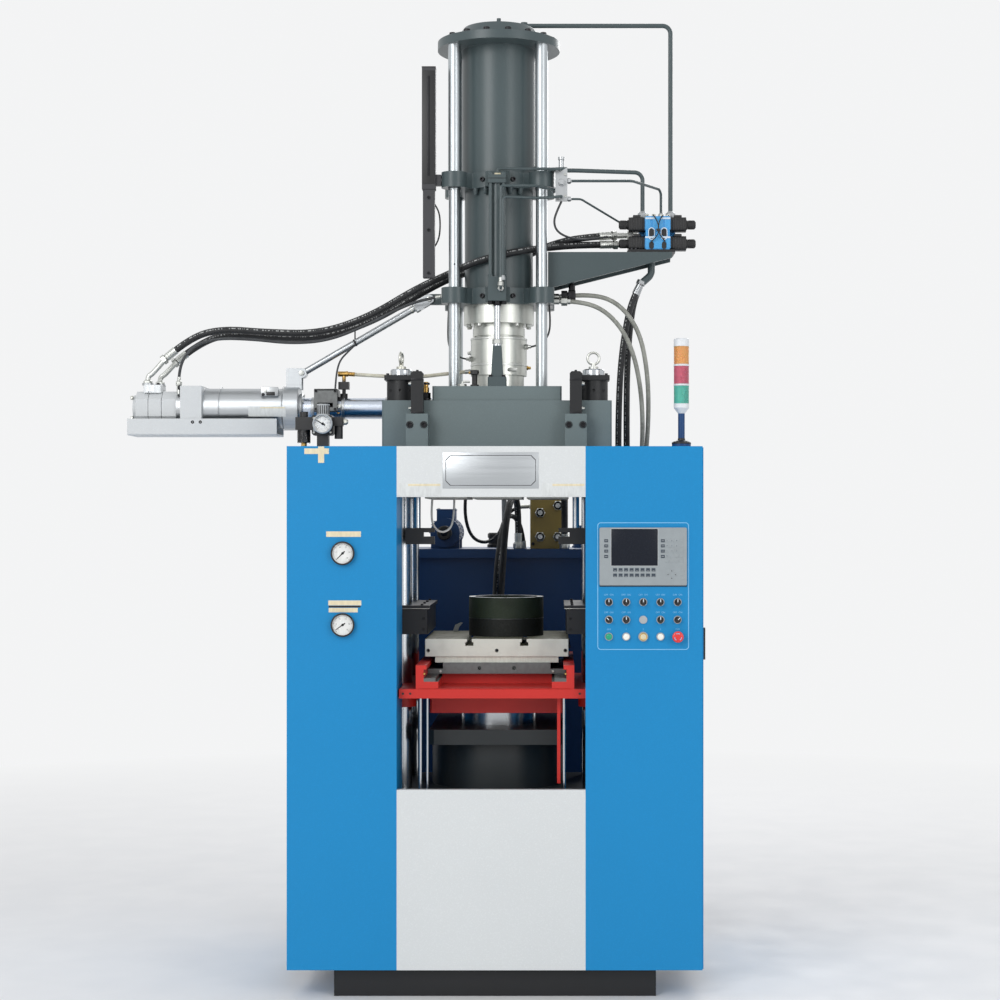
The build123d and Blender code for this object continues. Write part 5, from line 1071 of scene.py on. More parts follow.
def dial(name, x, y, z, radius, step_number):
    """A gauge's printed dial, rim and glass in front of the case's recess."""
    face = Shape(name + "_dial")
    face.turned(disc(radius, 0.0001), (x, y, z), forward, dial_white, 48)
    front = y - 0.0001
    marks = 50
    for mark in range(marks + 1):
        angle = math.radians(225 - 270 * mark / marks)
        long = mark % 10 == 0
        inner = radius * (0.78 if long else 0.84)
        width = 0.0005 if long else 0.00025
        along, across = (math.cos(angle), 0, math.sin(angle)), (math.sin(angle), 0, -math.cos(angle))
        outline = ((-width, inner), (width, inner), (width, radius * 0.91), (-width, radius * 0.91))
        face.prism(outline, (x, front, z), across, along, 0.00006, ink_black)
        if long:
            reach = radius * 0.63
            place = (x + reach * math.cos(angle), front, z + reach * math.sin(angle))
            face.text(str(step_number * mark // 10), place, radius * 0.17, ink_black, 0.0001)
    face.piece("frame", "white_plastic")

    window = Shape(name + "_window")
    depth = 0.0062
    window.turned(disc(radius, 0.001), (x, y - depth, z), forward, clear_glass, 48)
    window.piece("frame", "white_plastic")

    rim = Shape(name + "_rim")
    case = radius + 0.004
    outline = (
        (radius - 0.0006, 0), (radius - 0.0006, 0.0016), (radius + 0.0008, 0.0026), (case - 0.0008, 0.0026),
        (case + 0.0008, 0.0012), (case + 0.0008, -0.008), (case, -0.008), (case, 0.0), (radius - 0.0006, 0),
    )
    tone = silver_plastic if name == "air_gauge" else black_plastic
    rim.turned(outline, (x, y - depth - 0.0018, z), forward, tone, 48)
    rim.piece("frame", "black_plastic")


def gauges():
    """The dials of the two panel gauges and of the air service unit."""
    for name, z in (("upper_gauge", gauge_heights[0]), ("lower_gauge", gauge_heights[1])):
        dial(name, gauge_x, gauge_dial, z, gauge_radius, 5)
    x, y, z = air_gauge
    dial("air_gauge", x, y, z, air_gauge_radius, 2)


def air_service_unit():
    """Hexagon fittings, knob ribs, bowl and a bracket on the air service unit."""
    unit = Shape("air_unit_details")
    x, y, z = -0.624, -0.3, 1.945
    rib = 0.0016
    for dx, dy in around(20, 0.0225):
        rib_x, rib_y = x - 0.004 + dx, y + dy
        low, high = (rib_x - rib, rib_y - rib, z + 0.124), (rib_x + rib, rib_y + rib, z + 0.155)
        unit.box(low, high, black_plastic, 0.0006)
    unit.turned(
        ((0.0235, 0), (0.0235, 0.003), (0.02, 0.006), (0, 0.006)), (x - 0.004, y, z + 0.154), upward,
        silver_plastic, 32,
    )
    unit.turned(
        ((0.0245, 0), (0.0245, 0.005), (0.0225, 0.006), (0.0225, 0)), (x - 0.004, y, z + 0.116), upward,
        silver_plastic, 32,
    )
    hex_sleeve(unit, (x, y - 0.032, 2.031), forward, 0.03, 0.01, 0.008, brass)
    unit.turned(
        ((0.0238, 0), (0.0238, 0.046), (0.02, 0.048), (0.02, 0)), (x - 0.074, y, z + 0.016), upward,
        clear_glass, 32,
    )
    unit.turned(
        ((0.006, -0.012), (0.009, -0.01, 6), (0.009, 0.002, 6), (0, 0.002)), (x - 0.074, y, z + 0.018),
        upward, brass,
    )
    hex_sleeve(unit, (x + 0.068, y, z + 0.096), rightward, 0.02, 0.018, 0.006)
    hex_sleeve(unit, (x - 0.1, y, z + 0.09), leftward, 0.02, 0.002, 0.006)
    unit.box((x - 0.036, y - 0.0335, z + 0.06), (x - 0.022, y - 0.0315, z + 0.104), silver_plastic, 0.0005)
    for dx, dz in ((-0.034, 0.056), (0.026, 0.056), (0.026, 0.108), (-0.034, 0.108)):
        socket_screw(unit, (x + dx, y - 0.032, z + dz), forward, 0.005, zinc)
    unit.piece("frame", "black_plastic")


def tower_details():
    """Rings between the lenses, a rubber foot with its screws, and a small stub on top."""
    details = Shape("tower_details")
    x, y = tower_axis
    for z in (2.1, 2.166, 2.1705, 2.2365, 2.241, 2.307):
        details.turned(((0.0277, -0.0012), (0.0284, 0), (0.0277, 0.0012)), (x, y, z), upward, pole_white, 48)
    details.turned(
        ((0.0345, 0), (0.0345, 0.004), (0.03, 0.008), (0.014, 0.013), (0.0125, 0.02), (0.0125, 0.0)),
        (x, y, 1.9575), upward, black_plastic, 40,
    )
    for dx, dy in around(3, 0.027, 90):
        socket_screw(details, (x + dx, y + dy, 1.957), upward, 0.005)
    details.turned(recessed(0.004, 0, 0.014, 0.0065, 0.018), (x, y, 2.317), upward, pole_white)
    details.piece("frame", "grey_plastic")


# Beams, tie bars and table


def beam_details():
    """Screws, set screws and small valves on the upper beam."""
    beam = Shape("beam_fasteners")
    for side, place in four_signs:
        x = side * mount_x + place * 0.0255
        beam.turned(sleeve(0.0112, 0.0006, 0.0135), (x, mount_front, 2.03), forward, dark_paint)
        for z in (2.03, 1.9):
            socket_screw(beam, (x, mount_front + 0.004, z), forward, 0.0135)
    beam.piece("frame", "black_steel")

    stop = Shape("limit_knob")
    outline = (
        (0.016, 0), (0.016, 0.006), (0.01, 0.008), (0.01, 0.04), (0.011, 0.043),
        (0.0165, 0.045), (0.0165, 0.057), (0.0145, 0.06), (0, 0.06),
    )
    stop.turned(outline, (-0.083, -0.205, raised_top), upward, black_plastic, 36)
    stop.turned(hexagon(0.014, 0.009), (-0.128, -0.207, raised_top), upward, zinc)
    arm = smooth_line((
        (-0.128, -0.207, raised_top + 0.008), (-0.128, -0.207, 2.184), (-0.128, -0.207, 2.192),
        (-0.12, -0.207, 2.192), (-0.1, -0.207, 2.192),
    ))
    stop.tube(arm, 0.004, zinc)
    stop.piece("frame", "black_plastic")

    valve = Shape("beam_check_valve")
    x, y = -0.262, -0.2
    valve.turned(
        ((0.02, 0), (0.02, 0.01), (0.015, 0.012, 6), (0.015, 0.03, 6), (0.011, 0.032), (0, 0.032)),
        (x, y, beam_top), upward, black_oxide,
    )
    valve.turned(
        ((0.0115, 0), (0.0115, 0.02), (0.009, 0.022), (0.009, 0.04), (0, 0.041)), (x, y, beam_top + 0.03),
        upward, brass,
    )
    valve.turned(((0.014, 0), (0.014, 0.007), (0, 0.008)), (x, y, beam_top + 0.06), upward, black_oxide)
    valve.box((x - 0.034, y - 0.012, beam_top), (x - 0.02, y + 0.012, beam_top + 0.052), black_oxide, 0.002)
    valve.box((x + 0.016, y - 0.03, beam_top), (x + 0.024, y + 0.03, beam_top + 0.004), zinc)
    valve.piece("frame", "black_steel")

    nuts = Shape("lock_plate_screws")
    for sx, sy in four_signs:
        x, y = sx * tie_bar_x, sy * tie_bar_y
        for dx, dy in four_signs:
            socket_screw(nuts, (x + dx * 0.046, y + dy * 0.046, 2.215), upward, 0.0075)
        for dx, dy in around(4, 0.0532, 45):
            outline = recessed(0.0055, -0.001, 0.0006, 0.0032, -0.002)
            nuts.turned(outline, (x + dx, y + dy, 2.16), (dx, dy, 0), black_oxide, 18)
        nuts.turned(sleeve(0.0265, 0.0008, 0.0235), (x, y, 2.2392), upward, machined, 40)
        if sy > 0:
            nuts.turned(disc(0.011, 0.001), (x, y, 2.2385), upward, black_oxide)
    nuts.piece("frame", "black_steel")

    rings = Shape("lifting_rings")
    for side, turn in ((-1, 80), (1, 0)):
        centre = Vector((side * tie_bar_x, -tie_bar_y, 2.2795))
        across = Vector((math.cos(math.radians(turn)), math.sin(math.radians(turn)), 0))
        rings.hoop(centre, across, Vector(upward), 0.0215, 0.0048, zinc)
    rings.piece("frame", "machined_steel")


def ejector_details():
    """Caps, ports and screws on the slim ejector cylinders and the lower ejector bars."""
    caps = Shape("upper_ejector_caps")
    for side in (-1, 1):
        x, y = side * mount_x, -0.284
        half = 0.0225
        for low, high in ((2.07, 2.078), (2.19, 2.199)):
            caps.box((x - half, y - half, low), (x + half, y + half, high), black_oxide, 0.0015)
        for z in (2.09, 2.18):
            caps.turned(
                ((0.008, 0), (0.008, 0.004), (0.0055, 0.005), (0.0055, 0.01), (0, 0.01)),
                (x + side * 0.022, y, z), (side, 0, 0), zinc, 20,
            )
        socket_screw(caps, (x, y, 2.2245), upward, 0.0065)
    caps.piece("frame", "black_steel")

    for side, name in ((-1, "left"), (1, "right")):
        bar = Shape(name + "_lower_ejector_screws")
        for dx in (0.275, 0.403):
            for dy in (-0.225, -0.075, 0.075, 0.225):
                socket_screw(bar, (side * dx, dy, 1.3715), upward, 0.007)
        bar.box((side * 0.246, -0.2398, 1.36), (side * 0.4248, -0.2404, 1.3614), zinc, 0.0002)
        for z in (1.285, 1.325):
            socket_screw(bar, (side * 0.268, -0.2385, z), forward, 0.006)
        bar.piece(name + "_lower_ejector", "black_steel")


def table_details():
    """Liner screws, end stops and grease nipples on the slide frame; carriage and platen fasteners."""
    table = Shape("slide_frame_details")
    for side in (-1, 1):
        x = side * 0.232
        for place in range(9):
            y = -0.44 + place * 0.084
            table.turned(recessed(0.0052, 0, 0.0004, 0.0024, -0.002), (x, y, 1.124), upward, black_oxide, 18)
        hex_head(table, (side * 0.25, -0.466, 1.14), forward, 0.007, 0.004, brass, False)
        for x in (side * 0.326, side * 0.3):
            table.turned(disc(0.0042, 0.0002), (x, -0.4702, 1.07), forward, ink_black, 16)
    table.tube(((-0.264, -0.4672, 1.0872), (0.264, -0.4672, 1.0872)), 0.0012, red, 8)
    table.piece("table", "red_paint")

    shuttle = Shape("shuttle_details")
    for x in (-0.205, 0.205):
        socket_screw(shuttle, (x, -0.2615, 1.1335), forward, 0.006, zinc)
    for x in (-0.25, 0.0, 0.25):
        outline = recessed(0.0066, 0, 0.001, 0.0052, -0.01)
        shuttle.turned(outline, (x, -0.262, 1.209), forward, black_oxide, 20)
    for side in (-1, 1):
        for y in (-0.2, 0.0, 0.2):
            socket_screw(shuttle, (side * 0.262, y, 1.219), (side, 0, 0), 0.008)
    shuttle.piece("shuttle", "platen")

    mould = Shape("mould_details")
    x, top = 0.028, 1.396
    outline = ((0.118, -0.001), (0.118, 0.0006), (0.1402, 0.0006), (0.1402, -0.0012), (0.118, -0.001))
    mould.turned(outline, (x, 0, top), upward, machined, 96)
    mould.turned(
        ((0.1409, 0), (0.1409, 0.0012), (0.1404, 0.0012), (0.1404, 0), (0.1409, 0)), (x, 0, 1.3165), upward,
        dark_steel, 96,
    )
    for dx, dy in around(6, 0.129, 30):
        outline = recessed(0.006, 0, 0.0006, 0.003, -0.003)
        mould.turned(outline, (x + dx, dy, top + 0.0004), upward, black_oxide, 18)
    mould.piece("shuttle", "mould_iron")


# Injection unit


def unit_fasteners():
    """Screws, nuts and plates on the cylinder, the yokes, the lift cylinder and its anchor."""
    unit = Shape("injection_unit_fasteners")
    for x, y in around(16, 0.203, 11.25):
        socket_screw(unit, (x, y, flange_top), upward, 0.016)
    for sx, sy in four_signs:
        x, y = sx * column_x, sy * column_y
        unit.turned(disc(0.0235, 0.003), (x, y, flange_top), upward, machined, 32)
        outline = ((0.024, 0), (0.024, 0.004), (0.0212, 0.006), (0.0212, 0))
        unit.turned(outline, (x, y, upper_yoke[0] - 0.006), upward, column_chrome, 40)
    for x in (-0.056, 0.056):
        y = -math.sqrt(cylinder_radius**2 - x**2)
        out = (x / cylinder_radius, y / cylinder_radius, 0)
        for z in (2.948, 2.516):
            socket_screw(unit, (x * 0.985, y * 0.985, z), out, 0.012)
    for x in (-0.082, -0.046, 0.047, 0.083):
        y = -math.sqrt(yoke_radius**2 - x**2)
        outline = ((0.01, 0), (0.01, -0.004), (0.006, -0.022), (0.004, -0.024), (0, -0.024))
        unit.turned(outline, (x, y, upper_yoke[0]), upward, unit_green, 20)
    for x in (-0.115, -0.06, 0.06, 0.115):
        y = math.sqrt(yoke_radius**2 - x**2)
        for z in (upper_yoke[0], lower_yoke[0]):
            hex_head(unit, (x, y, z), downward, 0.016, 0.01, black_oxide)
    for z in (2.5775, 2.95):
        for sx, sy in four_signs:
            hex_head(unit, (sx * 0.024, lift_y + sy * 0.024, z), upward, 0.018, 0.01, unit_green)
    unit.box((-0.01, lift_y - 0.016, 2.95), (0.024, lift_y + 0.012, 2.959), beige_plastic, 0.002)
    unit.box((-0.0345, lift_y - 0.0345, 2.935), (0.0345, lift_y - 0.0335, 2.938), dark_paint, 0.0005)
    hex_sleeve(unit, (0.014, -0.2335, 2.532), forward, 0.02, 0.016, 0.005)
    unit.turned(
        ((0.009, 0, 6), (0.009, 0.014, 6), (0.007, 0.016), (0.007, 0.03), (0.0052, 0.032), (0, 0.032)),
        (0.014, -0.254, 2.54), upward, zinc,
    )
    unit.turned(
        ((0.0165, 0), (0.0165, -0.01), (0.0135, -0.016), (0.0118, -0.016)), (0, lift_y, lower_yoke[0]),
        upward, black_oxide, 32,
    )
    for x in (-0.024, 0.024):
        unit.turned(hexagon(0.0085, -0.012), (x, lift_y - 0.016, lower_yoke[0]), upward, black_oxide)
    unit.piece("injection_unit", "unit_paint")

    anchor = Shape("lift_anchor_details")
    for sx, sy in four_signs:
        socket_screw(anchor, (sx * 0.024, lift_y + sy * 0.024, 2.209), upward, 0.009)
    anchor.turned(
        ((0.013, 0), (0.013, 0.006), (0.0165, 0.008, 6), (0.0165, 0.024, 6), (0.012, 0.026)),
        (0, lift_y, 2.324), upward, zinc,
    )
    anchor.piece("frame", "unit_paint")

    column = Shape("column_details")
    y = -0.12 - math.sqrt(0.021**2 - 0.003**2)
    column.turned(
        recessed(0.0034, 0.0004, 0.001, 0.0022, 0.0002), (-0.16, y - 0.0004, 2.633), forward, black_oxide, 18
    )
    column.piece("injection_unit", "chromed_bar")


def barrel_details():
    """Heater clamps, sensor nipples and ring screws round the injection barrel."""
    barrel = Shape("barrel_details")
    for x, y in around(10, 0.118, 18):
        socket_screw(barrel, (x, y, 2.419), downward, 0.012, zinc)
    for z in (2.262, 2.36):
        outline = ((0.1056, 0), (0.107, 0.001), (0.107, 0.008), (0.1056, 0.009))
        barrel.turned(outline, (0, 0, z), upward, zinc, 64)
    for angle, z, tone in (
        (-15, 2.336, zinc), (-165, 2.29, zinc), (-150, 2.236, brass), (160, 2.318, zinc), (20, 2.262, brass)
    ):
        turn = math.radians(angle)
        out = (math.cos(turn), math.sin(turn), 0)
        place = (0.105 * out[0], 0.105 * out[1], z)
        outline = (
            (0.0085, 0, 6), (0.0085, 0.01, 6), (0.006, 0.012), (0.006, 0.02), (0.0045, 0.022), (0, 0.022)
        )
        barrel.turned(outline, place, out, tone)
    barrel.box((0.04, -0.1075, 2.24), (0.07, -0.085, 2.252), zinc)
    barrel.piece("injection_unit", "machined_steel")
    for name, route, diameter in (
        (
            "heater_lead",
            (
                (0.122, -0.033, 2.336), (0.15, -0.046, 2.34), (0.188, -0.054, 2.372), (0.196, -0.058, 2.43),
                (0.19, -0.06, 2.494),
            ),
            0.007,
        ),
        (
            "sensor_lead",
            (
                (-0.122, -0.033, 2.29), (-0.15, -0.052, 2.294), (-0.186, -0.066, 2.326), (-0.19, -0.074, 2.4),
                (-0.184, -0.08, 2.494),
            ),
            0.006,
        ),
    ):
        hose(name, route, diameter, thin_hose, "injection_unit")


def valve_details():
    """Plates, ports, plugs, screws and solenoid ribs on the directional valves; the ports' openings are black
    ovals of painted shade.
    """
    valve = Shape("valve_details")
    middle = (valve_left + valve_right) / 2
    y = valve_front
    for low, high in valve_levels:
        z = (low + high) / 2
        valve.box(
            (valve_left + 0.002, y - 0.003, low + 0.004), (valve_left + 0.022, y + 0.001, high - 0.004),
            light_blue, 0.002,
        )
        valve.box(
            (valve_right - 0.022, y - 0.003, low + 0.004), (valve_right - 0.002, y + 0.001, high - 0.004),
            light_blue, 0.002,
        )
        valve.box(
            (middle - 0.02, y - 0.004, low + 0.002), (middle + 0.02, y + 0.001, high - 0.002), light_blue,
            0.002,
        )
        for x0, x1 in ((valve_left + 0.001, middle - 0.012), (middle + 0.012, valve_right - 0.001)):
            valve.box((x0, y - 0.0052, high - 0.012), (x1, y + 0.001, high - 0.005), valve_white)
        for dx in (-0.04, 0.04):
            for dy in (-0.054, 0.01):
                socket_screw(valve, (middle + dx, dy, high), upward, 0.007)
        for side, start in ((-1, valve_left), (1, valve_right)):
            solenoid_details(valve, start, side, z)
    low, high = valve_levels[0][1], valve_levels[1][0]
    # The ports and the slot are black ovals: painted shade for the dark inside of their openings.
    for dx in (-0.0235, 0.0235):
        x, z = middle + dx, (low + high) / 2 - 0.004
        port = oval(x, z, 0.0095, 0.02)
        valve.prism(port, (0, y - 0.0012, 0), rightward, upward, 0.0016, ink_black)
        valve.band(oval(x, z, 0.0125, 0.0235), port, y - 0.0046, y, valve_white)
        slot = oval(x, valve_levels[0][0] + 0.014, 0.0085, 0.014)
        valve.prism(slot, (0, y - 0.004, 0), rightward, upward, 0.0012, ink_black)
    for dx in (-0.04, -0.014, 0.014, 0.04):
        hex_head(valve, (middle + dx, -0.052, valve_levels[1][1]), upward, 0.013, 0.01)
    for x in (0.5, 0.515):
        for dy in (-0.055, 0.055):
            socket_screw(valve, (x, dy, 2.698), upward, 0.009)
    for x in (0.545, 0.651):
        hex_sleeve(valve, (x, 0.047, manifold_top), upward, 0.032, 0.03, 0.0085, machined)
    for x, z in ((0.56, 2.715), (0.6, 2.715), (0.64, 2.715), (0.6, 2.8)):
        valve.turned(
            ((0.01, 0), (0.01, 0.003), (0.005, 0.003, 6), (0.005, 0, 6), (0, 0)), (x, 0.07, z), backward, zinc
        )
    valve.piece("injection_unit", "valve_body")

    ties = Shape("valve_cable_ties")
    first = smooth_line((
        (middle - 0.018, y - 0.006, 2.826), (middle - 0.004, y - 0.02, 2.806),
        (middle + 0.004, y - 0.022, 2.768), (middle - 0.004, y - 0.018, 2.742),
        (middle - 0.026, y - 0.008, 2.724),
    ))
    second = smooth_line((
        (middle + 0.018, y - 0.006, 2.824), (middle + 0.004, y - 0.018, 2.804),
        (middle + 0.001, y - 0.02, 2.766), (middle + 0.01, y - 0.016, 2.744),
        (middle + 0.028, y - 0.008, 2.726),
    ))
    for wire in (first, second):
        ties.tube(wire, 0.0022, black_plastic, 10)
    ties.box((middle - 0.006, y - 0.026, 2.762), (middle + 0.008, y - 0.016, 2.772), black_plastic)
    ties.piece("injection_unit", "black_plastic")


def oval(x, z, half_width, half_height):
    """A slot's loop of (x, z) points."""
    steps = 8
    loop = []
    flat = half_height - half_width
    for turn, centre in ((0, z + flat), (180, z - flat)):
        for step in range(steps + 1):
            angle = math.radians(turn + 180 * step / steps)
            loop.append((x + half_width * math.cos(angle), centre + half_width * math.sin(angle)))
    return loop


def solenoid_details(shape, start, side, z):
    """Ribs, a plug socket and a knurled knob on one solenoid."""
    y = -0.024
    for step in range(5):
        x = start + side * (0.01 + 0.01 * step)
        low, high = sorted((x - 0.0022, x + 0.0022))
        shape.box((low, y - 0.0285, z - 0.022), (high, y + 0.0285, z + 0.022), black_plastic, 0.0012)
    end = start + side * 0.06
    outline = ((0.0185, 0), (0.0185, 0.004), (0.0165, 0.006), (0.0165, 0.008))
    shape.turned(outline, (end, y, z), (side, 0, 0), black_plastic, 36)
    near, far = sorted((end + side * 0.009, end + side * 0.031))
    rib = 0.001
    for dy, dz in around(24, 0.0162):
        low, high = (near, y + dy - rib, z + dz - rib), (far, y + dy + rib, z + dz + rib)
        shape.box(low, high, black_plastic, 0.0005)
    shape.turned(
        ((0.012, 0), (0.012, 0.003), (0.006, 0.0036), (0, 0.0036)), (end + side * 0.0335, y, z), (side, 0, 0),
        black_plastic, 32,
    )
    near, far = sorted((start + side * 0.014, start + side * 0.044))
    shape.box((near, y - 0.016, z + 0.024), (far, y + 0.016, z + 0.036), black_plastic, 0.003)


def pipe_details():
    """Union nuts on the steel pipes and the check valve by the upper yoke."""
    pipes = Shape("pipe_union_nuts")
    hex_sleeve(pipes, (0.1405, 0, 3.005), rightward, 0.03, 0.026, 0.008, unit_green)
    hex_sleeve(pipes, (0.095, 0.047, 3.536), upward, 0.034, 0.02, 0.009, unit_green)
    hex_sleeve(pipes, (0.258, -0.155, 2.939), rightward, 0.019, 0.016, 0.0052, machined)
    hex_sleeve(pipes, (0.258, -0.155, 2.872), rightward, 0.016, 0.016, 0.0042, machined)
    hex_sleeve(pipes, (0.615, 0.047, manifold_top), upward, 0.02, 0.024, 0.0052, machined)
    hex_sleeve(pipes, (0.214, -0.155, 2.905), leftward, 0.018, 0.014, 0.0052, machined)
    x, y, z = 0.236, -0.1725, 2.93
    pipes.turned(
        ((0.013, 0), (0.013, 0.006), (0.009, 0.008, 6), (0.009, 0.02, 6), (0, 0.02)), (x, y, z), forward,
        machined,
    )
    pipes.turned(
        ((0.01, 0), (0.01, 0.03), (0.012, 0.032), (0.012, 0.042), (0, 0.043)), (x, -0.155, 2.985), upward,
        machined,
    )
    lift_pipe = smooth_line((
        (0.022, -0.254, 2.568), (0.022, -0.254, 2.835), (0.022, -0.254, 2.865), (0.05, -0.247, 2.865),
        (0.15, -0.2224, 2.865), (0.2, -0.2095, 2.869), (0.236, -0.198, 2.876), (0.236, -0.185, 2.876),
        (0.236, -0.17, 2.876),
    ))
    pipes.tube(lift_pipe, 0.005, unit_green, 14)
    hex_sleeve(pipes, (0.022, -0.254, 2.56), upward, 0.016, 0.018, 0.0052, machined)
    for dz in (2.88, 2.96):
        socket_screw(pipes, (x + 0.014, -0.172, dz), forward, 0.006, zinc)
    pipes.piece("injection_unit", "machined_steel")
    route = (
        (0.236, -0.158, 2.862), (0.222, -0.17, 2.832), (0.206, -0.166, 2.786), (0.222, -0.136, 2.75),
        (0.28, -0.08, 2.734), (0.35, -0.03, 2.742), (0.412, 0.01, 2.756),
    )
    hose("check_valve_lead", route, 0.008, thin_hose, "injection_unit")


def strut_and_post():
    """The strut's cable tie, the clevis pins' rings and the sensor post's fittings."""
    strut = Shape("strut_details")
    strut_start = Vector((-0.742, 0, 2.238))
    strut_end = Vector((-0.262, 0, 2.517))
    along = (strut_end - strut_start).normalized()
    for share, half in ((0.415, 0.0025), (0.86, 0.004)):
        place = strut_start.lerp(strut_end, share)
        tone = black_plastic if share < 0.5 else zinc
        outline = ((0.0126, -half), (0.0142, -half), (0.0142, half), (0.0126, half), (0.0126, -half))
        strut.turned(outline, place, along, tone, 32)
    tie = strut_start.lerp(strut_end, 0.415)
    strut.box(
        (tie.x - 0.003, -0.004, tie.z + 0.013), (tie.x + 0.002, 0.003, tie.z + 0.05), black_plastic, 0.0008
    )
    strut.box(
        (tie.x - 0.004, -0.0165, tie.z - 0.004), (tie.x + 0.005, -0.0115, tie.z + 0.005), black_plastic,
        0.0008,
    )
    for x, z, reach in ((-0.742, 2.238, 0.0325), (-0.262, 2.517, 0.0265)):
        for side in (-1, 1):
            strut.turned(
                ((0.0095, 0), (0.0095, 0.003), (0.007, 0.004), (0, 0.004)), (x, side * (reach - 0.001), z),
                (0, side, 0), zinc, 28,
            )
    strut.turned(
        ((0.015, -0.004), (0.0185, 0, 6), (0.0185, 0.016, 6), (0.0135, 0.02)),
        strut_start.lerp(strut_end, 0.885), along, zinc,
    )
    strut.piece("injection_unit", "machined_steel")
    tie_point = tuple(tie + Vector((0.0, -0.015, -0.01)))
    route = (
        tie_point, (-0.57, -0.022, 2.316), (-0.594, -0.026, 2.29), (-0.606, -0.03, 2.258),
        (-0.612, -0.034, 2.215), (-0.614, -0.04, 2.172),
    )
    hose("throat_sensor_lead", route, 0.007, thin_hose, "injection_unit")

    post = Shape("sensor_post_details")
    x, y = -0.256, -0.12
    post.box((x - 0.023, y - 0.0262, 2.93), (x + 0.023, y - 0.0248, 3.35), black_plastic, 0.0006)
    post.box((x - 0.0045, y - 0.0275, 2.96), (x + 0.0045, y - 0.0255, 3.33), black_oxide, 0.0006)
    for z in (2.6, 2.76, 2.88):
        socket_screw(post, (x, y - 0.0215, z), forward, 0.007)
    post.box((x - 0.026, y - 0.026, 3.362), (x + 0.026, y + 0.026, 3.366), black_plastic)
    post.box((x - 0.01, y + 0.021, 2.7), (x + 0.018, y + 0.034, 2.78), black_plastic, 0.002)
    post.piece("injection_unit", "black_steel")
    route = (
        (x + 0.012, y + 0.03, 2.872), (x + 0.034, y + 0.04, 2.846), (x + 0.04, y + 0.044, 2.79),
        (x + 0.034, y + 0.044, 2.73), (x + 0.006, y + 0.038, 2.69), (x - 0.002, y + 0.024, 2.64),
    )
    hose("post_sensor_lead", route, 0.006, thin_hose, "injection_unit")


# Feeder


def feeder_details():
    """Screws, a switch window, a bare plate, rings and fittings on the feeder."""
    feeder = Shape("feeder_details")
    for x in (-1.14, -1.111):
        feeder.turned(
            ((0.0062, -0.002), (0.0062, 0.0002), (0.0042, 0.0002), (0.003, -0.002), (0, -0.002)),
            (x, -0.095, 2.05), forward, black_oxide,
        )
        socket_screw(feeder, (x, -0.0925, 2.05), forward, 0.006)
    for sy in (-1, 1):
        for z in (2.03, 2.18):
            socket_screw(feeder, (-1.188, sy * 0.074, z), leftward, 0.011)
    for y, z in around(8, 0.0615, 22.5):
        socket_screw(feeder, (-1.208, y, feeder_z + z), leftward, 0.006)
    for x in (-1.0475, -0.812, -0.7515):
        outline = ((0.0825, -0.001), (0.0834, -0.0006), (0.0834, 0.0006), (0.0825, 0.001))
        feeder.turned(outline, (x, 0, feeder_z), rightward, machined, 72)
    feeder.turned(
        ((0.04, 0), (0.056, 0), (0.056, 0.01), (0.053, 0.013), (0.04, 0.013)), (-0.75, 0, feeder_z),
        rightward, machined, 64,
    )
    for y, z in around(6, 0.0485, 30):
        socket_screw(feeder, (-0.738, y, feeder_z + z), rightward, 0.006, zinc)
    for x in (-0.706, -0.592, -0.428):
        feeder.turned(
            ((0.0395, 0), (0.0425, 0.001), (0.0425, 0.011), (0.0395, 0.012)), (x, 0, feeder_z), rightward,
            machined, 56,
        )
    # The switch window near the top of the housing's front, and the bare plate under it.
    feeder.box((-0.89, -0.0715, 2.148), (-0.824, -0.052, 2.183), machined, 0.003)
    feeder.box((-0.868, -0.0735, 2.15), (-0.836, -0.07, 2.164), black_plastic, 0.002)
    feeder.turned(((0.006, 0), (0.006, 0.005), (0, 0.006)), (-0.88, -0.071, 2.154), forward, black_oxide, 20)
    feeder.turned(((0.006, 0), (0.006, 0.005), (0, 0.006)), (-0.872, -0.071, 2.167), forward, zinc, 20)
    curved_plate(feeder, -0.934, -0.794, -24, 2, 0.0832, 0.0009, label_paper)
    curved_plate(feeder, -0.888, -0.798, -2.5, 0.5, 0.0842, 0.0003, tape)
    feeder.piece("injection_unit", "machined_steel")

    throat = Shape("throat_details")
    for x in (-0.684, -0.612):
        for z in (2.168, 2.1):
            socket_screw(throat, (x, -0.0615, z), forward, 0.0065)
    throat.box((-0.69, -0.0632, 2.1735), (-0.605, 0.045, 2.1765), dark_steel)
    throat.box((-0.606, -0.03, 2.088), (-0.59, 0.03, 2.148), black_oxide, 0.003)
    throat.turned(
        ((0.0095, 0), (0.0095, 0.014), (0.007, 0.016), (0, 0.016)), (-0.598, -0.034, 2.112), forward, zinc
    )
    throat.turned(hexagon(0.006, 0.008), (-0.602, -0.028, 2.09), forward, brass)
    throat.piece("injection_unit", "machined_steel")

    motor = Shape("feeder_motor_details")
    for sy, sz in four_signs:
        hex_head(motor, (-1.374, sy * 0.038, feeder_z + sz * 0.038), leftward, 0.013, 0.009)
    for x in (-1.326, -1.278):
        for y in (-0.042, 0.042):
            socket_screw(motor, (x, y, feeder_z + 0.0865), upward, 0.008)
    motor.piece("injection_unit", "machined_steel")


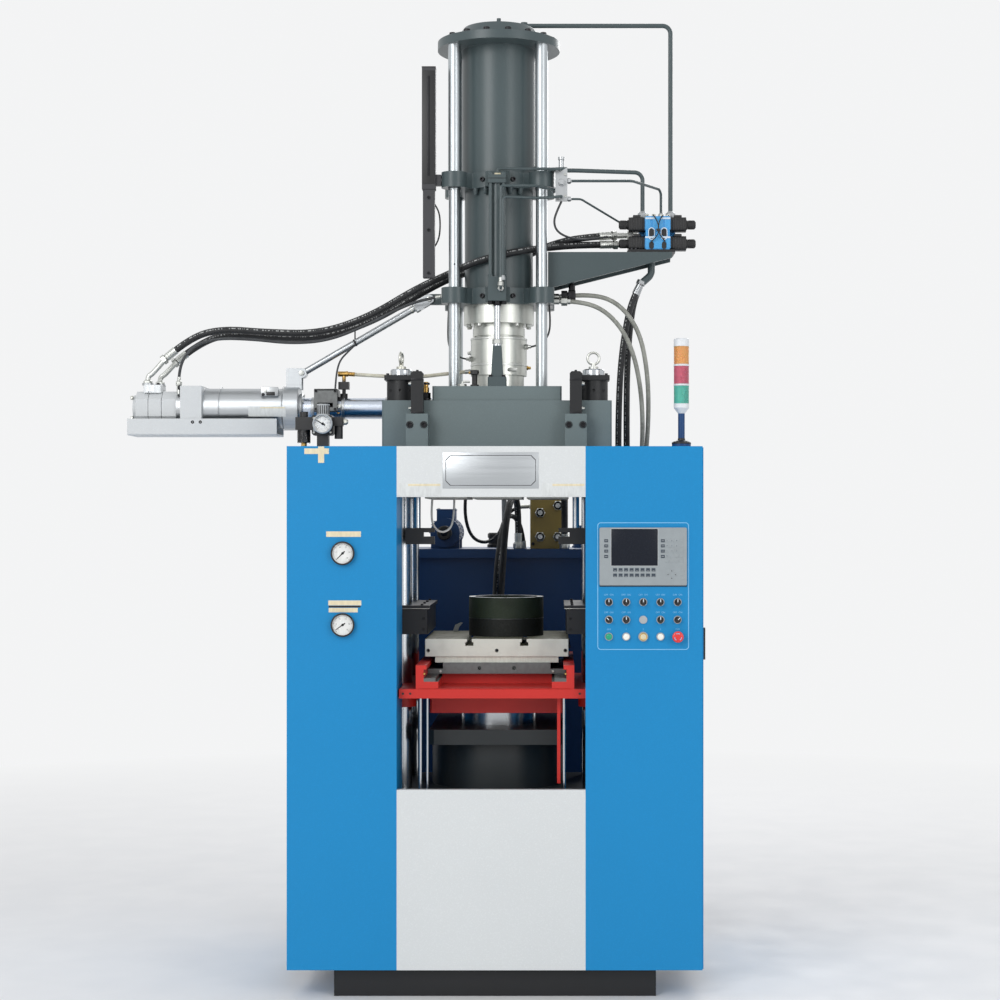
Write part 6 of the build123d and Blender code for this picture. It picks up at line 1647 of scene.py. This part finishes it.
def curved_plate(shape, x0, x1, low, high, radius, thickness, material):
    """A thin plate bent round the feeder's housing on its front, between two angles."""
    steps = 8
    part = bmesh.new()
    loops = []
    for reach in (radius, radius + thickness):
        for x in (x0, x1):
            row = []
            for step in range(steps + 1):
                angle = math.radians(low + (high - low) * step / steps)
                row.append(part.verts.new((x, -reach * math.cos(angle), feeder_z + reach * math.sin(angle))))
            loops.append(row)
    inner0, inner1, outer0, outer1 = loops
    for first, second in ((inner0, inner1), (outer0, outer1), (inner0, outer0), (inner1, outer1)):
        for step in range(steps):
            part.faces.new((first[step], first[step + 1], second[step + 1], second[step]))
    for step in (0, steps):
        part.faces.new((inner0[step], inner1[step], outer1[step], outer0[step]))
    shape.take(part, material)


# Power unit


def power_unit_details():
    """Cooling fan cover, terminal box, plugs, level gauge, filler and door latch."""
    unit = Shape("power_unit_details")
    motor_x, motor_z = -0.248, tank_top + 0.066
    unit.turned(
        ((0.0645, 0), (0.066, 0.004), (0.066, 0.04), (0.056, 0.052), (0, 0.052)), (motor_x, 1.058, motor_z),
        backward, tank_blue, 48,
    )
    for ring in range(5):
        radius = 0.012 + 0.009 * ring
        unit.turned(
            ((radius, 0), (radius + 0.003, 0.0006), (radius + 0.003, 0.0016), (radius, 0.0016), (radius, 0)),
            (motor_x, 1.11, motor_z), backward, black_plastic, 36,
        )
    for step in range(24):
        angle = 2 * math.pi * step / 24
        if math.sin(angle) < -0.45 or math.sin(angle) > 0.75:
            continue
        out = Vector((math.cos(angle), 0, math.sin(angle)))
        base = Vector((motor_x, 0, motor_z)) + out * 0.058
        tip = Vector((motor_x, 0, motor_z)) + out * 0.069
        across = Vector((-out.z, 0, out.x)) * 0.0014
        outline = [(p.x, p.z) for p in (base - across, tip - across, tip + across, base + across)]
        unit.prism(outline, (0, 1.0, 0), rightward, upward, 0.18, tank_blue)
    unit.box((motor_x - 0.042, 0.878, 1.724), (motor_x + 0.042, 0.982, 1.73), tank_blue, 0.002)
    for sx, sy in four_signs:
        socket_screw(unit, (motor_x + sx * 0.034, 0.93 + sy * 0.044, 1.7295), upward, 0.005, zinc)
    unit.turned(
        ((0.03, 0), (0.03, 0.07), (0.026, 0.074), (0.014, 0.074)), (motor_x, 0.79, motor_z), forward,
        black_paint, 40,
    )
    block_front = 0.79
    for x, z in ((0.15, 0.05), (0.224, 0.05), (0.15, 0.15), (0.224, 0.18)):
        hex_sleeve(unit, (x, block_front - 0.034, tank_top + z), backward, 0.038, 0.026, 0.008)
        unit.turned(disc(0.0105, 0.03), (x, block_front - 0.006, tank_top + z), forward, machined)
    for x in (0.12, 0.254):
        for z in (0.02, 0.215):
            socket_screw(unit, (x, block_front, tank_top + z), forward, 0.009)
    filler_cap = (
        (0.034, 0), (0.034, 0.012), (0.028, 0.016), (0.028, 0.04), (0.032, 0.044), (0.032, 0.058),
        (0.026, 0.064), (0, 0.064),
    )
    unit.turned(filler_cap, (-0.05, 1.15, tank_top), upward, black_plastic, 40)
    return_filter = ((0.045, 0), (0.045, 0.006), (0.04, 0.008), (0.04, 0.09), (0.036, 0.096), (0, 0.096))
    unit.turned(return_filter, (0.33, 1.13, tank_top), upward, tank_blue, 40)
    latch = (0.372, tank_rear - 0.004, 0.86)
    unit.turned(
        ((0.016, 0), (0.016, 0.002), (0.012, 0.0025), (0, 0.0025)), latch, backward, black_plastic, 32
    )
    unit.box((0.369, latch[1] + 0.002, 0.85), (0.375, latch[1] + 0.0038, 0.87), zinc, 0.0006)
    side = -0.48
    unit.box((side - 0.006, 1.14, 1.18), (side, 1.166, 1.33), zinc)
    unit.box((side - 0.0085, 1.146, 1.195), (side - 0.005, 1.16, 1.315), clear_glass)
    for z in (1.188, 1.322):
        hex_head(unit, (side - 0.006, 1.153, z), leftward, 0.01, 0.005, zinc, False)
    hex_head(unit, (side, 1.153, 0.14), leftward, 0.03, 0.01)
    unit.piece("frame", "blue_paint")


def cabinet_details():
    """Screws on the panels' edges, and the pins and screws of the side door's hinges and handle."""
    cabinet = Shape("cabinet_details")
    for z in (0.3, 1.02, 1.74):
        cabinet.turned(
            ((0.0045, 0), (0.0045, 0.0015), (0, 0.0022)), (0.7383, -0.262, z + 0.0355), upward, zinc, 20
        )
        for dz in (0.01, 0.03):
            cabinet.turned(
                ((0.004, 0), (0.0034, 0.0012), (0, 0.0016)), (0.7352, -0.244, z + dz), rightward, zinc, 18
            )
    for side in (-1, 1):
        for z in (0.2, 0.74, 1.3, 1.84):
            cabinet.turned(
                ((0.0062, -0.002), (0.0058, 0.0012), (0.003, 0.0016), (0, 0.0016)), (side * 0.732, 0.47, z),
                (side, 0, 0), zinc, 20,
            )
    cabinet.piece("frame", "blue_paint")

    handle = Shape("door_handle_details")
    handle.turned(recessed(0.006, 0, 0.0006, 0.003, -0.001), (0.7434, -0.478, 1.295), rightward, zinc)
    handle.piece("handle", "black_plastic")


def cabinet_modules():
    """Ducts, terminals, levers and vents on the mounting plate behind the cabinet's door."""
    modules = Shape("cabinet_modules")
    left, wide, plate = 0.36, 0.322, -0.2945
    for z in (0.48, 0.69, 0.92, 1.19):
        modules.box((0.35, plate - 0.055, z), (0.685, plate, z + 0.06), pale_grey, 0.002)
        modules.box((0.349, plate - 0.058, z + 0.004), (0.686, plate - 0.055, z + 0.056), white_plastic)
        for step in range(26):
            x = 0.356 + 0.0128 * step
            for edge in (z - 0.0008, z + 0.0558):
                modules.box(
                    (x, plate - 0.05, edge), (x + 0.006, plate - 0.01, edge + 0.005), black_plastic, 0.0008
                )
    for step in range(26):
        x = 0.362 + 0.0118 * step
        tone = (pale_grey, pale_grey, light_blue, pale_grey, green_plastic)[step % 5]
        modules.box((x, plate - 0.045, 1.3), (x + 0.0108, plate, 1.356), tone, 0.0008)
        for z in (1.312, 1.344):
            screw = ((0.0028, 0), (0.0028, 0.001), (0, 0.0012))
            modules.turned(screw, (x + 0.0054, plate - 0.0445, z), forward, zinc, 12)
    for count, bottom, height, depth in (
        (2, 0.26, 0.19, 0.11), (6, 0.57, 0.09, 0.07), (4, 0.78, 0.11, 0.075), (3, 1.01, 0.15, 0.09)
    ):
        pitch = wide / count
        front = plate - depth + 0.0005
        for place in range(count):
            x0, x1 = left + pitch * place, left + pitch * (place + 1) - 0.008
            middle = (x0 + x1) / 2
            module_face(modules, count, x0, x1, middle, front, bottom, height)
    modules.piece("frame", "grey_plastic")


def module_face(shape, count, x0, x1, middle, front, bottom, height):
    """The front and the right side of one module: screws along its edges, a lever or a vent."""
    for edge in (bottom + 0.01, bottom + height - 0.01):
        screws = max(2, int((x1 - x0) / 0.018))
        for step in range(screws):
            x = x0 + (x1 - x0) * (step + 0.5) / screws
            shape.turned(((0.0042, 0), (0.0042, 0.0016), (0, 0.002)), (x, front, edge), forward, zinc, 12)
    if count in (4, 6):
        shape.box(
            (middle - 0.006, front - 0.01, bottom + height * 0.42),
            (middle + 0.006, front, bottom + height * 0.6), black_plastic, 0.0015,
        )
        shape.box(
            (x0 + 0.004, front - 0.0012, bottom + height * 0.68), (x1 - 0.004, front, bottom + height * 0.8),
            white_plastic, 0.0004,
        )
    else:
        shape.box(
            (x0 + 0.012, front - 0.002, bottom + height * 0.62), (x1 - 0.012, front, bottom + height * 0.84),
            key_plastic,
        )
        for step in range(7):
            z = bottom + height * (0.2 + 0.05 * step)
            shape.box((x0 + 0.014, front - 0.0014, z), (x1 - 0.014, front, z + 0.0034), black_plastic, 0.0006)
    if x1 > 0.66:
        for step in range(5):
            y = front + 0.016 + 0.01 * step
            shape.box(
                (x1, y, bottom + height * 0.25), (x1 + 0.001, y + 0.004, bottom + height * 0.75),
                black_plastic, 0.0003,
            )


def interior_details():
    """Leads and hoses behind the mould, and a pale strip at the back of the lower platen."""
    fittings = Shape("valve_hose_fittings")
    materials = {"conduit": steel_conduit, "hose": black_hose, "white_lead": white_lead}
    for name, route, diameter, kind in interior_routes:
        line = hose(name, route, diameter, materials[kind], "frame")
        if diameter > 0.01:
            hose_end(fittings, line, True, diameter / 2, 0.044)
            hose_end(fittings, line, False, diameter / 2, 0.044)
    fittings.piece("frame", "machined_steel")

    strip = Shape("platen_strip")
    outline = ((0, 0), (0.02, 0), (0.026, 0.018), (0.04, 0.034), (0.032, 0.036), (0.01, 0.026))
    strip.prism(outline, (-0.186, 0.22, 1.2508), rightward, upward, 0.0012, label_paper)
    strip.piece("shuttle", "white_plastic")


# Finishes on the CAD nodes


def dress(node, material, *parts):
    """Gives a node its finish; parts are (low, high, finish) for the faces in that box."""
    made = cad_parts[node].data
    made.materials.clear()
    for finish in [material] + [part[2] for part in parts]:
        made.materials.append(finish)
    for face in made.polygons:
        face.material_index = 0
        for place, (low, high, _) in enumerate(parts):
            if all(a <= c <= b for a, c, b in zip(low, face.center, high)):
                face.material_index = place + 1
                break


def dress_all():
    """A finish for every node."""
    for finish, nodes in (
        (blue, "left_cabinet cabinet_door"),
        (black_plastic, "door_handle"),
        (white_panel, "front_panels"),
        (black_paint, "base_frame upper_ejector_cylinders"),
        (dark_paint, "lower_beam"),
        (beam_green, "upper_beam"),
        (chrome, "tie_bars clamp_ram injection_plunger"),
        (dark_steel, "carriage"),
        (column_chrome, "guide_columns"),
        (unit_green, "injection_cylinder lift_cylinder"),
        (barrel_steel, "injection_barrel"),
        (machined, "feed_screw"),
        (post_black, "sensor_post"),
        (black_hose, "feeder_hoses rear_hoses tank_hoses"),
        (grey_plastic, "hmi_unit"),
        (green_plastic, "start_button"),
        (white_plastic, "reset_button cycle_button"),
        (beige_plastic, "lamp_button"),
        (red_plastic, "emergency_stop"),
    ):
        for node in nodes.split():
            dress(node, finish)
    far = 9.0
    dress(
        "right_cabinet", blue,
        ((0.35, -0.294, 0.15), (0.72, -0.289, 1.9), zinc),
        ((0.355, -0.42, 0.25), (0.7, -0.291, 0.46), pale_grey),
        ((0.355, -0.42, 0.46), (0.7, -0.291, 0.7), black_plastic),
        ((0.355, -0.42, 0.7), (0.7, -0.291, 0.92), grey_plastic),
        ((0.355, -0.42, 0.92), (0.7, -0.291, 1.3), pale_grey),
    )
    dress("tie_bar_nuts", black_paint, ((-far, -far, 2.2391), (far, far, far), zinc))
    liner = (1.1119, 1.1241)
    dress(
        "moving_platen", red,
        ((-0.254, -0.47, liner[0]), (-0.21, 0.27, liner[1]), dark_steel),
        ((0.21, -0.47, liner[0]), (0.254, 0.27, liner[1]), dark_steel),
        ((-0.43, -0.03, 1.0865), (-0.37, 0.03, far), black_paint),
        ((0.37, -0.03, 1.0865), (0.43, 0.03, far), black_paint),
    )
    dress("lower_platen", platen_cream, ((-far, -far, 1.16), (far, far, 1.1869), board))
    dress("upper_platen", upper_platen_shaded, ((-far, -far, 1.8271), (far, far, far), board))
    dress(
        "mould", iron, ((-far, -far, 1.318), (far, far, 1.3955), green_iron),
        ((-far, -far, 1.3955), (far, far, far), machined),
    )
    for name in ("left_upper_hook", "right_upper_hook"):
        dress(name, black_paint, ((-far, -far, 1.6565), (far, far, far), chrome))
    for name in ("left_lower_ejector", "right_lower_ejector"):
        dress(name, black_paint, ((-far, -0.02, 1.0), (far, 0.02, 1.2665), chrome))
    dress("injection_yokes", unit_green, ((0.2045, -0.05, 2.48), (0.24, 0.03, 2.55), zinc))
    dress("lift_rod", unit_green, ((-far, -far, 2.3255), (far, far, far), chrome))
    dress(
        "directional_valves", black_paint,
        (
            (valve_left - 0.0005, valve_front - 0.01, 2.6985),
            (valve_right + 0.0005, valve_back + 0.001, 2.8225), light_blue,
        ),
        ((0.45, -0.06, 2.6985), (0.75, 0.01, 2.8225), black_plastic),
        ((0.52, -0.02, 2.55), (0.6, 0.06, 2.6765), unit_green),
    )
    dress("steel_pipes", unit_green, ((0.2135, -0.173, 2.86), (0.2585, -0.12, 2.975), machined))
    dress(
        "feeder_body", brushed,
        ((-1.1885, -0.09, 2.0), (-1.1075, 0.09, 2.19), pale_grey),
        ((-1.21, -0.08, 2.0), (-1.1885, 0.08, 2.2), machined),
        ((-0.6915, -0.063, 2.089), (-0.6035, 0.05, 2.1745), dark_steel),
        ((-0.615, -0.02, 2.145), (-0.555, 0.02, 2.215), black_plastic),
        ((-0.615, -0.02, 2.215), (-0.555, 0.02, 2.26), brass),
        ((-0.7495, -0.05, 2.05), (-0.05, 0.05, 2.16), polished_tube),
    )
    dress("feeder_motor", pale_grey, ((-1.35, -0.06, 2.167), (-1.27, 0.06, 2.2), machined))
    dress("feeder_tray", pale_grey, ((-0.8, -0.06, 2.19), (far, 0.06, far), brushed))
    dress(
        "hydraulic_unit", tank_blue,
        ((0.1, 0.7895, tank_top), (0.27, 0.9005, far), ochre),
        ((0.1, 0.74, tank_top), (0.27, 0.7895, far), zinc),
    )
    dress("panel_bezels", silver_plastic, ((-0.6, -far, 1.2), (-0.45, far, 1.7), black_plastic))
    dress(
        "tower_light", pole_white,
        ((-far, -far, 2.1002), (far, far, 2.1658), green_lens),
        ((-far, -far, 2.1707), (far, far, 2.2363), red_lens),
        ((-far, -far, 2.2412), (far, far, 2.3068), amber_lens),
        ((-far, -far, 1.9), (far, far, 2.066), tank_blue),
    )
    dress("air_regulator", black_plastic, ((-0.66, -0.34, 2.063), (-0.59, -0.26, 2.11), silver_plastic))
    for number in range(1, 6):
        dress("top_selector_" + str(number), black_plastic)
    for number in range(1, 5):
        dress("lower_selector_" + str(number), black_plastic)
    for name in ("upper_gauge_needle", "lower_gauge_needle", "air_gauge_needle"):
        dress(name, ink_black)


# Floor, light and camera


def background_rays(nodes, links):
    """One for the rays of the camera, of gloss and of glass, and none for the light itself."""
    path = nodes.new("ShaderNodeLightPath")
    seen_rays = path.outputs["Is Camera Ray"]
    for name in ("Is Glossy Ray", "Is Transmission Ray"):
        larger = nodes.new("ShaderNodeMath")
        larger.operation = "MAXIMUM"
        links.new(seen_rays, larger.inputs[0])
        links.new(path.outputs[name], larger.inputs[1])
        seen_rays = larger.outputs[0]
    return seen_rays


def studio():
    """A pale floor that fades into the background, a soft sky and three soft lamps."""
    backdrop = (0.9, 0.905, 0.91)
    disc = bmesh.new()
    bmesh.ops.create_circle(disc, cap_ends=True, radius=60, segments=96)
    made = bpy.data.meshes.new("floor")
    disc.to_mesh(made)
    disc.free()
    floor = bpy.data.objects.new("floor", made)
    bpy.context.scene.collection.objects.link(floor)
    finish = Finish("studio_floor")
    grain = finish.noise(4, 4)
    body = finish.mixed(finish.spread(grain, 0, 0.4), (0.8, 0.8, 0.8), (0.76, 0.765, 0.77))
    finish.finish(body, finish.spread(grain, 0.55, 0.75), finish.bump(finish.noise(200, 2), 0.0001))
    nodes, links = finish.nodes, finish.links
    glow = nodes.new("ShaderNodeEmission")
    glow.inputs["Color"].default_value = (*backdrop, 1)
    length = nodes.new("ShaderNodeVectorMath")
    length.operation = "LENGTH"
    links.new(finish.place, length.inputs[0])
    far_off = finish.spread(length.outputs["Value"], 0, 1, 2.6, 7.0)
    share = nodes.new("ShaderNodeMath")
    share.operation = "MULTIPLY"
    links.new(far_off, share.inputs[0])
    links.new(background_rays(nodes, links), share.inputs[1])
    blend = nodes.new("ShaderNodeMixShader")
    links.new(share.outputs[0], blend.inputs[0])
    links.new(finish.shader.outputs[0], blend.inputs[1])
    links.new(glow.outputs[0], blend.inputs[2])
    links.new(blend.outputs[0], nodes["Material Output"].inputs["Surface"])
    made.materials.append(finish.material)

    world = bpy.data.worlds.new("studio")
    bpy.context.scene.world = world
    world.use_nodes = True
    nodes, links = world.node_tree.nodes, world.node_tree.links
    sky = nodes["Background"]
    sky.inputs["Color"].default_value = (0.66, 0.67, 0.69, 1)
    back = nodes.new("ShaderNodeBackground")
    back.inputs["Color"].default_value = (*backdrop, 1)
    blend = nodes.new("ShaderNodeMixShader")
    links.new(background_rays(nodes, links), blend.inputs[0])
    links.new(sky.outputs[0], blend.inputs[1])
    links.new(back.outputs[0], blend.inputs[2])
    links.new(blend.outputs[0], nodes["World Output"].inputs["Surface"])

    for name, place, aim, width, height, power in (
        ("key_lamp", (-3.6, -6.2, 4.6), (0, 0, 1.9), 3.0, 4.5, 210),
        ("fill_lamp", (4.4, -5.6, 3.2), (0, 0, 1.6), 2.2, 4.0, 90),
        ("rear_lamp", (1.5, 6.0, 5.0), (0, 0, 1.8), 4.0, 3.0, 150),
    ):
        lamp = bpy.data.lights.new(name, "AREA")
        lamp.shape = "RECTANGLE"
        lamp.size, lamp.size_y = width, height
        lamp.energy = power
        holder = bpy.data.objects.new(name, lamp)
        holder.location = place
        holder.rotation_euler = (Vector(aim) - Vector(place)).to_track_quat("-Z", "Y").to_euler()
        bpy.context.scene.collection.objects.link(holder)

    lens_data = bpy.data.cameras.new("camera")
    lens_data.sensor_width = 36
    lens_data.lens = 70.92
    lens_data.shift_x = -0.056
    lens_data.shift_y = 0.018
    lens_data.clip_end = 200
    camera = bpy.data.objects.new("camera", lens_data)
    camera.location = (0.216, -7.444, 1.692)
    camera.rotation_euler = (math.pi / 2, 0, 0)
    bpy.context.scene.collection.objects.link(camera)
    bpy.context.scene.camera = camera
    bpy.context.scene.view_settings.view_transform = "Standard"


dress_all()
feeder_hoses()
tank_hoses()
rear_hoses()
nameplate()
bare_strips()
operator_panel()
control_marks()
gauges()
air_service_unit()
tower_details()
beam_details()
ejector_details()
table_details()
unit_fasteners()
barrel_details()
valve_details()
pipe_details()
strut_and_post()
feeder_details()
power_unit_details()
cabinet_details()
cabinet_modules()
interior_details()
studio()
